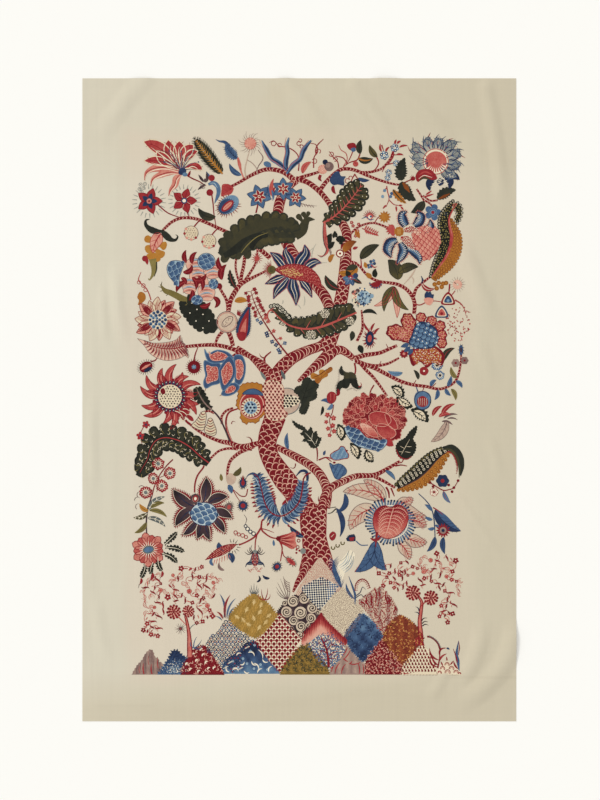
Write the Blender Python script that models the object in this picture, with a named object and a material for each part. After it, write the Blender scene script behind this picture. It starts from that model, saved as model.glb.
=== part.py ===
"""Kalamkari panel: one cut length of plain-woven cotton with a painted and dyed tree, lying face up.

The panel is one piece of cloth, so it is one solid. It lies on a flat surface at z = 0 and rests on its
flat ground. Soft ridges stand up from that ground where the cloth was folded, carried and smoothed out by
hand: sweeping ones from the top edge towards the right, long ones down both sides, a pressed crease low on
the right, and deep curved ones in the lower right corner.

Row frame: origin at the middle of the panel on the surface, +X to the panel's right, +Y to its top edge,
+Z up, out of the painted face. Lengths are in metres, and the fold table is in millimetres.
"""

import math
from collections import namedtuple

import bmesh
import bpy
from mathutils import Vector
from mathutils.geometry import delaunay_2d_cdt

# ---- driving sizes ----------------------------------------------------------------------------------
WIDTH = 1.120  # across the loom, selvedge to selvedge
LENGTH = 1.660  # along the warp, cut end to cut end
THICKNESS = 0.0010  # the cloth with its nap and the small air gaps of its weave
EDGE_STEP = 0.024  # spacing of points round the cut edge
GROUND_STEP = 0.115  # spacing of points on the flat ground
STATION_STEP = 0.040  # spacing of the cross-sections along a fold
SKIRT = 0.006  # ground points keep this far from a fold's foot
CLOTH_COLOUR = (0.66, 0.60, 0.47, 1.0)  # undyed cotton, linear

# Where the points of a fold's cross-section lie, as shares of its half width. 0 is the crest.
ACROSS = (-1.0, -0.62, -0.30, 0.0, 0.30, 0.62, 1.0)

# A fold's crest runs from (x0, y0) by way of (x1, y1) to (x2, y2). Its height is at the crest, its half
# width is from the crest to each foot, and it rises and dies away over its lead_in and lead_out. A lead of 0
# leaves the fold at full height, where it runs out through the cut edge.
Fold = namedtuple("Fold", "name x0 y0 x1 y1 x2 y2 height half_width lead_in lead_out")
FOLDS = (
    # name                x0    y0    x1    y1    x2    y2   height half_w lead_in lead_out
    Fold("top_sweep_left", -38, 832, 14, 764, 92, 672, 5.0, 27, 0, 90),
    Fold("top_sweep_mid", 122, 832, 186, 752, 252, 652, 4.2, 25, 30, 90),
    Fold("top_sweep_near", 128, 770, 172, 718, 226, 650, 3.0, 17, 60, 60),
    Fold("top_sweep_right", 212, 832, 316, 750, 420, 630, 6.2, 32, 0, 120),
    Fold("top_left_drag", -398, 832, -466, 750, -526, 655, 4.2, 34, 0, 110),
    Fold("right_top_run", 474, 832, 503, 690, 532, 470, 6.0, 26, 30, 130),
    Fold("right_upper_pinch", 408, 438, 458, 298, 524, 165, 7.5, 34, 90, 130),
    Fold("right_mid_run", 452, 180, 478, 105, 512, 26, 3.4, 26, 70, 70),
    Fold("right_low_run", 478, -70, 502, -140, 530, -214, 2.8, 22, 60, 60),
    Fold("pressed_crease", 392, -218, 452, -306, 528, -416, 2.2, 13, 40, 60),
    Fold("corner_outer", 552, -560, 520, -694, 388, -800, 8.0, 36, 60, 110),
    Fold("corner_inner", 470, -540, 458, -650, 404, -744, 5.6, 30, 100, 70),
    Fold("corner_last", 380, -676, 362, -730, 328, -786, 3.0, 24, 50, 50),
    Fold("left_upper_wave", -470, 372, -470, 256, -446, 116, 5.2, 26, 100, 110),
    Fold("left_edge_wave", -504, 330, -508, 230, -496, 120, 3.2, 19, 80, 80),
    Fold("left_mid_wave", -532, 30, -536, -110, -524, -250, 2.8, 20, 90, 90),
    Fold("left_low_wave", -524, -480, -516, -590, -488, -700, 3.4, 26, 90, 90),
    Fold("field_diagonal_1", -150, -270, -86, -356, -10, -446, 2.4, 40, 90, 90),
    Fold("field_diagonal_2", -244, -360, -184, -454, -118, -540, 2.2, 38, 90, 90),
)


def crest_point(fold, s):
    """The crest at share s of the way along, on a parabola through the fold's three points."""
    a, b, c = 2 * (s - 0.5) * (s - 1), 4 * s * (1 - s), 2 * s * (s - 0.5)
    return Vector(
        (
            (a * fold.x0 + b * fold.x1 + c * fold.x2) / 1000,
            (a * fold.y0 + b * fold.y1 + c * fold.y2) / 1000,
        )
    )


def crest_line(fold, steps):
    return [crest_point(fold, i / steps) for i in range(steps + 1)]


def line_length(line):
    return sum((b - a).length for a, b in zip(line, line[1:]))


CRESTS = {fold.name: crest_line(fold, 24) for fold in FOLDS}
RUNS = {name: line_length(line) for name, line in CRESTS.items()}


def ease(t):
    t = min(1.0, max(0.0, t))
    return t * t * (3 - 2 * t)


def fold_height(fold, x, y):
    """How high one fold lifts the cloth at (x, y), in metres: nothing beyond its foot."""
    half = fold.half_width / 1000
    here = Vector((x, y))
    line, run = CRESTS[fold.name], RUNS[fold.name]
    best, along, walked = half, None, 0.0
    for a, b in zip(line, line[1:]):
        d = b - a
        t = min(1.0, max(0.0, (here - a).dot(d) / d.length_squared))
        off = (here - a - d * t).length
        if off < best:
            best, along = off, walked + d.length * t
        walked += d.length
    if along is None:
        return 0.0
    rise = (1 - (best / half) ** 2) ** 2
    start = ease(along / (fold.lead_in / 1000)) if fold.lead_in else 1.0
    end = ease((run - along) / (fold.lead_out / 1000)) if fold.lead_out else 1.0
    return fold.height / 1000 * rise * start * end


def cloth_height(x, y):
    """The underside of the cloth above the surface. Folds that meet run softly into each other."""
    return math.sqrt(sum(fold_height(fold, x, y) ** 2 for fold in FOLDS))


def inside(x, y, margin):
    return abs(x) < WIDTH / 2 - margin and abs(y) < LENGTH / 2 - margin


def edge_points():
    """The cut edge, anticlockwise from the lower left corner."""
    w, l = WIDTH / 2, LENGTH / 2
    corners = [Vector((-w, -l)), Vector((w, -l)), Vector((w, l)), Vector((-w, l))]
    points = []
    for a, b in zip(corners, corners[1:] + corners[:1]):
        n = max(1, round((b - a).length / EDGE_STEP))
        points += [a.lerp(b, i / n) for i in range(n)]
    return points


def fold_points(fold):
    """Rows of points across the fold, one row for each station along its crest."""
    steps = max(3, round(RUNS[fold.name] / STATION_STEP))
    half = fold.half_width / 1000
    rows = []
    for i in range(steps + 1):
        s = i / steps
        ahead = crest_point(fold, min(1.0, s + 0.02)) - crest_point(
            fold, max(0.0, s - 0.02)
        )
        side = Vector((-ahead.y, ahead.x)).normalized()
        rows.append([crest_point(fold, s) + side * half * t for t in ACROSS])
    return rows


def ground_points():
    """A coarse, staggered net on the flat ground, clear of every fold."""
    found = []
    nx, ny = round(WIDTH / GROUND_STEP), round(LENGTH / GROUND_STEP)
    for j in range(1, ny):
        for i in range(1, nx):
            x = -WIDTH / 2 + (i + 0.25 * (-1) ** j) * WIDTH / nx
            y = -LENGTH / 2 + j * LENGTH / ny
            near = [
                cloth_height(x + dx * SKIRT, y + dy * SKIRT)
                for dx, dy in ((0, 0), (1, 0), (-1, 0), (0, 1), (0, -1))
            ]
            if inside(x, y, 0.02) and max(near) == 0.0:
                found.append(Vector((x, y)))
    return found


def cloth_plan():
    """The panel seen from above, cut into triangles that follow the folds: points and triangles."""
    points = edge_points()
    rim = len(points)
    edges = [(i, (i + 1) % rim) for i in range(rim)]
    for fold in FOLDS:
        previous = None
        for row in fold_points(fold):
            placed = []
            for p in row:
                if inside(p.x, p.y, 0.005):
                    placed.append(len(points))
                    points.append(p)
                else:
                    placed.append(None)
            if previous:
                edges += [
                    (a, b)
                    for a, b in zip(previous, placed)
                    if a is not None and b is not None
                ]
            previous = placed
    points += ground_points()
    made, _, faces, _, _, _ = delaunay_2d_cdt(
        points, edges, [list(range(rim))], 1, 1e-5
    )
    return made, faces


def build_panel():
    """The plan raised over its folds, as an underside, a face one thickness above it, and a rim."""
    plan, triangles = cloth_plan()
    mesh = bmesh.new()
    below = [mesh.verts.new((p.x, p.y, cloth_height(p.x, p.y))) for p in plan]
    above = [mesh.verts.new(v.co + Vector((0, 0, THICKNESS))) for v in below]
    sides = {}
    for t in triangles:
        a, b, c = (plan[i] for i in t)
        if (b - a).cross(c - a) < 0:
            t = t[::-1]
        mesh.faces.new([above[i] for i in t])
        mesh.faces.new([below[i] for i in reversed(t)])
        for a, b in zip(t, t[1:] + t[:1]):
            sides[(a, b)] = True
    for a, b in sides:
        if (b, a) not in sides:  # only the cut edge has no neighbour
            mesh.faces.new((above[b], above[a], below[a], below[b]))
    bmesh.ops.triangulate(mesh, faces=[f for f in mesh.faces if len(f.verts) > 3])
    data = bpy.data.meshes.new("panel")
    mesh.to_mesh(data)
    mesh.free()
    data.shade_smooth()
    data.set_sharp_from_angle(angle=math.radians(40))
    return data


def cotton():
    material = bpy.data.materials.new("undyed_cotton")
    material.use_nodes = True
    shader = material.node_tree.nodes["Principled BSDF"]
    shader.inputs["Base Color"].default_value = CLOTH_COLOUR
    shader.inputs["Roughness"].default_value = 0.92
    shader.inputs["Metallic"].default_value = 0.0
    return material


def main():
    for old in list(bpy.data.objects):
        bpy.data.objects.remove(old)
    panel = bpy.data.objects.new("panel", build_panel())
    panel.data.materials.append(cotton())
    bpy.context.scene.collection.objects.link(panel)


main()
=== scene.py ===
"""The looks of the kalamkari panel: plain-woven cotton lying face up, painted and dyed with a flowering tree.

The cloth is one closed sheet on the solid's folds. The painting is drawn afresh with small functions, one
for each kind of leaf, flower, bark and rock, set out on the painter's draft, which is squared up in units of
2.583 mm from the upper left. Each dye family is a thin film of its own on the cloth, so every edge is a real
edge. A dye's strength is the film's tone, from 0, full strength, to 1, washed out.
"""

import math
import random
from collections import namedtuple

import bpy
import numpy as np
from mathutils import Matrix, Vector
from mathutils.geometry import delaunay_2d_cdt, tessellate_polygon


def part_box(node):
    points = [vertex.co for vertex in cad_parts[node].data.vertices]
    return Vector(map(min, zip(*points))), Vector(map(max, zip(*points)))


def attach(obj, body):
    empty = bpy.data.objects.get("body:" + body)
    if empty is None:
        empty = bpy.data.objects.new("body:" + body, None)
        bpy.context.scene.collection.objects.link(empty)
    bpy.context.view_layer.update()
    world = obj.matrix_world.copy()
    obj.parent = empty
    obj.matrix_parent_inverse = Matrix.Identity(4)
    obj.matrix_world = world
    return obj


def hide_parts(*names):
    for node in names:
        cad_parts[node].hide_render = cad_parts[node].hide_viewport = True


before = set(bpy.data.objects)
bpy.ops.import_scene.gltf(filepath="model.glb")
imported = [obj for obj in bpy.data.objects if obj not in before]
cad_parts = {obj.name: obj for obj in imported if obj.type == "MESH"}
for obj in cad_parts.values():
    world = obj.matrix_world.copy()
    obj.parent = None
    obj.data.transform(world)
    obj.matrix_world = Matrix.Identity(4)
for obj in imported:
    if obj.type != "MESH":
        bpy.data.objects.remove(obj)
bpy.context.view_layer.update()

LOW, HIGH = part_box("panel")
WIDTH, LENGTH = HIGH.x - LOW.x, HIGH.y - LOW.y

# ---- the cloth's folds, the same rows as in the part's source, in millimetres -------------------------
THICKNESS = 0.0008
GRID_X, GRID_Y = 180, 266  # cells of the cloth's surface
Fold = namedtuple("Fold", "name x0 y0 x1 y1 x2 y2 height half_width lead_in lead_out")
FOLDS = (
    Fold("top_sweep_left", -38, 832, 14, 764, 92, 672, 5.0, 27, 0, 90),
    Fold("top_sweep_mid", 122, 832, 186, 752, 252, 652, 4.2, 25, 30, 90),
    Fold("top_sweep_near", 128, 770, 172, 718, 226, 650, 3.0, 17, 60, 60),
    Fold("top_sweep_right", 212, 832, 316, 750, 420, 630, 6.2, 32, 0, 120),
    Fold("top_left_drag", -398, 832, -466, 750, -526, 655, 4.2, 34, 0, 110),
    Fold("right_top_run", 474, 832, 503, 690, 532, 470, 6.0, 26, 30, 130),
    Fold("right_upper_pinch", 408, 438, 458, 298, 524, 165, 7.5, 34, 90, 130),
    Fold("right_mid_run", 452, 180, 478, 105, 512, 26, 3.4, 26, 70, 70),
    Fold("right_low_run", 478, -70, 502, -140, 530, -214, 2.8, 22, 60, 60),
    Fold("pressed_crease", 392, -218, 452, -306, 528, -416, 2.2, 13, 40, 60),
    Fold("corner_outer", 552, -560, 520, -694, 388, -800, 8.0, 36, 60, 110),
    Fold("corner_inner", 470, -540, 458, -650, 404, -744, 5.6, 30, 100, 70),
    Fold("corner_last", 380, -676, 362, -730, 328, -786, 3.0, 24, 50, 50),
    Fold("left_upper_wave", -470, 372, -470, 256, -446, 116, 5.2, 26, 100, 110),
    Fold("left_edge_wave", -504, 330, -508, 230, -496, 120, 3.2, 19, 80, 80),
    Fold("left_mid_wave", -532, 30, -536, -110, -524, -250, 2.8, 20, 90, 90),
    Fold("left_low_wave", -524, -480, -516, -590, -488, -700, 3.4, 26, 90, 90),
    Fold("field_diagonal_1", -150, -270, -86, -356, -10, -446, 2.4, 40, 90, 90),
    Fold("field_diagonal_2", -244, -360, -184, -454, -118, -540, 2.2, 38, 90, 90),
)


def ease(t):
    t = np.clip(t, 0.0, 1.0)
    return t * t * (3 - 2 * t)


def fold_heights(x, y):
    """How high the folds lift the underside at each (x, y), in metres. Folds that meet run into each other."""
    total = np.zeros_like(x)
    for f in FOLDS:
        s = np.linspace(0, 1, 25)
        a, b, c = 2 * (s - 0.5) * (s - 1), 4 * s * (1 - s), 2 * s * (s - 0.5)
        px = (a * f.x0 + b * f.x1 + c * f.x2) / 1000
        py = (a * f.y0 + b * f.y1 + c * f.y2) / 1000
        half = f.half_width / 1000
        near = (
            (x > px.min() - half)
            & (x < px.max() + half)
            & (y > py.min() - half)
            & (y < py.max() + half)
        )
        if not near.any():
            continue
        qx, qy = x[near], y[near]
        best = np.full(qx.shape, half)
        along = np.full(qx.shape, -1.0)
        walked = 0.0
        for i in range(24):
            dx, dy = px[i + 1] - px[i], py[i + 1] - py[i]
            run = math.hypot(dx, dy)
            t = np.clip(((qx - px[i]) * dx + (qy - py[i]) * dy) / (run * run), 0, 1)
            off = np.hypot(qx - px[i] - dx * t, qy - py[i] - dy * t)
            closer = off < best
            best = np.where(closer, off, best)
            along = np.where(closer, walked + run * t, along)
            walked += run
        rise = (1 - (best / half) ** 2) ** 2
        start = ease(along / (f.lead_in / 1000)) if f.lead_in else 1.0
        end = ease((walked - along) / (f.lead_out / 1000)) if f.lead_out else 1.0
        high = np.where(along >= 0, f.height / 1000 * rise * start * end, 0.0)
        total[near] += high**2
    return np.sqrt(total)


# Slight swells that no fold accounts for, only on the bare margins: x, y, length, across, height in mm,
# and how the swell leans. They stay under a millimetre.
Swell = namedtuple("Swell", "x y length across height lean")
SWELLS = (
    Swell(-515, 560, 170, 16, 0.55, 4),
    Swell(-540, 420, 150, 9, 0.45, -2),
    Swell(-498, -40, 190, 12, 0.40, 2),
    Swell(-545, -330, 170, 10, 0.50, -3),
    Swell(-486, -260, 160, 13, 0.45, 3),
    Swell(-470, -560, 140, 12, 0.40, 6),
    Swell(-540, -700, 110, 11, 0.50, 2),
    Swell(505, 330, 120, 13, 0.50, 12),
    Swell(545, 60, 150, 10, 0.55, 8),
    Swell(470, -420, 120, 13, 0.40, 20),
    Swell(540, -520, 110, 12, 0.50, -8),
    Swell(-250, 770, 90, 14, 0.40, 80),
    Swell(20, 792, 120, 12, 0.30, 60),
    Swell(-60, -775, 160, 14, 0.35, 84),
    Swell(240, -770, 130, 12, 0.35, 78),
)


def swell_heights(x, y):
    total = np.zeros_like(x)
    for w in SWELLS:
        a = math.radians(w.lean)
        dx, dy = x - w.x / 1000, y - w.y / 1000
        along = (dy * math.cos(a) + dx * math.sin(a)) / (w.length / 1000)
        off = (dx * math.cos(a) - dy * math.sin(a)) / (w.across / 1000)
        total += w.height / 1000 * np.exp(-(along**2) - off**2)
    return total


xs = np.linspace(LOW.x, HIGH.x, GRID_X + 1)
ys = np.linspace(LOW.y, HIGH.y, GRID_Y + 1)
gx, gy = np.meshgrid(xs, ys)
UNDER = fold_heights(gx, gy) + swell_heights(gx, gy)
TOP = UNDER + THICKNESS
# how much the cloth bends near each grid point, used to cut dye films finer there
_bend = np.abs(np.gradient(np.gradient(UNDER, axis=0), axis=0)) + np.abs(
    np.gradient(np.gradient(UNDER, axis=1), axis=1)
)
BENT = _bend > 1.2e-5


def top_at(x, y):
    """The height of the cloth's painted face at (x, y), on the cloth's own triangles."""
    u = np.clip((x - LOW.x) / (WIDTH / GRID_X), 0, GRID_X - 1e-6)
    v = np.clip((y - LOW.y) / (LENGTH / GRID_Y), 0, GRID_Y - 1e-6)
    i, j = u.astype(int), v.astype(int)
    u, v = u - i, v - j
    a, b = TOP[j, i], TOP[j, i + 1]
    c, d = TOP[j + 1, i + 1], TOP[j + 1, i]
    lower = a + (b - a) * u + (c - b) * v  # the triangle below the diagonal a-c
    upper = a + (c - d) * u + (d - a) * v
    return np.where(u >= v, lower, upper)


# ---- the draft and the dye films ----------------------------------------------------------------------
UNIT = 0.002583  # one square of the draft, in metres
MID_U, MID_V = 299.3, 399.8  # the draft's middle
BASE_GAP = 0.00014  # the lowest film lies this far above the cloth
LAYER_GAP = 0.00006  # and each layer this far above the one below
SEAT_GAP = 0.037  # shapes of one layer that may overlap are parted by this share of it
SEATS = {}
TAU = 2 * math.pi


def A(pts):
    return np.asarray(pts, float).reshape(-1, 2)


def seat(xy, layer):
    """The lowest place in a layer that no shape lying near this one has taken yet."""
    cells = np.floor(xy / 2.0).astype(int)
    (u0, v0), (u1, v1) = cells.min(0), cells.max(0)
    if (u1 - u0 + 1) * (v1 - v0 + 1) <= 3 * len(cells) or len(cells) < 40:
        near = [(u, v) for u in range(u0, u1 + 1) for v in range(v0, v1 + 1)]
    else:
        near = list(set(map(tuple, cells)))
    taken = SEATS.setdefault(round(layer, 2), {})
    used = 0
    for q in near:
        used |= taken.get(q, 0)
    k = 0
    while used >> k & 1:
        k += 1
    for q in near:
        taken[q] = taken.get(q, 0) | (1 << k)
    return k


class Film:
    """One dye family in one part of the panel: triangles on the draft with a layer and a tone."""

    def __init__(self):
        self.xy, self.layer, self.tone, self.tri, self.count = [], [], [], [], 0

    def add(self, xy, tris, layer, tone):
        n = len(xy)
        layer = layer + SEAT_GAP * (seat(xy, layer) % 6)
        self.xy.append(xy)
        self.layer.append(np.full(n, float(layer)))
        self.tone.append(np.broadcast_to(np.asarray(tone, float), (n,)).copy())
        self.tri.append(np.asarray(tris, int) + self.count)
        self.count += n


FILMS = {}


def film(dye, xy):
    v = xy[:, 1].mean()
    zone = "upper" if v < 300 else ("middle" if v < 470 else "lower")
    key = (dye, zone)
    if key not in FILMS:
        FILMS[key] = Film()
    return FILMS[key]


def bent_near(xy):
    i = np.clip(((xy[:, 0] - MID_U) * UNIT - LOW.x) / (WIDTH / GRID_X), 0, GRID_X).astype(int)
    j = np.clip(((MID_V - xy[:, 1]) * UNIT - LOW.y) / (LENGTH / GRID_Y), 0, GRID_Y).astype(int)
    return BENT[j, i]


def area2(p):
    return float(np.dot(p[:, 0], np.roll(p[:, 1], -1)) - np.dot(p[:, 1], np.roll(p[:, 0], -1)))


def inside(poly, pts):
    """Which points lie inside a polygon."""
    pts = A(pts)
    x, y = pts[:, 0], pts[:, 1]
    got = np.zeros(len(pts), bool)
    x0, y0 = poly[:, 0], poly[:, 1]
    x1, y1 = np.roll(x0, -1), np.roll(y0, -1)
    for a, b, c, d in zip(x0, y0, x1, y1):
        if b == d:
            continue
        hit = ((b > y) != (d > y)) & (x < (c - a) * (y - b) / (d - b) + a)
        got ^= hit
    return got


def fill(dye, poly, layer, tone=0.5, step=None):
    """A filled shape. tone is one number, or a function of the points. step sets a net of inner points."""
    p = A(poly)
    if len(p) < 3:
        return
    if abs(area2(p)) < 0.02:
        return
    span = p.max(0) - p.min(0)
    if step is None and max(span) > 3.5 and bent_near(p).any():
        step = 1.6
    if step:
        lo, hi = p.min(0), p.max(0)
        gxs = np.arange(lo[0] + step * 0.5, hi[0], step)
        gys = np.arange(lo[1] + step * 0.5, hi[1], step)
        mx, my = np.meshgrid(gxs, gys)
        mx = mx + (np.arange(len(gys)) % 2)[:, None] * step * 0.5
        net = np.stack([mx.ravel(), my.ravel()], 1)
        net = net[inside(p, net)] if len(net) else net
        pts = [Vector(q) for q in p] + [Vector(q) for q in net]
        n = len(p)
        edges = [(i, (i + 1) % n) for i in range(n)]
        made, _, faces, _, _, _ = delaunay_2d_cdt(pts, edges, [list(range(n))], 1, 1e-4)
        if not faces:
            return
        xy = np.array([[q.x, q.y] for q in made])
        tris = np.array([f[:3] for f in faces if len(f) == 3])
    else:
        faces = tessellate_polygon([[Vector((q[0], q[1], 0.0)) for q in p]])
        if not faces:
            return
        xy, tris = p, np.array(faces)
    t = tone(xy) if callable(tone) else tone
    film(dye, xy).add(xy, tris, layer, t)


def along(pts):
    d = np.hypot(*(pts[1:] - pts[:-1]).T)
    return np.concatenate([[0], np.cumsum(d)])


def smooth(pts, step=1.0, closed=False):
    """A smooth curve through the points, as points about step apart."""
    p = A(pts)
    if len(p) < 3 and not closed:
        n = max(2, int(np.hypot(*(p[-1] - p[0])) / step) + 1)
        t = np.linspace(0, 1, n)[:, None]
        return p[0] * (1 - t) + p[-1] * t
    if closed:
        q = np.vstack([p[-1], p, p[0], p[1]])
    else:
        q = np.vstack([2 * p[0] - p[1], p, 2 * p[-1] - p[-2]])
    out = []
    for i in range(1, len(q) - 2):
        a, b, c, d = q[i - 1], q[i], q[i + 1], q[i + 2]
        n = max(2, int(np.hypot(*(c - b)) / step) + 1)
        t = np.linspace(0, 1, n, endpoint=False)[:, None]
        out.append(
            0.5
            * (
                2 * b
                + (c - a) * t
                + (2 * a - 5 * b + 4 * c - d) * t**2
                + (3 * b - a - 3 * c + d) * t**3
            )
        )
    if not closed:
        out.append(q[-2][None])
    return np.vstack(out)


def even(pts, n):
    """n points spaced evenly along a line."""
    s = along(pts)
    t = np.linspace(0, s[-1], n)
    return np.stack([np.interp(t, s, pts[:, 0]), np.interp(t, s, pts[:, 1])], 1)


def sides(pts):
    """The unit direction and the unit left-hand side at each point of a line."""
    d = np.gradient(pts, axis=0)
    d /= np.maximum(np.hypot(d[:, 0], d[:, 1]), 1e-9)[:, None]
    return d, np.stack([d[:, 1], -d[:, 0]], 1)


def stroke(dye, pts, width, layer, tone=0.5, taper=None, curve=True, step=1.2):
    """A brush line. width is one number or (start, middle, end). taper narrows both ends to that share."""
    p = smooth(pts, step) if curve else A(pts)
    if len(p) < 2:
        return
    s = along(p)
    if s[-1] < 1e-6:
        return
    t = s / s[-1]
    if isinstance(width, (tuple, list)):
        w = np.interp(t, np.linspace(0, 1, len(width)), width)
    else:
        w = np.full(len(p), float(width))
        if taper is not None:
            w = w * (taper + (1 - taper) * np.sin(np.pi * np.clip(t, 0.02, 0.98)) ** 0.6)
    _, side = sides(p)
    half = side * (w / 2)[:, None]
    xy = np.vstack([p + half, p - half])
    n = len(p)
    i = np.arange(n - 1)
    tris = np.vstack(
        [np.stack([i, i + 1, i + n], 1), np.stack([i + 1, i + n + 1, i + n], 1)]
    )
    tt = np.tile(np.interp(t, [0, 1], tone), 2) if isinstance(tone, (tuple, list)) else tone
    film(dye, xy).add(xy, tris, layer, tt)


def ring_points(c, r, n=12, ry=None, rot=0.0, start=0.0):
    a = start + np.arange(n) * TAU / n
    x, y = r * np.cos(a), (ry if ry is not None else r) * np.sin(a)
    cr, sr = math.cos(rot), math.sin(rot)
    return np.stack([c[0] + x * cr - y * sr, c[1] + x * sr + y * cr], 1)


def disc(dye, c, r, layer, tone=0.5, n=None, ry=None, rot=0.0):
    n = n or max(6, min(40, int(6 + r * 3)))
    p = ring_points(c, r, n, ry, rot)
    if max(r, ry or 0) > 2.2 and bent_near(p).any():
        fill(dye, p, layer, tone)
        return
    xy = np.vstack([np.array([[c[0], c[1]]]), p])
    i = np.arange(n)
    tris = np.stack([np.zeros(n, int), 1 + i, 1 + (i + 1) % n], 1)
    t = tone(xy) if callable(tone) else tone
    film(dye, xy).add(xy, tris, layer, t)


def ring(dye, c, r, width, layer, tone=0.5, ry=None, rot=0.0, a0=0.0, a1=TAU, n=None):
    """A circle or an arc drawn as a line."""
    ry = r if ry is None else ry
    n = n or max(6, int(abs(a1 - a0) * max(r, ry) * 1.1) + 3)
    a = np.linspace(a0, a1, n)
    cr, sr = math.cos(rot), math.sin(rot)
    x, y = r * np.cos(a), ry * np.sin(a)
    p = np.stack([c[0] + x * cr - y * sr, c[1] + x * sr + y * cr], 1)
    stroke(dye, p, width, layer, tone, curve=False)


def outline(dye, poly, width, layer, tone=0.3):
    p = A(poly)
    stroke(dye, np.vstack([p, p[:1], p[1:2]]), width, layer, tone, curve=False)


def turn(pts, c, angle):
    p = A(pts) - c
    ca, sa = math.cos(angle), math.sin(angle)
    return np.stack([p[:, 0] * ca - p[:, 1] * sa, p[:, 0] * sa + p[:, 1] * ca], 1) + c


def bow(a, b, bend=0.0, n=9):
    """A line from a to b that bows to one side by bend, as a share of its length."""
    a, b = np.asarray(a, float), np.asarray(b, float)
    t = np.linspace(0, 1, n)[:, None]
    d = b - a
    side = np.array([d[1], -d[0]])
    return a + d * t + side * bend * 4 * t * (1 - t)


def blade_outline(spine, width, belly=0.45, left=1.0, right=1.0, n=None):
    """A leaf shape on a spine: widest at belly of the way, drawn to a point at both ends."""
    p = even(spine, n or max(7, int(along(spine)[-1] / 1.0) + 3))
    _, side = sides(p)
    t = np.linspace(0, 1, len(p))
    k = math.log(0.5) / math.log(belly)
    w = np.sin(np.pi * t**k) ** 0.85 * width / 2
    w = np.maximum(w, 0.05)
    return p, side, w * left, w * right


def blade(spine, width, belly=0.45):
    """The closed outline of a leaf shape on a spine."""
    p, side, wl, wr = blade_outline(A(spine) if len(spine) > 8 else smooth(spine, 1.0), width, belly)
    return np.vstack([p + side * wl[:, None], (p - side * wr[:, None])[::-1]])


def leaf(a, b, width, bend=0.0, dye="leafgreen", tone=0.2, layer=3, belly=0.42, rib=None, veins=0,
         vein=("reserve", 0.5, 0.4), edge=None, teeth=0, bite=0.25, spine=None, tip_tone=None, half=None, lean=0.9):
    """A leaf from base a to tip b. rib and vein are (dye, tone, width); edge is an outline of the same kind."""
    line = smooth(spine, 1.0) if spine is not None else bow(a, b, bend)
    p, side, wl, wr = blade_outline(line, width, belly)
    if teeth:
        t = np.linspace(0, 1, len(p))
        many = even(line, teeth * 4 + 1)
        p, side, wl, wr = blade_outline(line, width, belly, n=len(many))
        saw = np.tile([1.0 - bite * 0.7, 1.0 + bite * 0.35, 1.0 + bite, 1.0 - bite], teeth + 1)[: len(p)]
        saw[0] = saw[-1] = 1.0
        wl, wr = wl * saw, wr * saw
    body = np.vstack([p + side * wl[:, None], (p - side * wr[:, None])[::-1][1:]])
    if tip_tone is not None:
        a0, b0 = p[0], p[-1]
        d = b0 - a0
        l2 = max(float(d @ d), 1e-6)
        t_of = lambda q: tone + (tip_tone - tone) * np.clip(((q - a0) @ d) / l2, 0, 1)
        fill(dye, body, layer, t_of)
    else:
        fill(dye, body, layer, tone)
    if half:  # one half of the blade washed in another tone
        fill(half[0], np.vstack([p, (p - side * wr[:, None] * 0.96)[::-1][1:]]), layer + 0.4, half[1])
    if edge:
        outline(edge[0], body, edge[2], layer + 0.6, edge[1])
    if veins:
        idx = np.linspace(0.1, 0.82, veins)
        for k in idx:
            i = k * (len(p) - 1)
            i0 = int(i)
            q = p[i0] + (p[min(i0 + 1, len(p) - 1)] - p[i0]) * (i - i0)
            d = p[min(i0 + 1, len(p) - 1)] - p[max(i0 - 1, 0)]
            d = d / max(np.hypot(*d), 1e-6)
            for sgn, w in ((1, wl[i0]), (-1, wr[i0])):
                e = q + side[i0] * sgn * w * 0.86 + d * w * lean
                stroke(vein[0], [q, (q + e) / 2 + d * w * 0.06, e], (vein[2], vein[2], vein[2] * 0.4), layer + 0.7, vein[1])
    if rib:
        stroke(rib[0], p[: max(3, int(len(p) * 0.93))], (rib[2], rib[2], rib[2] * 0.3), layer + 0.9, rib[1], curve=False)
    return p, side, wl, wr


def petal_points(c, ang, r0, r1, width, blunt=0.5, n=9, skew=0.0):
    """A petal from radius r0 to r1 round c: blunt near 0 is pointed, near 1 is round."""
    t = np.linspace(0, 1, n)
    k = math.log(0.5) / math.log(0.35 + 0.3 * blunt)
    w = np.sin(np.pi * t**k) ** (1.0 - 0.5 * blunt) * width / 2
    x = r0 + (r1 - r0) * t
    s = skew * (t**2)
    up = np.stack([x, w + s], 1)
    dn = np.stack([x, -w + s], 1)[::-1][1:-1]
    q = np.vstack([up, dn])
    ca, sa = math.cos(ang), math.sin(ang)
    return np.stack([c[0] + q[:, 0] * ca - q[:, 1] * sa, c[1] + q[:, 0] * sa + q[:, 1] * ca], 1)


def petal(dye, c, ang, r0, r1, width, layer, tone=0.5, blunt=0.5, edge=None, skew=0.0, tip_tone=None, n=9):
    q = petal_points(c, ang, r0, r1, width, blunt, n, skew)
    if tip_tone is not None:
        cc = np.array(c, float)
        fill(dye, q, layer, lambda p: tone + (tip_tone - tone) * np.clip((np.hypot(*(p - cc).T) - r0) / max(r1 - r0, 1e-6), 0, 1))
    else:
        fill(dye, q, layer, tone)
    if edge:
        outline(edge[0], q, edge[2], layer + 0.5, edge[1])
    return q


def polar(c, ang, r):
    return (c[0] + r * math.cos(ang), c[1] + r * math.sin(ang))


def lerp(a, b, t):
    return a + (b - a) * t


# ---- kinds of motif ------------------------------------------------------------------------------------
def dice(c):
    """A seeded source of unevenness of its own for the motif at c."""
    return random.Random(int(c[0] * 31 + c[1] * 977))


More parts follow.
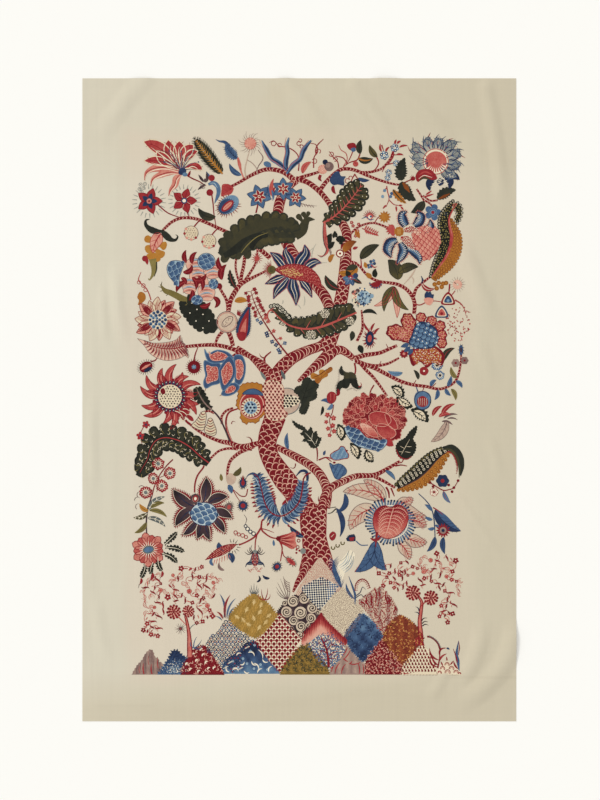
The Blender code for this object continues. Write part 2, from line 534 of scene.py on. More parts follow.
def bark(pts, widths, layer=2.0, dark=0.12, under=0.84, edge=True, pitch=1.0, cell=8.0):
    """A limb: dark red, with rows of single pale arcs across it that step half a cell from row to row."""
    line = smooth(pts, 1.0)
    s = along(line)
    full = s[-1]
    w = np.interp(s / full, np.linspace(0, 1, len(widths)), widths)
    d, side = sides(line)
    rr = dice(line[0])
    stroke("madder", line, tuple(w[:: max(1, len(w) // 40)]), layer, dark, curve=False)
    if edge:
        for sgn in (1, -1):
            rim = line + side * (w / 2 * sgn)[:, None]
            stroke("madder", rim, 0.36, layer + 0.05, 0.36, curve=False)
    pos, row = 0.8, 0
    while pos < full:
        wi = float(np.interp(pos, s, w))
        c = np.array([np.interp(pos, s, line[:, 0]), np.interp(pos, s, line[:, 1])])
        k = min(len(line) - 1, int(np.searchsorted(s, pos)))
        dd, ss = d[k], side[k]
        if wi < 5.4:
            # one arc or slant from edge to edge
            gap = (2.9 + wi * 0.14) * pitch * rr.uniform(0.8, 1.2)
            lean = (0.5 if wi > 1.8 else 0.9) * (1 if (row // 4) % 2 else -1)
            a = c - ss * wi * 0.47 - dd * wi * 0.3 * lean
            b = c + ss * wi * 0.47 + dd * wi * 0.3 * lean
            m = c + dd * (0.5 + wi * 0.16)
            fat = 0.42 + wi * 0.05
            stroke("madder", [a, m, b], (fat * 0.6, fat, fat * 0.6), layer + 0.08, under + 0.02 + rr.random() * 0.1, step=0.9)
        else:
            cols = max(1, round(wi / cell))
            cw = wi / cols
            high = min(cw * 0.54, 4.4)
            gap = (3.5 if cols > 1 else 3.4) * pitch * rr.uniform(0.9, 1.1)
            odd = row % 2 if cols > 1 else 0
            for i in range(cols + odd):
                q = -wi / 2 + (i + (0.0 if odd else 0.5)) * cw
                jog = rr.uniform(-0.6, 0.6)
                fat = (0.84 if cols > 1 else 0.72) * rr.uniform(0.75, 1.2)
                th = np.linspace(0.12, math.pi - 0.12, 11)
                lat = q + cw * 0.5 * np.cos(th) * rr.uniform(0.8, 0.98)
                fwd = high * (np.sin(th) - 0.5) + jog + 0.16 * (lat - q) * (1 if (row + i) % 3 else -1)
                ok = np.abs(lat) < wi / 2 - 0.3
                cut = np.flatnonzero(ok)
                if len(cut) < 3:
                    continue
                arc = c + ss * lat[cut][:, None] + dd * fwd[cut][:, None]
                stroke("madder", arc, (fat * 0.45, fat, fat, fat * 0.45), layer + 0.08, under + rr.random() * 0.12, curve=False)
        pos += gap
        row += 1


def twig(pts, width=1.3, layer=2.0, tone=0.2, dye="madder"):
    stroke(dye, pts, (width, width * 0.9, width * 0.55), layer, tone)


def thorn(a, b, width=1.4, bend=0.18, dye="madder", tone=0.15, layer=2.2):
    stroke(dye, bow(a, b, bend, 6), (width, width * 0.7, 0.15), layer, tone)


def club(a, b, width, layer, dye="leafgreen", tone=0.15, waist=0.45):
    """A lobe: narrow where it springs at a, round at its end b."""
    a, b = np.asarray(a, float), np.asarray(b, float)
    d = b - a
    n = np.array([d[1], -d[0]]) / max(np.hypot(*d), 1e-6) * width / 2
    prof = ((0.0, waist), (0.35, waist + 0.2), (0.62, 0.95), (0.8, 1.0), (0.93, 0.72), (1.0, 0.3))
    up = [a + d * t + n * w for t, w in prof]
    dn = [a + d * t - n * w for t, w in reversed(prof)]
    fill(dye, up + dn, layer, tone)


def oak(spine, width, lobes=9, layer=4.0, tone=0.1, inner=0.5, rib=("madder", 0.5, 0.9), curls=0.65, share=(1.0, 1.0),
        belly=0.5, fat=1.15, blunt=0.6, curl_dye=("reserve", 0.7), dots=None, edge_dye="leafgreen", in_dye="leafgreen",
        start=0.04, stop=0.96, lean=0.6, glow=None):
    """A long acanthus-like leaf on a bent spine with a row of round lobes down each side."""
    line = smooth(spine, 1.0)
    m = lobes * 6 + 1
    p = even(line, m)
    d, side = sides(p)
    t = np.linspace(0, 1, m)
    k = math.log(0.5) / math.log(belly)
    w = np.maximum(np.sin(np.pi * np.clip(t, 0.015, 0.985) ** k) ** blunt, 0.08) * width / 2
    rr = dice(p[0])
    body = np.vstack([p + side * (w * 0.66 * share[0])[:, None], (p - side * (w * 0.66 * share[1])[:, None])[::-1]])
    fill(in_dye, body, layer, inner)
    gap = along(p)[-1] / lobes
    for sgn, sh in ((1, share[0]), (-1, share[1])):
        for i in range(lobes):
            tt = start + (stop - start) * (i + (0.25 if sgn < 0 else 0.5)) / lobes
            j = int(tt * (m - 1))
            reach = w[j] * sh * rr.uniform(0.92, 1.1)
            dirn = side[j] * sgn + d[j] * lean
            dirn /= np.hypot(*dirn)
            a = p[j] + side[j] * sgn * 0.25
            b = a + dirn * reach * 1.12
            club(a, b, gap * fat, layer + 0.4, edge_dye, tone + rr.uniform(-0.04, 0.06))
            if glow is not None:
                club(a + dirn * reach * 0.1, b - dirn * min(1.5, reach * 0.2), gap * fat * 0.62, layer + 0.7, in_dye, glow + rr.uniform(-0.08, 0.08))
            if dots:
                q = a + dirn * reach * 0.93
                disc(dots[0], q, dots[2], layer + 1.2, dots[1], n=6)
                if reach > gap * 1.5:
                    disc(dots[0], a + dirn * reach * 0.62, dots[2] * 0.8, layer + 1.2, dots[1], n=6)
            if curls and reach > 2.0:
                c0 = a + dirn * reach * rr.uniform(0.25, 0.4) + d[j] * gap * 0.4
                c1 = a + dirn * reach * 0.62 + d[j] * gap * 0.62
                c2 = a + dirn * reach * rr.uniform(0.86, 1.0) + d[j] * gap * rr.uniform(0.2, 0.5)
                stroke(curl_dye[0], [c0, c1, c2], (0.25, curls, 0.2), layer + 1.0, curl_dye[1], step=0.9)
    if rib:
        stroke(rib[0], p[: int(m * 0.97)], (rib[2] * 1.25, rib[2], rib[2] * 0.35), layer + 1.5, rib[1], curve=False)
    return p, d, side, w


def fish_scale(c, r, ang, shrink=0.86):
    """One scale of a row, round towards ang and squared off behind."""
    th = np.linspace(0, math.pi, 8)
    x = np.concatenate([np.cos(th), [-0.8, 0.0, 0.8]])
    y = np.concatenate([np.sin(th) * 0.85, [-0.55, -0.75, -0.55]])
    pts = np.stack([x, y], 1) * r * shrink
    return turn(pts + c, c, ang - math.pi / 2)


def scales(poly, r, ang, layer, dye="indigo", dark=0.25, light=0.6, back=("indigo", 0.95), eye=None, squash=1.0, shrink=0.84):
    """A patch filled with overlapping scales, each darkest where it springs and ringed by a pale line."""
    poly = A(poly)
    if back:
        fill(back[0], poly, layer, back[1])
    c0 = poly.mean(0)
    reach = np.hypot(*(poly - c0).T).max() + 2 * r
    v = np.array([math.cos(ang), math.sin(ang)])
    u = np.array([-v[1], v[0]])
    rows = int(reach / (r * squash)) + 1
    cols = int(reach / (2 * r)) + 1
    rr = dice(c0)
    level = layer + 0.3
    for i in range(rows, -rows - 1, -1):
        drawn = False
        for j in range(-cols, cols + 1):
            c = c0 + v * i * r * squash + u * (2 * j + (i % 2)) * r
            if not inside(poly, [c])[0]:
                continue
            whole = fish_scale(c, r * 1.06, ang, 1.0)
            ok = inside(poly, whole)
            if ok.sum() < 4:
                continue
            near = np.where(ok[:, None], whole, c + (whole - c) * 0.5)
            body = c + (near - c) * (shrink - 0.02)
            d0 = dark + rr.uniform(-0.08, 0.08)
            fill(back[0] if back else "reserve", near, level, back[1] if back else 0.9)
            fill(dye, body, level + 0.06, lambda x: d0 + (light - d0) * np.clip((((x - c) @ v) / r + 0.8) / 1.8, 0, 1))
            if eye:
                disc(eye[0], c + v * r * 0.1, r * eye[2], level + 0.09, eye[1], n=6)
            drawn = True
        if drawn:
            level += 0.12


def dots_in(poly, gap, r, layer, dye="indigo", tone=0.1, jitter=0.15, ang=0.0, n=6, tall=1.0, chance=1.0):
    poly = A(poly)
    c0 = poly.mean(0)
    reach = np.hypot(*(poly - c0).T).max() + gap
    k = int(reach / gap) + 1
    rr = dice(c0 + gap)
    pts = []
    for i in range(-k, k + 1):
        for j in range(-k, k + 1):
            x = (j + 0.5 * (i % 2)) * gap + rr.uniform(-jitter, jitter) * gap
            y = i * gap * 0.87 + rr.uniform(-jitter, jitter) * gap
            pts.append((x, y))
    pts = turn(np.array(pts) + c0, c0, ang)
    for q in pts[inside(poly, pts)]:
        if rr.random() <= chance:
            disc(dye, q, r * rr.uniform(0.8, 1.15), layer, tone + rr.uniform(-0.06, 0.06), n=n, ry=r * tall, rot=ang)


def flecks_in(poly, gap, size, layer, dye, tone, ang=None, width=0.7, curl=0.4, chance=1.0):
    """Little curved brush flecks over a patch."""
    poly = A(poly)
    c0 = poly.mean(0)
    reach = np.hypot(*(poly - c0).T).max() + gap
    k = int(reach / gap) + 1
    rr = dice(c0 - gap)
    pts = np.array([((j + 0.5 * (i % 2) + rr.uniform(-0.25, 0.25)) * gap, (i * 0.87 + rr.uniform(-0.2, 0.2)) * gap)
                    for i in range(-k, k + 1) for j in range(-k, k + 1)]) + c0
    for q in pts[inside(poly, pts)]:
        if rr.random() > chance:
            continue
        a = rr.uniform(0, TAU) if ang is None else ang + rr.uniform(-0.35, 0.35)
        v = np.array([math.cos(a), math.sin(a)]) * size / 2
        stroke(dye, bow(q - v, q + v, curl * rr.choice((-1, 1)), 5), (width * 0.4, width, width * 0.25), layer, tone + rr.uniform(-0.05, 0.05), curve=False)


def spiral(c, r, layer, dye, tone, width=0.6, turns=1.8, start=0.0, hand=1):
    n = max(8, int(turns * 9))
    t = np.linspace(0.12, 1, n)
    a = start + hand * turns * TAU * t
    p = np.stack([c[0] + r * t * np.cos(a), c[1] + r * t * np.sin(a)], 1)
    stroke(dye, p, (width * 0.7, width, width * 0.6), layer, tone, curve=False)


def tuft(base, n, height, spread, layer=5.0, dye="umber", tone=0.25, width=0.8, lean=0.0, curl=0.25):
    rr = dice(base)
    for i in range(n):
        f = (i / max(1, n - 1)) * 2 - 1
        a = -math.pi / 2 + f * spread + lean
        h = height * (1 - 0.35 * abs(f)) * rr.uniform(0.85, 1.1)
        tip = (base[0] + h * math.cos(a), base[1] + h * math.sin(a))
        stroke(dye, bow((base[0] + f * 0.8, base[1]), tip, curl * f * -1, 7), (width, width * 0.75, 0.12), layer, tone + rr.uniform(-0.06, 0.08), curve=False)


def blossom(c, r, n=5, dye="madder", tone=0.3, layer=6.0, heart=("reserve", 0.8), gap=0.82, rot=None):
    rr = dice(c)
    rot = rr.uniform(0, TAU) if rot is None else rot
    for i in range(n):
        a = rot + i * TAU / n
        q = polar(c, a, r * 0.56)
        disc(dye, q, r * 0.46, layer, tone + rr.uniform(-0.05, 0.08), n=7, ry=r * 0.40 * gap * 5 / n + r * 0.05, rot=a)
    if heart:
        disc(heart[0], c, r * 0.2, layer + 0.6, heart[1], n=6)


def double_flower(c, r, layer=6.0, dye="madder", dark=0.12, pale=0.86, rings=3, ry=None):
    """A full rosette: rings of teardrop petals, dark on a pale ground, the outer ones large."""
    rr = dice(c)
    ry = ry or r
    disc(dye, c, r * 0.8, layer, pale, n=18, ry=ry * 0.8)
    disc(dye, c, r * 0.15, layer + 0.6, dark, n=8)
    for k in range(rings):
        share = 0.30 + 0.52 * k / max(1, rings - 1)
        n = (6, 9, 12, 14)[min(k, 3)]
        for i in range(n):
            a = (i + 0.5 * (k % 2)) * TAU / n + rr.uniform(-0.08, 0.08)
            u = np.array([math.cos(a), math.sin(a) * ry / r])
            q = np.array(c) + u * r * share
            wide = min(TAU * r * share / n * 0.40, r * 0.21)
            disc(dye, q, r * 0.165, layer + 0.4 + 0.1 * (k % 2), dark + rr.uniform(0, 0.14), n=8, ry=wide, rot=a)


def star(c, r, n=5, layer=6.0, dye="madder", tone=0.35, width=0.75, inner=None, edge=None, rot=0.0, blunt=0.25, vein=None, core=None, r0=0.12, tip_tone=None):
    """Pointed petals round a centre."""
    for i in range(n):
        a = rot + i * TAU / n
        wid = TAU * r * 0.45 / n * width * 2
        petal(dye, c, a, r * r0, r, wid, layer, tone, blunt, edge, tip_tone=tip_tone)
        if inner:
            petal(inner[0], c, a, r * r0, r * inner[2], wid * 0.55, layer + 0.8, inner[1], blunt)
        if vein:
            stroke(vein[0], [polar(c, a, r * 0.2), polar(c, a, r * 0.82)], (vein[2], 0.2), layer + 1.1, vein[1], curve=False)
    if core:
        disc(core[0], c, core[2], layer + 1.4, core[1])


def fan_daisy(c, r, layer=6.0, rot=0.0, open_from=0.0, open_to=TAU, n=11, dye="madder", tone=0.35, core=("grey", 0.4, 0.28), pale=("reserve", 0.9)):
    """A side-on daisy: wedge petals with white stripes between."""
    rr = dice(c)
    for i in range(n):
        a = rot + open_from + (open_to - open_from) * (i + 0.5) / n
        petal(dye, c, a, r * 0.38, r * rr.uniform(0.9, 1.08), (open_to - open_from) / n * r * 0.92, layer, tone + rr.uniform(-0.08, 0.1), 0.8)
        stroke(pale[0], [polar(c, a, r * 0.30), polar(c, a, r * 0.76)], (0.55, 0.35), layer + 0.7, pale[1], curve=False)
    disc(core[0], c, r * core[2], layer + 0.9, core[1], n=9)


def spiky_bud(c, rx, ry, rot=0.0, layer=6.0, body=("indigo", 0.12), heart=("madder", 0.35), hairs=16, hair=1.9, hair_dye=("umber", 0.1), stripe=False, width=0.35):
    rr = dice(c)
    for i in range(hairs):
        a = i * TAU / hairs + rr.uniform(-0.12, 0.12)
        p0 = turn([(c[0] + rx * 0.85 * math.cos(a), c[1] + ry * 0.85 * math.sin(a))], c, rot)[0]
        p1 = turn([(c[0] + (rx + hair) * math.cos(a + 0.12), c[1] + (ry + hair) * math.sin(a + 0.12))], c, rot)[0]
        stroke(hair_dye[0], [p0, p1], (width * 2, width * 0.4), layer - 0.3, hair_dye[1], curve=False)
    disc(body[0], c, rx, layer, body[1], ry=ry, rot=rot, n=14)
    if stripe:
        a, b = turn([(c[0] - rx * 0.8, c[1]), (c[0] + rx * 0.8, c[1])], c, rot)
        stroke(heart[0], [a, b], (0.4, ry * 0.7, 0.3), layer + 0.7, heart[1])
    else:
        disc(heart[0], c, rx * 0.52, layer + 0.7, heart[1], ry=ry * 0.52, rot=rot, n=9)


def fringe(line, side_sign, length, layer, dye="madder", tone=0.15, gap=1.5, width=1.3, lean=0.5, grow=None):
    """Flame-like teeth along a line, leaning forward."""
    p = smooth(line, 0.8) if len(line) < 12 else A(line)
    s = along(p)
    n = max(2, int(s[-1] / gap))
    q = even(p, n)
    d, side = sides(q)
    rr = dice(q[0])
    for i in range(n):
        ln = length * rr.uniform(0.75, 1.2) * (grow(i / (n - 1)) if grow else 1.0)
        tip = q[i] + side[i] * side_sign * ln + d[i] * ln * lean
        a, b = q[i] - d[i] * width / 2, q[i] + d[i] * width / 2
        fill(dye, [a, b, tip], layer, tone + rr.uniform(-0.05, 0.1))


def flame_petal(a, b, width, bend=0.0, layer=6.0, body=("umber", 0.3), edge=("reserve", 0.95), teeth=("madder", 0.13), tooth=2.4, belly=0.5):
    """A plum petal with a white edge and a fringe of dark red teeth."""
    line = bow(a, b, bend)
    p, side, wl, wr = blade_outline(line, width, belly)
    wide = 1.0 + 1.5 / width * 2
    outer = np.vstack([p + side * (wl * wide + 0.5)[:, None], (p - side * (wr * wide + 0.5)[:, None])[::-1]])
    fill(teeth[0], outer, layer, teeth[1] + 0.05)
    fringe(p + side * (wl * wide + 0.3)[:, None], 1, tooth, layer + 0.05, teeth[0], teeth[1], 1.7, 1.5)
    fringe(p - side * (wr * wide + 0.3)[:, None], -1, tooth, layer + 0.05, teeth[0], teeth[1], 1.7, 1.5)
    mid = np.vstack([p + side * (wl + 0.45)[:, None], (p - side * (wr + 0.45)[:, None])[::-1]])
    fill(edge[0], mid, layer + 0.6, edge[1])
    core = np.vstack([p + side * wl[:, None], (p - side * wr[:, None])[::-1]])
    a0 = p[0]
    ln = max(np.hypot(*(p[-1] - a0)), 1e-6)
    fill(body[0], core, layer + 1.2, lambda q: body[1] + 0.22 - 0.3 * np.hypot(*(q - a0).T) / ln)


def toothed(pts, tooth=1.6, depth=1.4, closed=True, seed=1):
    """An outline whose edge is broken into small uneven teeth."""
    p = A(pts)
    if closed:
        p = np.vstack([p, p[:1]])
    s = along(p)
    n = max(6, int(s[-1] / tooth) * 2)
    q = even(p, n + 1)
    _, side = sides(q)
    rr = random.Random(seed)
    k = np.array([(depth / 2 if i % 2 else -depth / 2) * rr.uniform(0.6, 1.3) for i in range(len(q))])
    out = q - side * k[:, None]
    return out[:-1] if closed else out


def curl_line(c, r, a0, sweep, layer=6.0, dye="madder", tone=0.6, width=0.5):
    a = np.linspace(a0, a0 + sweep, 8)
    stroke(dye, np.stack([c[0] + r * np.cos(a), c[1] + r * np.sin(a)], 1), (width, width, width * 0.3), layer, tone, curve=False)


def s_leaf(c, size, ang, layer=6.0, dye="madder", tone=0.2, width=1.5):
    """A little S-shaped leaf with a thin tail at each end."""
    v = np.array([math.cos(ang), math.sin(ang)]) * size / 2
    n = np.array([-v[1], v[0]]) * 0.42
    c = np.array(c, float)
    stroke(dye, [c - v * 1.25 + n * 0.4, c - v * 0.8 + n, c - v * 0.1, c + v * 0.8 - n, c + v * 1.25 - n * 0.4], (0.25, width * 0.8, width * 1.25, width * 0.8, 0.2), layer, tone, step=0.9)


def beads(pts, r, layer, dye="madder", tone=0.25, gap=2.2):
    p = smooth(pts, 0.8)
    n = max(2, int(along(p)[-1] / gap))
    for q in even(p, n):
        disc(dye, q, r, layer, tone, n=6)


# ---- the tree itself -------------------------------------------------------------------------------------
def tree():
    # trunk and roots
    bark([(317, 571), (317, 560), (316, 550), (314.5, 540), (313.5, 528), (313.5, 516), (317, 504)], (36, 31, 26, 24, 26, 26.5, 21), 2.0, cell=8.4)
    bark([(293, 592), (297, 583), (303, 573), (307, 562)], (1.5, 4.5, 7, 8), 2.9, cell=7.0)
    bark([(341.5, 587), (338, 580), (333.5, 572), (329.5, 562)], (1, 3.5, 6, 7), 2.9, cell=7.0)
    # left stem up to the knot
    bark([(313, 512), (304, 502), (293, 490), (282, 476), (271.5, 460), (267.5, 448), (268, 437), (272, 426), (275.5, 416)], (11, 17, 21, 22, 20, 18, 18, 20, 21), 2.7, cell=8.4)
    bark([(283, 489), (291, 499), (300, 508), (306, 515)], (5, 8, 8, 4), 2.9, cell=7.8)
    # right stem crossing to the knot
    bark([(325, 508), (327, 495), (325.5, 485), (319.5, 474), (310.5, 465.5), (300, 459), (288, 452.5), (276, 446.5)], (9.5, 9.5, 9, 8.8, 8, 7.4, 6.4, 5.5), 3.2, cell=7.8)
    # the low right branch
    bark([(322, 507), (325, 496), (332, 487), (345, 480.5), (357, 476), (374, 475), (387.5, 468.5), (400, 461)], (8, 8, 7, 6, 4.9, 4.2, 3.2, 2.2), 3.6, cell=7.8)
    bark([(374.5, 476.5), (384.8, 481.7), (395, 487.7)], (3.4, 2.6, 2.0), 3.0)
    twig([(395, 466), (401, 465), (407, 466)], 1.4, 3.0)
    twig([(386, 487), (388.5, 492), (389.2, 498)], 2.0, 3.0)
    twig([(391, 488), (394.3, 496.3)], 1.6, 3.0)
    # left branches low on the stem
    bark([(262, 442), (254, 444.5), (245, 446.5), (238, 446.2), (230, 443), (219.6, 441), (207, 436), (198, 430.5), (191, 425), (186, 421)], (4, 5.2, 5.2, 5, 4.4, 3.2, 2.8, 2.4, 2.2, 1.8), 2.6)
    bark([(254, 446), (246, 449.5), (239, 453), (231, 460), (228, 468), (227, 477)], (4, 3.6, 3.2, 2.8, 2.4, 1.6), 2.5)
    bark([(238, 449), (228, 448.5), (219, 451), (212, 457), (205.5, 463.5), (203, 468)], (2.6, 2.2, 2.0, 1.8, 1.6, 1.2), 2.4)
    stroke("madder", [(232, 443), (227.5, 431), (226, 421), (229, 412.5), (238, 408.5)], (2.6, 2.2, 1.9, 1.7, 1.4), 3.0, 0.24)
    stroke("madder", [(232, 441), (228, 432), (226.5, 424)], (0.6, 0.5, 0.3), 3.6, 0.85)
    thorn((252, 442.5), (246, 437), 1.6, -0.25)
    thorn((252, 450), (247.5, 446.5), 1.2, 0.3)
    thorn((231.5, 424), (235.5, 422), 1.0, 0.4)
    thorn((228, 432), (224, 428), 1.0, -0.3)
    thorn((295.5, 463.5), (289.5, 467), 1.2, 0.45)
    thorn((321, 503), (318.8, 496), 1.6, 0.2)
    thorn((306, 470), (302, 474), 0.9, 0.3)
    twig([(283, 465), (279, 461), (278, 456)], 1.8, 2.4, 0.9, "umber")
    # the knot of pink scales with dark cores
    knot = smooth([(262, 391), (264.6, 383.6), (270, 379.6), (277, 380.6), (282.6, 385.6), (284, 393), (283, 402), (284, 410), (287.6, 413.6), (284, 418.6), (276, 421), (268, 419), (264.6, 412), (263.6, 402)], 1.0, closed=True)
    fill("reserve", knot, 4.72, 0.35)
    fill("madder", knot * 0.92 + np.array([273, 400]) * 0.08, 4.82, 0.97)
    outline("madder", knot, 0.5, 4.92, 0.5)
    rr = dice((27, 4))
    for i in range(-14, 15):
        for j in range(-6, 7):
            q = (273 + (2 * j + (i % 2)) * 1.95 + rr.uniform(-0.35, 0.35), 400 + i * 2.75 + rr.uniform(-0.3, 0.3))
            if inside(knot, [q])[0]:
                fill("madder", [(q[0] - 1.2, q[1] - 1.15), (q[0] + 1.35, q[1] - 0.8), (q[0] + 0.5, q[1] + 1.35), (q[0] - 0.6, q[1] + 0.9)], 5.12, 0.04 + rr.random() * 0.1)
                if inside(knot, [(q[0], q[1] - 1.9)])[0]:
                    stroke("madder", [(q[0] - 1.4, q[1] - 0.6), (q[0] - 0.2, q[1] - 1.7), (q[0] + 1.4, q[1] - 0.8)], 0.3, 5.0, 0.6, curve=False)
    # limbs above the knot
    bark([(270, 386), (267.5, 377), (260, 366.5), (252, 358), (243, 351), (237, 347)], (7, 6.6, 6, 5.2, 4.2, 3.0), 2.6)
    bark([(273, 384), (279, 371), (288.5, 361), (297, 355.5), (309, 350), (321, 345.5), (331, 336)], (13, 13, 12.5, 11, 9.5, 9, 9), 2.8, cell=7.8)
    bark([(298, 381.5), (304, 376), (311, 370), (321.7, 361), (331, 352), (336.4, 346)], (2.6, 5, 8, 10.5, 12, 12), 3.1, cell=7.8)
    bark([(326, 352), (331, 336), (337, 318), (340.7, 301), (343.5, 284), (345.6, 262), (346, 242)], (14, 15, 14, 12.5, 12, 11, 10), 3.4, cell=7.8)
    twig([(265, 367), (264.7, 358), (271, 351.6)], 2.0, 2.4)
    thorn((264.7, 358), (259.5, 353.5), 1.5, 0.2)
    thorn((265, 362), (262, 357), 1.2, -0.2)
    # from the main limb to the cone flower and up the middle column
    bark([(333, 322), (329, 307), (325, 297), (318, 288), (309, 281)], (6, 9, 10.5, 10, 8), 3.0, cell=7.8)
    bark([(300, 266), (291, 251), (285, 240), (280.6, 228), (278, 214), (281, 199), (289, 187), (297, 181)], (12, 11, 10, 10, 10, 10, 8, 5), 2.7, cell=7.8)
    bark([(346, 246), (346.6, 234), (342, 223), (335, 212), (328, 201.6), (319, 191), (308, 182.6), (296, 178.6)], (9.6, 9, 8, 6, 4.9, 4.9, 4.9, 4.9), 2.9, cell=7.8)
    # left arching branch
    bark([(275, 376), (262, 363), (245, 354), (228, 347.5), (214, 345), (198, 345.5), (183, 347), (170, 349)], (5, 5, 4.6, 4.0, 3.6, 3.2, 2.8, 2.4), 2.4)
    # top branches
    bark([(296, 181.5), (284, 172.5), (272, 169.5), (262, 170.5), (250, 176), (240, 182), (230, 187), (222, 190)], (5.5, 4.8, 4.2, 3.8, 3.2, 2.8, 2.4, 1.8), 2.6)
    bark([(290, 184), (300, 178), (311, 174.5), (319, 172)], (4, 3.4, 2.8, 2.2), 2.7)
    bark([(318, 193), (327, 181), (339, 170.5), (348, 169), (357, 171), (366, 175), (379, 180), (393, 184), (401, 185)], (4.2, 3.8, 3.6, 3.2, 3.0, 2.8, 2.4, 2.0, 1.6), 2.7)
    bark([(360, 172.5), (371, 172), (381, 169), (388, 162), (392, 155), (395, 143)], (2.4, 2.2, 2.0, 1.8, 1.6, 1.0), 2.6)
    bark([(163, 230), (172, 222), (182, 218), (194, 218.5), (206, 222.5), (218, 228), (229, 233), (243, 240), (258, 248), (270, 258)], (2.2, 2.6, 2.8, 2.8, 3.0, 3.2, 3.4, 3.8, 4.2, 4.4), 2.5)
    twig([(158, 205), (168, 213), (181, 218)], 1.3, 2.4, 0.2)
    twig([(186, 206), (187, 212), (190, 218)], 1.2, 2.4, 0.2)
    twig([(211, 190), (213, 203), (214, 214), (216, 226)], 1.3, 2.4, 0.2)
    # right hand branches above the middle
    bark([(343, 262), (349, 262.6), (356, 264.4)], (6, 5, 4.4), 2.7)
    # right hand sprays from the fork
    bark([(334, 351), (341, 350), (348, 354), (354, 359)], (9, 8, 6.5, 5), 3.3, cell=7.0)
    bark([(354, 358.5), (360, 356.5), (366, 355), (379, 353), (388, 349.5), (397, 345.5)], (4.6, 4.2, 3.8, 3.4, 3.0, 2.4), 2.8)
    bark([(355, 360.5), (365, 364), (376, 365.7), (388, 363.5), (399, 358)], (3.2, 3.0, 2.6, 2.2, 1.6), 2.7)
    bark([(356, 361), (365, 364.5), (374.5, 368), (388, 375), (400, 381), (413, 384.8), (426, 386.5), (439, 389), (449, 386), (456, 380), (459.5, 370), (461, 358), (460.8, 349)], (4.2, 4.0, 3.8, 3.5, 3.3, 3.0, 2.8, 2.6, 2.3, 2.1, 1.9, 1.6, 1.0), 2.9)
    bark([(360, 363), (366, 370), (373, 377), (380, 386), (387, 396)], (3.2, 3.0, 2.6, 2.2, 1.8), 2.6)
    twig([(374, 385), (371, 390), (369, 396)], 1.4, 2.4, 0.2)
    twig([(354.5, 363), (355.5, 370), (354, 378)], 1.8, 2.4, 0.25)
    for a, b in (((388, 349), (386, 344)), ((379, 365), (381, 361)), ((413, 384.5), (416, 380)), ((400, 381), (402, 386)), ((431, 387.5), (436, 383)), ((444, 388), (446, 392)), ((424, 386), (422, 392))):
        twig([a, ((a[0] + b[0]) / 2 + 0.3, (a[1] + b[1]) / 2), b], 0.9, 2.4, 0.2)
    # lower left sprays with the hanging flowers
    stroke("madder", [(261.8, 521), (261.5, 529), (266, 534), (272, 537.5), (279, 538.5)], (1.6, 1.8, 1.5, 1.3, 1.2), 2.6, 0.3)
    stroke("madder", [(261.5, 527), (255.7, 535.7), (248, 541), (239, 545)], (1.8, 1.8, 1.6, 1.4), 2.6, 0.3)
    stroke("madder", [(257, 534), (255.4, 542), (255, 551)], (1.4, 1.2, 1.0), 2.6, 0.3)
    stroke("madder", [(279, 540), (281.8, 546), (282, 551), (280.5, 561)], (1.5, 1.4, 1.1, 0.9), 2.6, 0.3)
    stroke("madder", [(282.3, 551), (284, 556), (288.5, 559.5)], (1.0, 0.9, 0.7), 2.6, 0.3)
    stroke("madder", [(262, 528.5), (267.5, 530), (274, 532.5)], (0.9, 0.8, 0.4), 2.6, 0.3)


tree()


# ---- flowers and leaves round the foot of the tree ------------------------------------------------------


def blue_leaf(a, b, width, bend=0.0, tone=0.42, layer=4, rib=("madder", 0.25, 0.7), edge=None, belly=0.42, **more):
    leaf(a, b, width, bend=bend, dye="indigo", tone=tone, layer=layer, rib=rib, edge=edge, belly=belly, **more)


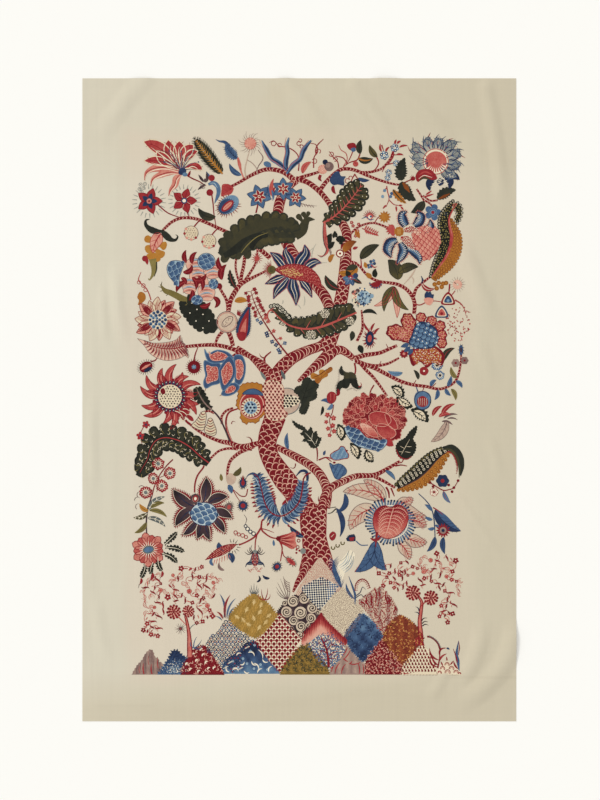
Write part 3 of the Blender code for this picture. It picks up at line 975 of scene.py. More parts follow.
def u_leaf():
    """The long hanging feather that loops under the stem: blue leaflets, red tips, a red midrib."""
    spine = smooth([(254, 474), (258.5, 478), (261.5, 489), (265, 503), (271, 512.5), (281, 516), (291.5, 511), (299, 502), (302, 491), (303.4, 479)], 1.0)
    d, sd = sides(spine)
    s = along(spine)
    full = s[-1]
    for k, pos in enumerate(np.arange(5.0, full - 2.0, 1.75)):
        i = min(len(spine) - 1, int(np.searchsorted(s, pos)))
        p, t = spine[i], pos / full
        reach = 4.2 + 6.4 * math.sin(math.pi * min(1, max(0, t)) ** 0.9) + (1.3 if k % 2 else 0)
        for sg, lean, grow in ((1, 0.75, 1.0), (-1, 0.75, 0.94)):
            dirn = sd[i] * sg - d[i] * lean * (1 if t < 0.55 else -1) * 0.5
            dirn /= np.hypot(*dirn)
            b = p + dirn * reach * grow
            fill("indigo", blade(bow(p, b, 0.16 * sg, 7), 2.5, belly=0.4), 4.6, 0.24 + 0.14 * (k % 3))
            stroke("indigo", bow(p, p + dirn * reach * 0.8, 0.16 * sg, 6), (0.35, 0.5, 0.2), 5.0, 0.78 if k % 2 else 0.06, curve=False)
            if k % 2 and 0.12 < t < 0.92:
                tip = p + dirn * (reach * grow + 2.9)
                leaf(p + dirn * reach * 0.80, tip, 1.9, bend=0.2 * sg, dye="madder", tone=0.26, layer=4.4)
            elif 0.1 < t < 0.9:
                stroke("umber", [b, b + dirn * 1.6], (0.7, 0.15), 4.4, 0.3, curve=False)
    stroke("indigo", smooth([(246, 478), (249, 474.5), (254, 474), (258, 480), (260.5, 489)], 0.8), (0.4, 1.6, 4.6, 4.2, 1.5), 4.8, 0.28)
    stroke("indigo", [(252, 475.5), (256.5, 480), (259.5, 487)], (0.4, 0.8, 0.4), 5.4, 0.85)
    stroke("madder", np.vstack([spine, smooth([(303.4, 479), (306, 475), (310.7, 472.6)], 0.8)]), (0.8, 1.2, 1.2, 1.5), 5.8, 0.2, curve=False)
    stroke("indigo", [(296, 476), (301, 471), (306, 471.5), (307.5, 477), (306.5, 486)], (0.6, 2.4, 3.0, 2.4, 0.5), 4.3, 0.16)


def peony():
    """The big red ruffled bloom on the right, over blue scales."""
    c = (374.5, 416.5)
    rim = smooth([(343.6, 424), (344, 415), (348, 406), (353, 399), (360, 396.6), (368, 398), (376, 397), (385, 397.6), (393, 401), (400, 406), (404.6, 414), (405.6, 424), (401, 431), (400, 438), (393, 440), (386, 443), (376, 441), (368, 438), (360, 432), (352, 428)], 1.0, closed=True)
    rim = toothed(rim, 3.6, 1.0, seed=3)
    fill("madder", rim, 4.0, 0.13, step=3.0)
    outline("madder", rim, 0.6, 4.2, 0.66)
    rr = dice(c)
    for row, k in enumerate((0.93, 0.76, 0.6, 0.44)):
        n = (21, 17, 13, 9)[row]
        for i in range(n):
            a = TAU * (i + 0.5 * (row % 2)) / n + 0.2 + rr.uniform(-0.08, 0.08)
            q = (c[0] + 29.5 * k * math.cos(a), c[1] + 20.6 * k * math.sin(a))
            if not inside(rim, [q])[0]:
                continue
            s = (8.4, 7.8, 7.0, 6.4)[row] * rr.uniform(0.85, 1.2)
            blob = ring_points((0, 0), s * 0.56, 14, s * 0.44, rot=a + rr.uniform(-0.5, 0.5))
            blob = blob * (1 + 0.16 * np.sin(np.arange(len(blob)) * 1.9 + i))[:, None] + A([q])
            fill("madder", blob, 4.4 + row * 0.25, (0.10, 0.22, 0.32, 0.16)[(i + row) % 4] + 0.05 * row)
            outline("madder", blob, 0.5, 4.6 + row * 0.25, 0.74)
            dots_in(blob, 1.5, 0.42, 4.55 + row * 0.25, "madder", 0.72, n=5, chance=0.8 if (i + row) % 3 else 0.3)
    # the pale folded heart, low and to the right
    for pts, t0, t1 in (
        ([(369, 415), (375, 411.6), (382, 412), (388, 414), (391, 421), (386, 426), (378, 426), (371, 423)], 0.5, 0.62),
        ([(360, 424), (365, 424), (371, 427), (376, 432), (378, 437), (371, 436), (364, 431)], 0.74, 0.5),
        ([(377, 425), (384, 424), (391, 427), (396, 433), (392, 438), (384, 438), (378, 433)], 0.48, 0.64),
        ([(385, 414), (391, 416), (396, 422), (397, 429), (391, 428), (387, 422)], 0.4, 0.5),
    ):
        p = smooth(pts, 1.0, closed=True)
        mid = p.mean(0)
        fill("madder", p, 6.0, lambda q, t0=t0, t1=t1, m=mid: np.clip(t0 + (t1 - t0) * (q[:, 1] - m[1]) / 9, 0.1, 0.95), step=1.8)
        outline("madder", p, 0.5, 6.8, 0.84)
        dots_in(p, 2.0, 0.42, 6.5, "madder", 0.3, n=5, chance=0.7)
    # the blue scaled cup at the lower left, and one dull red lobe
    cup = smooth([(344.9, 427.6), (351, 427.4), (357.6, 429), (362, 433), (366.6, 437.6), (374, 439), (380, 440.4), (386.6, 439.6), (386, 444.6), (379.7, 450.3), (370, 449.4), (358, 446), (351, 440.5), (346.6, 434)], 1.0, closed=True)
    scales(cup, 4.0, 1.2, 7.0, "indigo", 0.2, 0.5, back=("indigo", 0.86), squash=0.9, shrink=0.9)
    outline("indigo", cup, 0.5, 8.6, 0.3)
    leaf((386, 438), (393.6, 445.6), 8.0, bend=-0.1, dye="madder", tone=0.42, layer=6.9)


def long_right_leaf():
    """The long hooked leaf low on the right: black beads above, ochre beads below, and a dark hook at the tip."""
    spine = smooth([(398, 488.6), (404, 486), (412, 482), (419.5, 477.6), (428, 470), (436, 461), (443, 454.5), (449.5, 450.5)], 1.0)
    d, sd = sides(spine)
    s = along(spine)
    t = s / s[-1]
    if (spine - sd * 5)[:, 1].mean() > spine[:, 1].mean():
        sd = -sd
    out = 12.0 * np.sin(np.pi * np.clip(t * 0.88 + 0.08, 0, 1)) ** 0.7
    inn = 9.4 * np.sin(np.pi * np.clip(t * 0.96 + 0.02, 0, 1)) ** 0.7
    up, dn = spine - sd * out[:, None], spine + sd * inn[:, None]
    fill("leafgreen", np.vstack([up, spine[::-1]]), 4.2, 0.05, step=2.6)
    fill("ochre", np.vstack([dn, spine[::-1]]), 4.2, 0.44, step=2.6)
    for q in even(up, 19):
        disc("leafgreen", q, 2.1, 4.3, 0.05, n=9)
        ring("leafgreen", q, 0.85, 0.4, 5.2, 0.95, n=7)
    for q in even(dn, 16):
        disc("ochre", q, 2.0, 4.3, 0.46, n=9)
        ring("ochre", q, 1.2, 0.5, 5.2, 0.1, n=8)
    rr = dice((5, 5))
    for f in (0.28, 0.56, 0.84):
        for q in even(spine - sd * (out * f)[:, None], 15)[1:]:
            ring("reserve", q + [rr.uniform(-0.4, 0.4), rr.uniform(-0.4, 0.4)], 1.1, 0.5, 5.2, 0.6, n=7)
    for f in (0.4, 0.8):
        for q in even(spine + sd * (inn * f)[:, None], 13)[1:]:
            ring("ochre", q, 1.3, 0.45, 5.1, 0.1, n=8)
            disc("ochre", q, 0.7, 5.2, 0.66, n=6)
    stroke("umber", spine, (0.8, 1.3, 1.0, 0.5), 5.6, 0.2, curve=False)
    hook = smooth([(443, 448.6), (449, 447.6), (454, 450), (458.6, 456.6), (461, 466), (460.6, 476)], 0.9)
    stroke("leafgreen", hook, (2, 7.4, 9.0, 8.4, 5.4, 0.6), 5.8, 0.24, curve=False)
    stroke("leafgreen", hook - [1.6, -1.6], (0.6, 2.6, 3, 2.4, 0.5), 6.2, 0.5, curve=False)
    _, hs = sides(hook)
    edge = hook + hs * (3.9 if (hook + hs)[5][0] > hook[5][0] else -3.9)
    stroke("madder", edge[3:-4], (0.4, 1.3, 1.2, 0.4), 6.4, 0.3, curve=False)
    fringe(edge[3:-3], 1 if (hook + hs)[5][0] > hook[5][0] else -1, 1.6, 5.7, "madder", 0.25, gap=1.5, width=0.8, lean=0.4)


def shell_flower():
    """A veined red heart in a ragged ring of blue, with washed-out leaves behind, low on the right."""
    c = (390.6, 522)
    for a, b, w, be, tn in (
        ((384.7, 500), (343, 491.6), 15, -0.12, 0.95), ((384, 502), (363.6, 480), 13, -0.10, 0.95), ((376, 508), (350, 529.6), 17, -0.16, 0.95), ((398, 503), (427, 517), 15, -0.14, 0.92),
        ((405, 536), (427, 542), 13, -0.1, 0.92), ((398, 542), (409.5, 559.6), 12, 0.1, 0.95), ((396, 503), (413, 498), 11, -0.1, 0.95), ((408, 520), (426, 527), 13, 0.12, 0.92),
    ):
        leaf(a, b, w, bend=be, dye="umber", tone=tn, layer=3.4, rib=("madder", 0.42, 1.1), veins=6, vein=("madder", 0.5, 0.6), edge=("umber", 0.5, 0.7), tip_tone=tn - 0.08)
    rr = dice(c)
    for i in range(46):
        a = TAU * i / 46
        r0, r1 = 15.0, 23.4 + rr.uniform(-1.4, 1.8) + (1.6 if 2.6 < a < 4.4 else 0)
        p0, p1 = (c[0] + r0 * math.cos(a), c[1] + r0 * 0.95 * math.sin(a)), (c[0] + r1 * math.cos(a + 0.1), c[1] + r1 * 0.95 * math.sin(a + 0.1))
        stroke("indigo", [p0, p1], (1.6, 3.0, 1.6), 4.6, 0.62 if i % 2 else 0.44, curve=False)
        stroke("reserve", [p0, lerp(A([p0])[0], A([p1])[0], 0.8)], (0.4, 0.9, 0.3), 5.0, 0.9, curve=False)
        disc("indigo", p1, 1.1, 5.1, 0.1, n=6)
        stroke("indigo", [lerp(A([p0])[0], A([p1])[0], 0.3), p1], (0.2, 0.6, 0.5), 5.2, 0.14, curve=False)
    ring("reserve", c, 17.4, 0.8, 5.4, 0.9, ry=16.6, n=40)
    heart = smooth([(392.6, 506.6), (397, 504.6), (403, 506.6), (407.4, 512), (408, 520), (405, 528), (398, 535), (389, 538.6), (381, 536.6), (375, 530), (373, 521), (374.6, 513), (379, 507.6), (385, 505.6), (390, 507.6)], 1.0, closed=True)
    fill("madder", heart, 5.7, lambda q: np.clip(0.26 + 0.020 * (q[:, 1] - 510), 0.2, 0.7), step=1.8)
    outline("madder", heart, 0.7, 6.8, 0.2)
    mid = smooth([(393.8, 507.5), (391, 516), (388.6, 526), (384.7, 537)], 1.0)
    stroke("madder", mid, (0.6, 1.0, 0.5), 6.7, 0.86, curve=False)
    for i, f in enumerate(np.linspace(0.06, 0.86, 8)):
        q = mid[int(f * (len(mid) - 1))]
        for sg in (-1, 1):
            b = (q[0] + sg * (14.6 - 7.5 * f), q[1] + 6.6 + 2.0 * f)
            line = smooth(bow(q, b, 0.2 * sg, 9), 0.8)
            line = line[[inside(heart, [x])[0] or k < 2 for k, x in enumerate(line)]]
            if len(line) > 3:
                stroke("madder", line, (0.4, 0.75, 0.4), 6.4, 0.86, curve=False)
                for k in range(3, len(line) - 2, 3):
                    e = line[k] + [sg * 2.0, -1.6]
                    stroke("madder", [line[k], e], (0.45, 0.3), 6.3, 0.8, curve=False)
    dots_in(heart, 1.9, 0.3, 6.2, "madder", 0.1, n=5, chance=0.5)
    for a, b, w, be in (((376, 541), (354.8, 571.6), 14.0, 0.16), ((376, 541), (386.6, 570), 14.0, -0.18)):
        leaf(a, b, w, bend=be, dye="indigo", tone=0.46, layer=5.4, rib=("indigo", 0.14, 0.8), veins=5, vein=("indigo", 0.2, 0.4), edge=("indigo", 0.2, 0.5), tip_tone=0.4)
        stroke("madder", [lerp(A([a])[0], A([b])[0], 0.78), b], (0.2, 1.5, 0.8), 6.2, 0.32, curve=False)
    stroke("madder", [(377, 532), (376, 541), (375.6, 547)], (2.6, 2.0, 0.6), 7.0, 0.24)
    for b in ((370, 538), (381.5, 536)):
        leaf((376, 541), b, 2.4, dye="madder", tone=0.28, layer=7.0)


def lower_right():
    u_leaf()
    shell_flower()
    long_right_leaf()
    # cup bud and its stem, olive curls, long blue wavy leaf, white swoosh
    stroke("indigo", [(356, 541), (361, 545), (368, 545)], (1.1, 1.0, 0.9), 4.0, 0.42)
    fill("indigo", [(346, 538.5), (348, 535), (354, 533.8), (355.5, 536.5), (355.5, 541), (351, 541.5), (347, 541)], 4.6, 0.12)
    fill("madder", [(349, 537.6), (354.6, 537), (353.5, 540.6), (350, 540.8)], 5.2, 0.3)
    fringe(even(smooth([(345.8, 537.8), (349, 534.4), (355, 533.4)], 0.6), 9), -1, 1.0, 5.0, "reserve", 0.9, gap=1.0, width=0.7, lean=0.1)
    for x, y in ((333, 547.6), (337.6, 545.4), (342.6, 542.8)):
        ring("leafgreen", (x, y), 1.75, 1.05, 4.0, 0.7, a0=-0.6, a1=3.9)
    blue_leaf((344.6, 493.5), (335.6, 512.5), 5.6, bend=0.26, tone=0.26, rib=None)
    blue_leaf((336.2, 508), (339.8, 537), 5.4, bend=0.16, tone=0.22, rib=None)
    stroke("indigo", [(344.6, 493.5), (350, 494.5)], (0.4, 0.2), 4, 0.5)
    stroke("leafgreen", [(327.6, 513.5), (331.6, 512.6), (336, 508.5)], (0.7, 0.9, 1.2), 4.0, 0.15)
    stroke("leafgreen", [(328.4, 508.4), (331.5, 507.6), (336, 507)], (0.5, 0.6, 0.8), 4.0, 0.15)
    sw = smooth([(350, 550), (344, 556), (338.5, 563.5), (335.6, 570), (336.4, 577), (340.8, 585), (343.6, 576.5), (346.4, 569.5), (351, 564.5), (355, 557.5), (354.4, 553)], 0.9, closed=True)
    fill("reserve", sw, 4.2, 0.8, step=2.2)
    for k in range(5):
        stroke("indigo", bow((347.4 + k * 1.5, 552.5 + k * 1.2), (338.4 + k * 1.5, 566 + k * 1.6), 0.16, 7), (0.2, 0.6, 0.3), 4.9, 0.76, curve=False)
    band_ = smooth([(333.6, 561), (334.4, 570), (337.6, 578.5), (341.2, 587)], 0.9)
    stroke("indigo", band_, (0.8, 4.4, 5.0, 1.2), 4.5, 0.32)
    fringe(band_, -1, 5.2, 4.7, "indigo", 0.36, gap=1.2, width=0.9, lean=-0.9)
    fringe(band_, 1, 5.2, 4.7, "indigo", 0.36, gap=1.2, width=0.9, lean=-0.9)
    for a, b in (((349, 550.5), (340, 561)), ((352.5, 551.5), (343, 566)), ((354, 556), (345.5, 568.5))):
        stroke("grey", bow(a, b, 0.12, 7), (0.5, 0.3), 5.0, 0.3, curve=False)
    # right: small plants between the shell flower and the long leaf
    blue_leaf((385.2, 470.5), (395, 480), 3.6, bend=0.1, tone=0.5, rib=None, edge=("indigo", 0.2, 0.4))
    stroke("indigo", [(418.5, 493.5), (426, 500.7), (431.3, 508.4), (434, 520), (435, 537)], (0.8, 1.0, 1.1, 1.1, 0.9), 3.6, 0.25)
    star((442.5, 480.8), 6.8, 6, 5.0, "indigo", 0.14, width=1.0, core=("madder", 0.32, 2.0), blunt=0.5)
    twig([(430, 482.6), (437, 487), (443.4, 490.3), (449, 489.5), (453.7, 487.7), (458, 480.8)], 1.2, 4.0, 0.2)
    for q in ((430, 482.6), (433, 486.5), (448.6, 485), (453.8, 487.6), (458, 480.6), (452, 491.6)):
        disc("madder", q, 1.45, 4.6, 0.14, n=8)
    star((434, 492), 4.2, 5, 5.0, "reserve", 0.9, width=1.1, core=("madder", 0.24, 1.3), edge=("madder", 0.4, 0.4), blunt=0.5)
    blue_leaf((443.4, 491), (450.5, 503), 4.4, bend=-0.1, tone=0.5, rib=("madder", 0.3, 0.5))
    leaf((435.2, 509.5), (461, 531), 12.4, bend=-0.12, dye="indigo", tone=0.4, layer=4.6, rib=("indigo", 0.08, 0.9), veins=6, vein=("indigo", 0.2, 0.45), half=("indigo", 0.16))
    stroke("madder", [(433, 507.5), (438, 510.5), (443, 515)], (1.2, 1.0, 0.3), 5.8, 0.3)
    for a, b, w, be in (((432, 511), (424.5, 504.5), 3.6, -0.1), ((432.6, 519.5), (425, 516.5), 3.4, 0.1), ((434.4, 527.5), (427.6, 528.5), 3.4, 0.15), ((434.2, 517.5), (441.5, 521.5), 3.4, 0.15), ((434.8, 525), (439.6, 528.6), 2.6, 0.1)):
        blue_leaf(a, b, w, be, tone=0.44, rib=None)
    for i in range(14):
        a = TAU * i / 14
        petal("madder", (443, 530.4), a, 2.2, 7.4, 2.0, 5.0, 0.24, 0.2)
    disc("umber", (443, 530.4), 3.4, 5.6, 0.62)
    disc("indigo", (443, 530.4), 1.7, 5.9, 0.1)
    blue_leaf((434.8, 536.5), (426.6, 551.5), 5.6, 0.14, tone=0.3, rib=("indigo", 0.1, 0.5))
    blue_leaf((443.6, 537), (444.8, 554), 5.6, -0.1, tone=0.3, rib=("indigo", 0.1, 0.5))
    # fruit and buds above them
    peony()
    blue_heart()
    leafy_middle()


def blue_heart():
    """Two soft heart-shaped fruits, one grey and one blue."""
    for pts, tone, dye, rim in (
        ([(330.2, 455.4), (333.6, 452), (338.4, 449.4), (340.8, 446.4), (344.2, 447.2), (346.4, 451.6), (348.6, 454.4), (347.8, 458), (343.4, 458.8), (338.4, 460), (333, 459.6)], 0.66, "indigo", ("madder", 0.26)),
        ([(329.6, 463.4), (333.6, 465), (338.4, 463.8), (343, 465.6), (346.4, 470), (345.6, 474), (342, 476.4), (338.8, 479), (335.2, 478), (332.6, 472.6)], 0.46, "indigo", ("indigo", 0.3)),
    ):
        p = smooth(pts, 0.8, closed=True)
        fill(dye, p, 4.4, lambda q, tone=tone: np.clip(tone + 0.09 * np.sin(q[:, 0] * 1.3 + q[:, 1] * 0.7), 0, 1), step=1.6)
        outline(rim[0], p, 0.8, 5.0, rim[1])
        flecks_in(p, 2.6, 1.6, 4.8, "indigo", tone - 0.16, width=0.5, curl=0.3)
    disc("madder", (334.2, 462.6), 1.5, 5.3, 0.16, ry=1.0)
    disc("madder", (347, 450.6), 0.9, 5.3, 0.16)
    twig([(318.5, 460), (326, 457.4), (333, 459)], 1.4, 4.8, 0.24)
    twig([(326, 457.4), (331.5, 461.6)], 1.2, 4.8, 0.24)


def dark_leaf_block(poly, layer=4.4, tone=0.14, veins=(), lobe=2.2, vein_tone=0.8):
    """A dark toothed leaf with pale veins."""
    p = toothed(smooth(poly, 0.9, closed=True), lobe, 0.8, seed=int(poly[0][0]))
    fill("leafgreen", p, layer, tone)
    for v in veins:
        stroke("reserve", v, (0.2, 0.5, 0.2), layer + 0.6, vein_tone)


def veined_leaf(a, b, width, bend=0.0, layer=4.4, tone=0.12, n=4):
    """A small round leaf: a dark toothed rim round cream, with a dark midrib and side veins."""
    w = width * 1.22
    leaf(a, b, w, bend=bend, dye="leafgreen", tone=tone, layer=layer, teeth=7, bite=0.2, belly=0.5)
    a, b = A([a])[0], A([b])[0]
    leaf(a + (b - a) * 0.14, a + (b - a) * 0.84, w * 0.6, bend=bend, dye="reserve", tone=0.45, layer=layer + 0.3, belly=0.5,
         rib=("leafgreen", 0.1, 0.9), veins=n, vein=("leafgreen", 0.16, 0.6))


def leafy_middle():
    # sprays hanging on the fork's branches, right
    wing = smooth([(336.6, 393.6), (336.4, 387), (338.6, 381.6), (343, 379.4), (343.6, 376), (340.4, 374.6), (339, 370.6), (341.6, 365.6), (343.4, 370.4), (347.6, 372.4), (352, 372), (355.6, 375), (357, 380), (358.6, 385.4), (361.6, 386), (360.4, 388.6), (356.6, 389), (352.6, 386.6), (350.2, 382.6), (349.6, 385.4), (346.4, 388.6), (342, 388), (339.6, 391)], 0.8, closed=True)
    wing = toothed(wing, 1.6, 0.7, seed=5)
    fill("leafgreen", wing, 4.4, lambda q: np.clip(0.12 + 0.34 * ((q[:, 1] < 379) & (q[:, 0] > 343)) + 0.05 * np.sin(q[:, 0]), 0, 1), step=1.6)
    fringe(even(smooth([(336.4, 393), (336.2, 386), (338.8, 381), (339.6, 375), (339.4, 370)], 0.8), 20), 1, 1.8, 4.3, "umber", 0.3, gap=1.1, width=0.45, lean=0.2)
    fringe(even(smooth([(361.6, 386.6), (357, 390), (352, 387.6), (347, 389.4)], 0.8), 14), 1, 1.8, 4.3, "umber", 0.3, gap=1.1, width=0.45, lean=0.2)
    stroke("madder", [(358.6, 387), (361.4, 385.4), (360.6, 382.4)], (1.0, 0.8, 0.4), 4.6, 0.4)
    star((403.9, 353.8), 4.6, 9, 5.0, "madder", 0.24, width=1.0, core=("madder", 0.75, 1.4), blunt=0.3)
    disc("madder", (403.9, 353.8), 2.6, 4.9, 0.4)
    veined_leaf((391, 386.5), (403.5, 397.6), 8.0, 0.12)
    veined_leaf((396.5, 396.5), (413, 406.5), 8.4, -0.12)
    veined_leaf((410.6, 409.6), (428, 422.5), 9.6, 0.12)
    veined_leaf((337.6, 424), (341.4, 441), 8.4, 0.1)
    veined_leaf((350, 443), (358, 459.6), 8.2, 0.12)
    veined_leaf((366, 449.5), (373.6, 462), 7.6, -0.1)
    # blue and red bell
    fill("indigo", smooth([(416, 393), (422, 391), (429, 393.5), (431, 400), (428.6, 407.5), (421.8, 409.6), (415.8, 406), (414, 399.6)], 0.9, closed=True), 4.6, 0.5)
    fill("madder", smooth([(417.6, 399), (422.4, 396), (427.4, 399), (427.6, 404.6), (422.4, 407), (417.6, 404.6)], 0.9, closed=True), 5.2, 0.28)
    for k in range(5):
        stroke("reserve", [(418.6 + k * 2.0, 398.2), (419 + k * 1.9, 405.6)], (0.3, 0.6, 0.2), 5.8, 0.9, curve=False)
    outline("indigo", ring_points((422.6, 400.4), 8.2, 22, 9.2), 0.8, 4.9, 0.16)
    stroke("indigo", [(418, 392), (416, 386.5)], (1.4, 0.7), 4.6, 0.3)
    fringe(even(smooth([(414.6, 396), (422.5, 390.6), (430.6, 396)], 0.7), 14), -1, 2.0, 4.4, "indigo", 0.18, gap=1.5, width=0.9, lean=0.0)
    for a, b, w, be in (((431, 386.5), (436.5, 380), 4.2, 0.2), ((447, 386.4), (451, 375.6), 4.2, -0.1), ((455.5, 381), (462, 388), 4.2, 0.15), ((445.6, 388.4), (451, 395.5), 4.0, -0.15), ((437.4, 389.4), (434.4, 400), 4.2, 0.15)):
        blue_leaf(a, b, w, be, tone=0.45, rib=("indigo", 0.15, 0.4))
    leaf((457, 378), (451, 366.8), 4.6, bend=0.15, dye="leafgreen", tone=0.85, layer=4.2, rib=("leafgreen", 0.3, 0.4))
    leaf((451, 389), (455.4, 400.4), 4.6, bend=0.15, dye="leafgreen", tone=0.85, layer=4.2, rib=("leafgreen", 0.3, 0.4))
    spiky_bud((461, 350), 2.2, 5.2, 0.0, 4.6, body=("indigo", 0.35), heart=("umber", 0.2), hairs=10, hair=1.4, width=0.3)
    star((455.6, 363), 4.4, 6, 4.8, "umber", 0.6, width=1.0, core=("madder", 0.2, 1.2), blunt=0.5)
    star((464.5, 360.5), 4.0, 6, 4.8, "umber", 0.5, width=1.0, core=("madder", 0.2, 1.1), blunt=0.5)
    for q, r in (((437, 365), 5.8), ((440, 375.4), 4.6)):
        fan_daisy(q, r, 4.8, 0.4, n=12, dye="indigo", tone=0.5, core=("umber", 0.15, 0.3))
    star((424, 371), 4.6, 5, 4.8, "madder", 0.32, width=1.1, core=("reserve", 0.9, 1.0), blunt=0.6)
    leaf((418, 379.5), (413.4, 370), 4.0, bend=-0.15, dye="leafgreen", tone=0.3, layer=4.2)
    leaf((402.6, 372.6), (387.6, 370.6), 4.8, bend=0.15, dye="indigo", tone=0.6, layer=4.2, rib=("indigo", 0.2, 0.4))
    leaf((443.6, 361), (454.8, 348.2), 6.0, bend=0.2, dye="leafgreen", tone=0.3, layer=4.2, rib=("madder", 0.4, 0.5))
    for a, b, w, dye, tone in (((432.6, 416), (442, 406), 4.4, "madder", 0.3), ((441.6, 415), (455, 404), 4.6, "madder", 0.34), ((438.6, 417), (450.6, 414.4), 4.0, "madder", 0.42), ((443.6, 418.4), (457.6, 414.6), 2.4, "umber", 0.4), ((441.6, 421.5), (452.6, 425), 2.4, "umber", 0.4), ((447, 419), (457.6, 420), 1.6, "umber", 0.4)):
        leaf(a, b, w, bend=0.15, dye=dye, tone=tone, layer=4.2, rib=("madder", 0.75, 0.4) if dye == "madder" else None)
    leaf((447, 421), (431, 441.6), 8.4, bend=0.14, dye="umber", tone=0.8, layer=4.2, rib=("umber", 0.3, 0.6), veins=5, vein=("umber", 0.5, 0.4), edge=("umber", 0.5, 0.5))
    # dark flame leaf
    dark_leaf_block([(399, 441), (405, 437.6), (410, 431), (416.8, 425.6), (416, 433), (413, 438.6), (416, 444), (415, 452), (409, 458.6), (401.6, 459), (396.6, 453.6), (395.6, 446.6)], tone=0.12, vein_tone=0.35, veins=([(401, 455), (405, 447.6), (409.6, 439)], [(404.6, 448.6), (400, 446)], [(406, 446.6), (411.6, 446.6)], [(403.4, 452), (399, 451.6)], [(405, 451.6), (410.6, 452.6)]), lobe=2.8)
    stroke("madder", [(396, 449), (399.6, 456.6), (406.6, 459.2), (412, 456)], (0.6, 1.5, 1.2, 0.4), 5.6, 0.25)
    stroke("madder", [(403.6, 459), (401.6, 462.4), (399, 462.8)], (1.0, 0.8), 4.6, 0.25)
    # red bud, flower chain and trefoil leaf left of the peony
    fill("madder", smooth([(327, 395), (331, 391.6), (335.6, 393.6), (336, 399.6), (332, 403.6), (327.6, 401.6)], 0.8, closed=True), 4.8, 0.34)
    for k in range(4):
        stroke("madder", [(328.6 + k * 1.9, 393.6), (329 + k * 1.7, 401)], (0.3, 0.7, 0.2), 5.4, 0.72 if k % 2 else 0.14, curve=False)
    leaf((331.6, 404), (320.6, 401), 4.2, bend=-0.2, dye="indigo", tone=0.36, layer=4.6)
    leaf((332, 403.6), (326.6, 409.4), 3.8, bend=0.2, dye="indigo", tone=0.52, layer=4.6)
    leaf((336.4, 396), (337.6, 388.6), 3.4, bend=-0.2, dye="madder", tone=0.2, layer=4.6)
    leaf((322.6, 406), (320.4, 415.6), 3.0, bend=0.1, dye="leafgreen", tone=0.06, layer=4.6)
    twig([(333.6, 404.6), (332.4, 412), (329.6, 420), (331, 430), (328, 436.6)], 0.9, 4.2, 0.2)
    for x, y, r in [(327.4, 415, 2.8), (333.4, 418, 2.8), (326.2, 422, 2.2), (332.6, 425.6, 2.8), (328, 428.6, 2.4), (334, 431.2, 2.6), (329.6, 435.2, 2.2)]:
        blossom((x, y), r, 5, "madder", 0.44, 4.8, ("madder", 0.75))
    dark_leaf_block([(316.6, 448), (311, 447.6), (306.6, 442), (301.6, 441.6), (304.6, 437.6), (299.6, 433.6), (303, 431), (295.6, 427), (291.6, 419.6), (297.6, 423.6), (304, 426.6), (307.6, 430.6), (311, 426.6), (313.6, 432.6), (316.6, 430.6), (318, 436.6), (321.6, 437.6), (319.6, 443.6)], tone=0.2, lobe=3.0, veins=([(315.6, 446), (311, 439), (305, 432.6)], [(312.6, 441), (307.6, 440)], [(311.6, 439.6), (312.6, 433)], [(315.6, 444), (317.6, 438.6)]))
    twig([(316.8, 448), (317.4, 454), (317, 461)], 1.4, 4.2, 0.2)
    blue_leaf((288.4, 449.4), (287.6, 432.6), 4.4, 0.1, tone=0.46, rib=("indigo", 0.2, 0.5))
    blue_leaf((324, 455.4), (325.6, 450.4), 2.6, 0.1, tone=0.3, rib=None)
    leaf((284.8, 379.6), (281, 369.6), 3.4, dye="grey", tone=0.2, layer=4.2)
    leaf((266, 380), (260, 371), 3.0, dye="grey", tone=0.4, layer=4.2)


lower_right()


# ---- flowers and leaves on the left and round the middle --------------------------------------------------
def lotus():
    """The blue lotus with red-toothed flame petals, low on the left."""
    c = (204, 514)
    petals = (
        ((196, 507), (173.4, 489.5), 10.6, 0.10), ((203, 503), (206.4, 477.7), 10.4, -0.06), ((207, 505), (227.7, 496.8), 9.4, 0.14),
        ((197, 508), (175.6, 526), 10.0, -0.12), ((197, 519), (183, 534.8), 7.0, 0.1), ((200, 520), (197.3, 538.5), 8.0, 0.1),
        ((206, 519), (210, 540), 7.4, -0.1), ((211, 516), (224.6, 532.6), 7.4, 0.08), ((211, 511), (232, 518), 8.4, 0.1),
    )
    for a, b, w, be in petals:
        flame_petal(a, b, w, be, 4.4, body=("umber", 0.13), edge=("reserve", 0.75), teeth=("madder", 0.16), tooth=2.5)
        stroke("indigo", bow(a, lerp(A([a])[0], A([b])[0], 0.86), be, 7), (0.9, 0.8, 0.2), 5.6, 0.1, curve=False)
    body = ring_points(c, 13.6, 30, 11.6)
    fill("indigo", body, 6.0, 0.9, step=3)
    scales(body, 4.1, -1.2, 6.3, "indigo", 0.32, 0.58, back=("indigo", 0.96), squash=0.95, shrink=0.86)
    outline("indigo", body, 0.7, 7.2, 0.14)
    fringe(ring_points(c, 13.4, 34, 11.4), 1, 1.6, 5.8, "madder", 0.2, gap=2.0, width=1.2, lean=0.1)
    disc("umber", (195.4, 499), 5.2, 6.4, 0.3)
    disc("umber", (195.4, 499), 3.2, 6.8, 0.7)
    spiky_bud((195.4, 498.6), 2.6, 3.4, 0.2, 6.9, body=("madder", 0.3), heart=("reserve", 0.8), hairs=14, hair=2.4)
    stroke("madder", [(194.6, 492.5), (195, 484), (197.6, 475.5), (203.4, 467.6)], (1.4, 1.6, 1.6, 1.6), 3.8, 0.26)
    spiky_bud((229, 507), 3.6, 4.4, 0.3, 4.8, body=("umber", 0.4), heart=("madder", 0.5), hairs=18, hair=2.2)


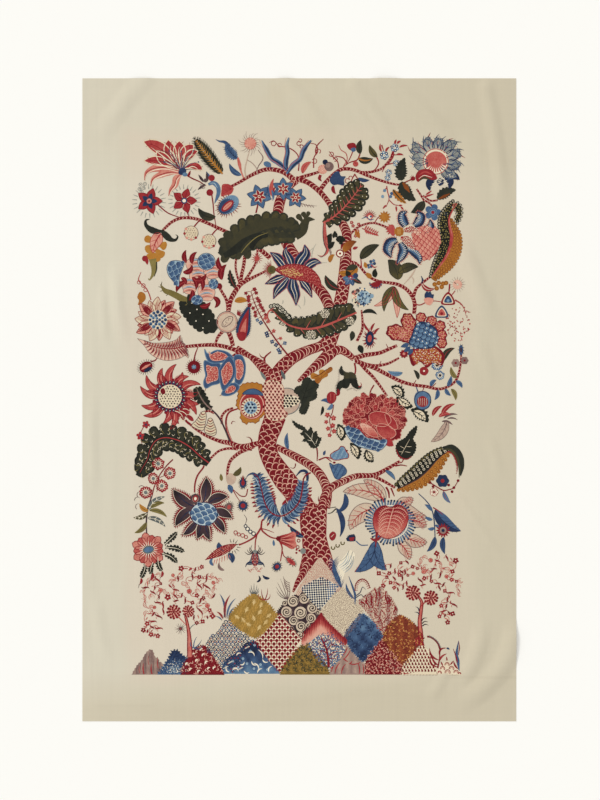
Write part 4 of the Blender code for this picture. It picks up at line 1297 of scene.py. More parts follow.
def sunflower_striped():
    """The striped sunflower with a blue heart, left of the middle."""
    c = (157.8, 319.8)
    for deg, r1, red in ((-92, 23, 0), (-50, 24.5, 1), (-10, 23.5, 0), (24, 25, 1), (56, 23, 0), (84, 21, 1), (108, 22.6, 0), (146, 25, 1), (180, 23, 0), (-140, 24.5, 1), (-116, 21, 0), (-72, 21, 1), (-30, 21.5, 1), (6, 21.6, 0), (162, 21, 1), (-160, 21, 0), (40, 20, 1), (128, 20, 0)):
        a = math.radians(deg)
        big = r1 > 22
        base = 4.5 if big else 3.9
        leaf(polar(c, a, 7), polar(c, a + 0.05, r1), 9.6 if big else 7.6, bend=0.05, dye="madder" if red else "reserve", tone=0.82 if red else 0.34, layer=base, belly=0.42, edge=("madder", 0.26, 0.6))
        for off in (-0.22, -0.11, 0.0, 0.11, 0.22):
            ln = 0.97 - abs(off) * 0.9
            stroke("madder", bow(polar(c, a + off * 0.9, 9.4), polar(c, a + off * 0.4 + 0.05, r1 * ln), -off * 0.3, 7), (0.7, 1.5, 0.4) if red else (0.25, 0.55, 0.2), base + 0.26, 0.14 if red else 0.4, curve=False)
    disc("reserve", c, 9.6, 5.4, 0.45, 26)
    rr = dice(c)
    for k, (n, rad, s) in enumerate(((12, 8.0, 1.75), (8, 4.9, 1.7), (3, 1.9, 1.6))):
        for i in range(n):
            q = polar(c, TAU * (i + 0.5 * k) / n, rad * rr.uniform(0.94, 1.04))
            disc("indigo", q, s * rr.uniform(0.85, 1.1), 5.7, (0.3, 0.62, 0.46)[i % 3], n=9)
            disc("indigo", (q[0] + 0.3, q[1] + 0.3), s * 0.42, 6.0, 0.1, n=6)


def red_sunflower():
    """The red flower with long curling rays, left."""
    c = (170, 396.4)
    for i in range(19):
        a = TAU * (i + 0.2) / 19 + 0.07 * math.sin(i * 2.3)
        r1 = 29.4 + 3.6 * math.sin(i * 1.9 + 0.4)
        b = polar(c, a + 0.16, r1)
        leaf(polar(c, a, 11.0), b, 7.4, bend=0.2 if i % 3 else -0.14, dye="madder", tone=0.5, layer=4.2, belly=0.30, edge=("madder", 0.22, 0.6))
        for off in (-0.05, 0.05):
            stroke("madder", bow(polar(c, a + off, 15.4), polar(c, a + 0.10 + off * 0.4, r1 * 0.84), 0.14, 7), (0.4, 0.9, 0.2), 4.62, 0.24 if off > 0 else 0.76, curve=False)
        for k in (0.35, 0.55, 0.75):
            q = polar(c, a + 0.10 * k + 0.02, 14 + (r1 - 15) * k)
            disc("madder", q, 0.45, 4.72, 0.14, n=6)
        disc("madder", polar(c, a + TAU / 38, 16.6), 1.7, 4.5, 0.16, n=7)
    disc("madder", c, 15.6, 5.0, 0.2, 36)
    for i in range(24):
        a = TAU * i / 24
        disc("indigo", polar(c, a, 13.9), 2.1, 5.2 + 0.06 * (i % 2), 0.06 + 0.1 * (i % 2), n=9, ry=1.5, rot=a + 0.3)
        disc("reserve", polar(c, a, 14.4), 0.7, 5.6, 0.62, n=6, ry=0.4, rot=a + 0.3)
    disc("reserve", c, 11.9, 5.8, 0.42, 30)
    dots_in(ring_points(c, 11.0, 28), 2.8, 0.78, 6.1, "umber", 0.12, n=6)
    fill("madder", smooth([(160.6, 390), (163.4, 388), (165.4, 391), (164.6, 394), (161.4, 393.6)], 0.6, closed=True), 6.4, 0.12)
    for a, b, w in (((179, 411), (187.5, 418), 6.4), ((175, 411), (183.6, 421), 6.0), ((183, 409), (190, 412.5), 5.0)):
        leaf(a, b, w, bend=0.2, dye="madder", tone=0.26, layer=6.0, rib=("reserve", 0.6, 0.7))
    for x, y, a0 in ((183, 418, 0.4), (188, 412, 5.2)):
        curl_line((x, y), 2.6, a0, 3.8, 6.4, "reserve", 0.5, 0.7)
    twig([(185.5, 420), (188, 423), (191, 425.4)], 2.2, 3.8, 0.2)


def feathery():
    """The pink leaf with red and brown stripes at the left end of the middle branch."""
    up = smooth([(137.6, 338.6), (145, 340.8), (153, 343), (163, 342.8), (172, 341.4), (177, 339.2), (180.4, 335.4), (181, 341), (184, 345.4)], 1.0)
    dn = smooth([(184, 345.4), (186.6, 351), (188.4, 358), (185, 355.6), (179.6, 358.4), (171, 360.4), (163, 360), (155, 357), (148.6, 352), (144.6, 346), (137.6, 338.6)], 1.0)
    fill("madder", np.vstack([up, dn[1:-1]]), 4.2, 0.96, step=2.6)
    rib = smooth([(183.6, 346.4), (174, 348.6), (164, 348.6), (154, 346.6), (145, 343)], 1.0)
    n = 17
    r = even(rib, n)
    for edge, sh in ((up[::-1], 0), (dn, 1)):
        e = even(edge, n + 3)[1:-2]
        for i in range(n):
            a, b = r[i], e[min(i + (1 if sh else 0), len(e) - 1)]
            m = (a + b) / 2 + [1.0, 0.4 if sh else -0.4]
            stroke("madder", [a, m, b], (0.7, 1.5, 0.5), 4.5, 0.26, curve=True)
            stroke("umber", [a + [1.2, 0], m + [1.3, 0], b + [1.2, 0]], (0.3, 0.7, 0.3), 4.56, 0.5, curve=True)
    stroke("madder", rib, (1.2, 1.0, 0.5), 4.8, 0.22, curve=False)
    outline("umber", np.vstack([up, dn[1:-1]]), 0.45, 4.7, 0.5)


def pomegranate_small():
    """The bud of speckled coral petals, each in a broad blue border, under the middle branch."""
    petals = (
        [(205.4, 349.8), (208.7, 353.8), (217.4, 350.5), (226.8, 352.5), (232.1, 357.9), (226.8, 360.5), (218.7, 362.5), (210.7, 361.9), (207, 357.9)],
        [(234.8, 356.5), (241.5, 356.5), (244.9, 364.5), (244.2, 375.3), (240.2, 383.3), (235.5, 382), (235.6, 371.2), (234.5, 363.2)],
        [(222.1, 394), (226.8, 386.3), (234.8, 383.3), (238.8, 387.3), (234.8, 392.7), (228.1, 395.3)],
        [(205, 361.5), (212, 363.9), (219.4, 364.5), (220.8, 373.9), (219.4, 382), (212, 384.6), (206, 387.3), (204, 382), (206, 375.3), (204.7, 368.6)],
        [(229.5, 357.4), (234.2, 364.5), (234.6, 373.9), (230.8, 382), (223.6, 389.6), (220.4, 380.6), (219.4, 371.2), (223.4, 363.2)],
    )
    for k, pts in enumerate(petals):
        p = smooth(pts, 0.8, closed=True)
        lift = 4.4 + 0.34 * k
        mid = p.mean(0)
        fill("indigo", mid + (p - mid) * 1.08, lift, 0.34)
        outline("indigo", mid + (p - mid) * 1.06, 0.8, lift + 0.05, 0.56)
        inner = mid + (p - mid) * (0.70 if k != 2 else 0.6)
        fill("madder", inner, lift + 0.1, 0.56)
        outline("madder", inner, 0.6, lift + 0.15, 0.85)
        flecks_in(inner, 2.1, 1.5, lift + 0.2, "madder", 0.88, width=0.7, curl=0.4)
        flecks_in(inner, 2.7, 1.3, lift + 0.25, "madder", 0.2, width=0.6, curl=0.4)
    bark([(232, 357.4), (236, 354), (241, 351.6)], (2.6, 2.4, 2.2), 2.6)
    for a, b in (((222, 394.6), (219.6, 396)), ((206, 387), (205.4, 391)), ((238, 388), (240, 392))):
        stroke("ochre", [a, b], (0.9, 0.3), 4.3, 0.3, curve=False)


def lens_flower():
    """The ochre and red ringed flower with a dotted eye, against the knot."""
    ring_o = smooth([(238, 396), (238.6, 388), (244, 383.6), (252, 382.6), (259, 383.6), (266, 388), (268, 396), (267.6, 405), (266, 413), (260.6, 417.6), (256.6, 423), (250, 422), (245.6, 424), (240.6, 418.6), (240.6, 411), (236.4, 405.6)], 1.0, closed=True)
    o = toothed(ring_o, 4.6, 1.0, seed=6)
    fill("ochre", o, 4.4, 0.5, step=2.6)
    outline("ochre", o, 0.7, 4.8, 0.2)
    fill("madder", ring_points((252.4, 404), 13.0, 30, 15.4, rot=0.1), 4.9, 0.42)
    outline("madder", ring_points((251.8, 405.4), 11.8, 28, 12.8), 0.9, 5.3, 0.9)
    fill("madder", ring_points((251.4, 406.6), 10.8, 28, 11.4), 5.5, 0.36)
    fill("reserve", ring_points((250.8, 407.4), 9.6, 28, 9.6), 5.6, 0.4)
    fill("indigo", smooth([(242.6, 394), (247, 390), (254, 388.8), (260.6, 391.6), (263, 395.6), (256.6, 394.6), (249, 394.4)], 0.9, closed=True), 5.8, 0.4)
    outline("indigo", smooth([(242.6, 394), (247, 390), (254, 388.8), (260.6, 391.6), (263, 395.6), (256.6, 394.6), (249, 394.4)], 0.9, closed=True), 0.6, 6.1, 0.14)
    for i in range(18):
        a = TAU * i / 18
        stroke("madder", [polar((250.6, 407.6), a, 6.8), polar((250.6, 407.6), a, 9.3)], (0.8, 1.5), 6.0, 0.2, curve=False)
    disc("indigo", (250.6, 407.6), 6.6, 6.4, 0.86, 24)
    for i in range(9):
        disc("indigo", polar((250.6, 407.6), TAU * i / 9, 5.2), 1.2, 6.6, 0.5, n=7)
    for i in range(7):
        q = (250.6, 407.6) if i == 6 else polar((250.6, 407.6), TAU * i / 6, 3.6)
        disc("indigo", q, 1.25, 6.8, 0.1, n=7)


def checked_ball():
    """The checked fruit and the dark leaf on the right of the knot."""
    c = (287, 401.2)
    disc("umber", c, 13.2, 4.4, 0.84, 36)
    outline("grey", ring_points(c, 13.1, 36), 0.8, 4.6, 0.32)
    poly = smooth([(275.6, 395.4), (282, 394.6), (290, 395.4), (297.6, 397), (300.2, 400.4), (298, 404), (292, 406.6), (285, 408), (277, 407.6)], 1.0, closed=True)
    fill("reserve", poly, 4.62, 0.55, step=3)
    rr = dice(c)
    for i in range(-5, 6):
        for j in range(-3, 4):
            q = (287.6 + i * 3.3 + (j % 2) * 1.65 + rr.uniform(-0.2, 0.2), 401 + j * 2.6 + i * 0.12)
            if inside(poly, [q])[0]:
                fill("umber", [(q[0] - 1.5, q[1] - 0.6), (q[0] + 0.2, q[1] - 1.45), (q[0] + 1.55, q[1] + 0.3), (q[0] - 0.1, q[1] + 1.4)], 4.68, 0.0)
    edge = smooth([(295, 388), (297.4, 386), (299.6, 385.6), (301.6, 384.4), (302.4, 380.4), (305.4, 377.6), (309.6, 377.6), (312, 380.4), (315.4, 380.4), (318.2, 383), (318.8, 387), (316.4, 390), (317.4, 394.6), (316, 398.6), (312.4, 400.8), (309.6, 401.6), (309.4, 406), (307.6, 410), (306, 413.6), (302.4, 414.6), (299.4, 412.6), (299.2, 408.6), (301, 404.6), (300, 400), (298, 395.4), (293.6, 392)], 0.9, closed=True)
    edge = toothed(edge, 2.6, 0.6, seed=9)
    fill("leafgreen", edge, 4.8, lambda q: 0.24 + 0.05 * np.sin(q[:, 0] * 0.7 + q[:, 1] * 0.5), step=2.4)
    for pts in ([(300, 408), (303.4, 398), (306, 390), (309.6, 381)], [(304.6, 394), (299.6, 389)], [(305.6, 391.6), (313, 387.6)], [(303.6, 398), (311, 396)]):
        stroke("leafgreen", pts, (0.4, 0.8, 0.3), 5.3, 0.1)
    # ochre bud above
    for a, b, w, tn in (((320, 377), (310.6, 375.6), 6.4, 0.5), ((322, 377), (315.6, 382), 6.4, 0.36), ((321, 378), (322.6, 369.6), 6.6, 0.56), ((321, 378), (327, 372.6), 6.0, 0.44), ((324, 375), (332, 367.6), 4.6, 0.34)):
        club(a, b, w, 4.8, "ochre", tn, waist=0.5)
        stroke("ochre", [a, b], (0.3, 0.6, 0.2), 5.3, 0.14, curve=False)
    stroke("ochre", [(312, 378), (319, 375), (326, 370), (331.6, 367)], (0.3, 1.0, 1.0, 0.3), 5.4, 0.1)


def vermicular():
    """The broad dark leaf wormed with cream that sweeps down the left side."""
    spine = [(209, 463), (200, 456), (190.8, 447.6), (183, 442.6), (175.5, 439.4), (165, 437.6), (155.6, 441), (150, 450), (147.6, 459), (143, 467), (138, 476)]
    p, d, sd, w = oak(spine, 27, lobes=13, layer=4.0, tone=0.1, inner=0.12, rib=("madder", 0.42, 1.0), curls=0.5, fat=1.3, blunt=0.36, belly=0.4, curl_dye=("leafgreen", 1.0), glow=0.3)
    rr = dice((17, 1))
    for i in range(6, len(p) - 8, 4):
        for sg in (1, -1):
            for f in (0.30, 0.66):
                q = p[i] + sd[i] * sg * w[i] * (f + rr.uniform(-0.06, 0.06)) + d[i] * rr.uniform(-0.8, 0.8)
                a = rr.uniform(0, TAU)
                stroke("reserve", bow(polar(q, a, 1.3), polar(q, a + math.pi, 1.3), 0.5, 5), (0.2, 0.55, 0.2), 5.2, 0.45, curve=False)


def left_middle():
    lotus()
    sunflower_striped()
    red_sunflower()
    feathery()
    pomegranate_small()
    lens_flower()
    checked_ball()
    vermicular()
    # spiky buds hanging from the middle branch
    twig([(151, 361.5), (155, 360.5), (158, 357)], 1.4, 3.8, 0.2)
    fill("madder", ring_points((146, 367), 7.0, 22, 5.2, rot=-0.5), 4.6, 0.12)
    stroke("madder", [(141.6, 369.4), (146, 366.6), (150.6, 364)], (0.8, 2.6, 0.8), 5.2, 0.74)
    fill("indigo", ring_points((148, 369.6), 4.4, 16, 1.9, rot=-0.5), 5.0, 0.1)
    for i in range(22):
        a = TAU * i / 22
        q = np.array([7.4 * math.cos(a), 5.6 * math.sin(a)])
        ca, sa = math.cos(-0.5), math.sin(-0.5)
        q = (146 + q[0] * ca - q[1] * sa, 367 + q[0] * sa + q[1] * ca)
        stroke("umber", [q, polar(q, a - 0.5 + 0.2, 2.2)], (0.6, 0.2), 4.4, 0.12, curve=False)
    twig([(194, 361.4), (195.2, 354.6), (198, 347)], 1.4, 3.8, 0.2)
    disc("umber", (194, 367), 6.2, 4.6, 0.9, 22)
    ring("madder", (194, 367), 5.4, 1.9, 4.9, 0.1)
    disc("madder", (194, 367), 5.2, 4.9, 0.10)
    disc("indigo", (194, 367), 2.3, 5.0, 0.7)
    for i in range(6):
        disc("indigo", polar((194, 367), i, 1.8), 0.55, 5.3, 0.1, n=5)
    for i in range(22):
        a = TAU * i / 22
        stroke("madder", [polar((194, 367), a, 6.0), polar((194, 367), a + 0.12, 8.6)], (0.7, 0.2), 4.5, 0.1, curve=False)
    # small red flowers, ghost shells, dark spiky leaf
    for x, y, r in ((146, 424.6, 4.0), (140.4, 435.8, 4.2)):
        blossom((x, y), r, 5, "madder", 0.34, 4.8, ("reserve", 0.9))
        disc("indigo", (x, y), r * 0.26, 5.6, 0.2)
    twig([(150, 426.5), (146, 424.6), (142, 430), (140.4, 435.8), (142, 444)], 0.8, 3.8, 0.24)
    for pts, top, foot in (
        ([(201.4, 412.4), (204.8, 411.4), (206.4, 416), (205.4, 423), (203.4, 430), (197.4, 429), (191.8, 425.4), (195.6, 421), (199, 416.6)], (203.4, 411.6), (198.4, 429.4)),
        ([(208.4, 419), (211.6, 418.4), (213.8, 423), (216.2, 429.6), (215.6, 434.4), (211, 436), (205.6, 433.4), (204.6, 428.6), (207, 424)], (210.2, 418.4), (210.8, 436)),
    ):
        p = smooth(pts, 0.8, closed=True)
        fill("reserve", p, 4.0, 0.3)
        axis = A([foot])[0] - A([top])[0]
        span = np.hypot(*axis)
        axis /= span
        cross = np.array([-axis[1], axis[0]])
        for k in range(1, 7):
            q = A([top])[0] + axis * span * k / 7
            half = 1.6 + 4.6 * (k / 7) ** 0.8
            stroke("madder" if k % 2 else "umber", [q - cross * half - axis * 1.4, q + axis * 0.6, q + cross * half - axis * 1.4], (0.5, 1.1 if k % 2 else 0.8, 0.5), 4.4, 0.2 if k % 2 else 0.34)
        outline("umber", p, 0.6, 4.6, 0.36)
    bark([(204, 412), (209, 411), (214, 413.4)], (1.8, 1.6, 1.4), 3.6)
    bark([(222, 424), (221.6, 417), (226, 411), (233, 408)], (2.2, 2.0, 2.0, 1.8), 2.6)
    oak([(211.6, 409.6), (206, 404.5), (201, 397.5), (196, 387)], 12.5, lobes=6, layer=4.4, tone=0.08, inner=0.4, rib=("umber", 0.55, 1.2), curls=0, fat=0.9, blunt=0.5)
    stroke("umber", [(212, 410), (218.6, 417), (224, 427), (230, 441.6)], (1.8, 1.7, 1.7, 1.8), 3.6, 0.2)
    leaf((193.6, 421), (186, 414), 4.2, dye="madder", tone=0.3, layer=4.0)
    # daisies down the left
    stroke("madder", [(173, 459.4), (166.4, 466), (159.5, 475.5), (154.4, 486.5), (152, 496), (148.6, 506)], (1.2, 1.2, 1.1, 1.1, 1.1), 3.8, 0.2)
    stroke("umber", [(152, 496), (147.9, 508), (146.4, 522), (146.8, 537)], (1.2, 1.5, 1.5, 1.3), 3.8, 0.25)
    for x, y, r, rot in ((158.4, 463.8, 6.4, 0.4), (170, 473.3, 6.4, 1.1), (153.4, 478.5, 6.0, 2.0), (161.9, 485.8, 6.4, 0.2), (145.8, 492.4, 6.6, 1.5)):
        fan_daisy((x, y), r, 4.8, rot, n=12, tone=0.3)
        twig([(x, y), ((x + 155) / 2, y + 3), (156.5 if y < 490 else 150, y + 6)], 0.7, 3.6, 0.24)
    for a, b, w, dye, tone, st in (((148.6, 510), (165, 496.6), 5.6, "grey", 0.25, 1), ((151, 508), (164.6, 503), 4.6, "leafgreen", 0.8, 0), ((148.6, 511), (139.6, 503.6), 4.6, "ochre", 0.6, 0), ((147.4, 513), (133.4, 517.4), 5.0, "leafgreen", 0.55, 1), ((149.4, 510.4), (167, 517.2), 4.6, "leafgreen", 0.85, 0), ((147.4, 518), (165.4, 526.8), 5.2, "grey", 0.2, 1), ((146.6, 522), (134.4, 532.8), 5.0, "leafgreen", 0.8, 0)):
        leaf(a, b, w, bend=0.14, dye=dye, tone=tone, layer=4.2, rib=("reserve", 0.8, 0.4) if st else ("leafgreen", 0.2, 0.4), veins=4 if st else 0, vein=("reserve", 0.8, 0.5))
    for x, y, a0 in ((140, 494.6, 2.4), (137.6, 500, 3.0), (138.6, 506.6, 2.2), (141.6, 488.6, 3.6)):
        curl_line((x, y), 3.0, a0, 2.6, 4.0, "umber", 0.4, 0.6)
    # salmon flower with a blue-grey eye
    c = (148.5, 549.6)
    for i in range(13):
        a = TAU * (i + 0.3) / 13
        petal("madder", c, a, 4, 15.0 + 2.4 * (i % 2), 8.0, 4.6 + 0.1 * (i % 2), 0.6 + 0.12 * (i % 2), 0.8, ("madder", 0.24, 0.7))
        for da in (-0.12, 0.0, 0.12):
            stroke("madder", [polar(c, a + da, 8.4), polar(c, a + da, 14.4)], (0.2, 0.7, 0.2), 5.2, 0.2, curve=False)
    for i in range(20):
        a = TAU * i / 20
        stroke("reserve", [(c[0] + 4.6 * math.cos(a), c[1] + 3.4 * math.sin(a)), (c[0] + 9.2 * math.cos(a), c[1] + 8.2 * math.sin(a))], (0.8, 1.1, 0.3), 5.4, 0.95, curve=False)
    fill("grey", ring_points(c, 5.6, 22, 3.9, rot=-0.2), 5.8, 0.22)
    fill("indigo", ring_points(c, 4.4, 20, 2.8, rot=-0.2), 6.1, 0.5)
    for a, b, w, be, red in (((164, 545), (177.4, 531.8), 5.4, 0.14, 0), ((165, 547), (184.7, 551.6), 5.6, 0.1, 0), ((162, 553), (177.4, 563), 5.6, 0.12, 0), ((158, 557), (162, 571), 5.2, -0.1, 1), ((153, 562), (151.6, 574), 5.2, -0.12, 1), ((145, 563.6), (141, 578), 5.2, 0.12, 1)):
        oak([a, ((a[0] + b[0]) / 2 + be * 14, (a[1] + b[1]) / 2 - be * 10), b], w, lobes=6, layer=4.2, tone=0.15, inner=0.3, rib=("reserve", 0.8, 0.5), curls=0, fat=0.8)
        if red:
            leaf(b, (b[0] - 1.6, b[1] + 6.4), 2.6, bend=0.2, dye="madder", tone=0.28, layer=4.2)
            stroke("umber", [(b[0] - 1.6, b[1] + 6), (b[0] - 2.6, b[1] + 10)], (0.6, 0.2), 4.2, 0.25, curve=False)
    # insect-like flower, fuchsia flower, commas
    fill("madder", blade(bow((205, 560), (237, 544), 0.02, 12), 8.6, belly=0.55), 4.8, 0.22)
    dots_in(blade(bow((207, 559), (235.6, 544.8), 0.02, 12), 7.2, belly=0.55), 1.8, 0.5, 5.4, "madder", 0.8, n=5, ang=0.5)
    for a, b, w, be in (((224, 551), (219, 542), 6.4, 0.2), ((228, 553.6), (232, 563), 6.4, 0.2)):
        leaf(a, b, w, bend=be, dye="indigo", tone=0.28, layer=4.6, rib=("indigo", 0.1, 0.6))
    for i in range(9):
        a = (232.6 + 4.4 * math.cos(i * 0.5 - 1.9), 546.6 + 4.4 * math.sin(i * 0.5 - 1.9))
        stroke("umber", [a, polar((232.6, 546.6), i * 0.5 - 1.9, 8.2)], (0.8, 0.2), 4.5, 0.15, curve=False)
    for i in range(7):
        q = (214 + i * 2.4, 556.6 - i * 1.0)
        stroke("madder", [q, (q[0] - 3.4 + i * 0.3, q[1] - 6.0)], (0.7, 0.2), 4.5, 0.5, curve=False)
        stroke("madder", [(q[0] + 1, q[1] + 3), (q[0] - 0.6 + i * 0.4, q[1] + 8.4)], (0.9, 0.3), 4.5, 0.66, curve=False)
    fill("madder", ring_points((255, 559), 3.4, 18, 7.4), 5.4, 0.22)
    dots_in(ring_points((255, 559), 3.0, 18, 6.8), 1.8, 0.5, 5.8, "madder", 0.85, n=5)
    for sg in (-1, 1):
        leaf((255 + sg * 2, 553), (255 + sg * 8.4, 564), 5.4, bend=-0.3 * sg, dye="grey", tone=0.35, layer=4.8, edge=("indigo", 0.2, 0.6))
        stroke("indigo", bow((255 + sg * 2, 563), (255 + sg * 9.4, 567), 0.3 * sg, 7), (1.4, 1.6, 0.4), 5.2, 0.14, curve=False)
        for k in range(4):
            stroke("umber", bow((255 + sg * (0.8 + k * 0.5), 552.4), (255 + sg * (3 + k * 2.4), 545 + k * 2.2), -0.3 * sg, 6), (0.8, 0.8, 0.2), 4.6, 0.14, curve=False)
    for k in range(8):
        curl_line((249 + k * 1.8, 569.4 + 1.4 * math.sin(k * 1.4)), 1.1, k * 1.2, 4.0, 4.6, "madder", 0.6, 0.6)
    disc("grey", (255, 551.6), 2.0, 5.6, 0.5)
    # bud chains
    stroke("umber", [(244, 514.5), (246.6, 519), (245.4, 524)], (0.3, 0.6, 0.4), 4.0, 0.3)
    for x, y, r in ((245.6, 526, 1.5), (247.6, 528.8, 1.9), (250.4, 531.6, 1.7), (253.6, 533.6, 1.9)):
        ring("indigo", (x, y), r, 0.8, 4.6, 0.12)
        disc("reserve", (x, y), r * 0.6, 4.5, 1.0)
    for x, y, r in ((235.6, 532.4, 1.7), (238.8, 534.4, 1.6), (242.6, 535.4, 1.9), (246, 537, 1.6)):
        ring("madder", (x, y), r, 0.75, 4.6, 0.36)
    stroke("madder", [(234.6, 534.6), (236.4, 536)], (0.5, 0.2), 4.6, 0.4, curve=False)
    for x, y, rx, ry, rot in ((243, 483, 3.4, 5.0, 0.05), (243, 505.6, 4.6, 4.6, 0.3), (277, 566.5, 4.2, 3.6, -0.8), (291, 561.5, 5.4, 2.4, 0.7)):
        spiky_bud((x, y), rx, ry, rot, 4.8, body=("indigo", 0.2) if x < 285 else ("madder", 0.5), heart=("madder", 0.32), hairs=22, hair=1.9)
    leaf((243, 482), (243, 475), 2.0, dye="madder", tone=0.2, layer=5.2)
    twig([(247.6, 489), (246, 495.6), (241, 496), (236, 492), (232.6, 489)], 1.1, 3.8, 0.24)
    twig([(233, 490), (237, 497), (240.4, 501.6)], 0.9, 3.8, 0.26)
    fill("umber", smooth([(226, 477), (229.6, 473.4), (234.6, 474.6), (236, 479.6), (233, 484), (228, 484)], 0.9, closed=True), 4.2, 0.86)
    leaf((221.6, 481), (220.8, 473.6), 3.4, dye="leafgreen", tone=0.8, layer=4.2)
    leaf((233, 474.6), (240.6, 466.8), 5.4, bend=-0.2, dye="leafgreen", tone=0.6, layer=4.2)
    blue_leaf((228, 485), (231.6, 493.6), 5.4, 0.1, tone=0.44, rib=("indigo", 0.2, 0.4))
    # red trumpet
    fill("madder", smooth([(276.6, 538), (281, 535.4), (288, 533.6), (293, 531.6), (296, 534), (295.4, 540), (296.6, 546), (292, 549), (286, 546), (280, 542.6)], 0.9, closed=True), 4.8, lambda q: np.clip(0.2 + (q[:, 0] - 277) * 0.028, 0, 0.9), step=1.6)
    for k in range(6):
        stroke("madder", [(280, 538.4 + k * 0.5), (287 + k * 0.4, 536.4 + k * 1.7), (294.4, 533 + k * 3.0)], (0.3, 0.8, 0.3), 5.4, 0.14 if k % 2 else 0.8)
    for x, y in ((297.4, 533), (298.6, 540.6), (297.6, 547)):
        ring("madder", (x, y), 1.5, 0.8, 5.0, 0.25)
    disc("madder", (278.4, 538.4), 2.4, 5.4, 0.1)
    blue_leaf((303.6, 537), (289.6, 525.6), 5.6, 0.1, tone=0.12, rib=("indigo", 0.5, 0.5))
    leaf((274, 546), (273.4, 539.6), 2.4, dye="indigo", tone=0.5, layer=4.4)
    for x, y in ((296.6, 549.6), (296.4, 552.8), (299.4, 550.6)):
        disc("madder", (x, y), 1.1, 4.6, 0.26, n=7)
    disc("grey", (303, 551), 2.9, 4.2, 0.5)
    fill("madder", smooth([(329.6, 538), (329.6, 534), (333, 531.4), (336, 534), (335, 538.6), (332, 540.6)], 0.7, closed=True), 4.8, 0.3)
    stroke("reserve", [(331, 537), (334, 534)], (0.5, 0.3), 5.4, 0.8, curve=False)


left_middle()


# ---- the crown: flowers and leaves above the fork --------------------------------------------------------
def lily():
    """The red lily at the top left: eight lifted petals, three salmon ones turned back."""
    c = (181.5, 170.5)
    for k, (tip, w, be, tone) in enumerate((
        ((143.6, 141.6), 13, -0.10, 0.62), ((168.4, 139.8), 12, 0.10, 0.56), ((179.4, 141), 12.5, 0.02, 0.62), ((193.6, 145), 12, 0.14, 0.64),
        ((198, 151), 8.5, 0.18, 0.5), ((202.6, 170), 7.6, 0.22, 0.5), ((157, 151), 11, 0.08, 0.54), ((144, 161), 9, -0.10, 0.46),
    )):
        leaf(c, tip, w * 0.97, bend=be, dye="madder", tone=tone, layer=4.0 + 0.22 * k, belly=0.66, rib=("madder", 0.16, 0.7), veins=3, vein=("madder", 0.3, 0.5), edge=("reserve", 0.45, 0.9), tip_tone=0.42)
        stroke("reserve", bow(lerp(A([c])[0], A([tip])[0], 0.25), lerp(A([c])[0], A([tip])[0], 0.8), be + 0.1, 7), (0.3, 0.9, 0.2), 6.4, 0.7, curve=False)
        stroke("umber", bow(lerp(A([c])[0], A([tip])[0], 0.12), lerp(A([c])[0], A([tip])[0], 0.7), be - 0.12, 7), (0.9, 0.7, 0.2), 6.5, 0.3, curve=False)
    for pts, w in (([(179.6, 171), (166, 167.6), (154, 168.6), (146.4, 173), (144.6, 180.6)], (2.5, 8, 8.5, 4.5, 0.4)), ([(178.5, 173), (170, 172.4), (160, 175), (153, 179), (150.6, 186.4)], (2.5, 6, 6.5, 3.5, 0.4)), ([(180.6, 174), (176.6, 178.6), (175, 184.6), (170.8, 190), (168.6, 196)], (3, 7.4, 6.4, 3.6, 0.4))):
        stroke("madder", pts, w, 4.4, 0.72)
        stroke("madder", pts, (0.4, 0.9, 0.3), 5.0, 0.34)
        stroke("reserve", A(pts) + [0.4, 1.6], (0.3, 1.0, 0.2), 4.9, 0.75)
    for i in range(5):
        b = polar(c, -2.7 + i * 0.56, 19 + 4 * (i % 2))
        stroke("indigo", bow(c, b, 0.1 * (i - 2) / 2, 8), (0.7, 0.45, 0.25), 6.7, 0.42, curve=False)
        disc("indigo", b, 0.75, 6.8, 0.3, n=6)
    fill("indigo", ring_points((182.4, 171.6), 4.2, 16, 3.4, rot=-0.5), 7.3, 0.2)
    fill("indigo", ring_points((185, 174.6), 2.6, 14, 2.0), 7.7, 0.55)
    twig([(186.4, 175), (192, 178.4), (200, 182), (206, 186)], 1.4, 3.6, 0.2)
    leaf((188, 177), (190.6, 170.6), 2.4, dye="madder", tone=0.2, layer=4.2)


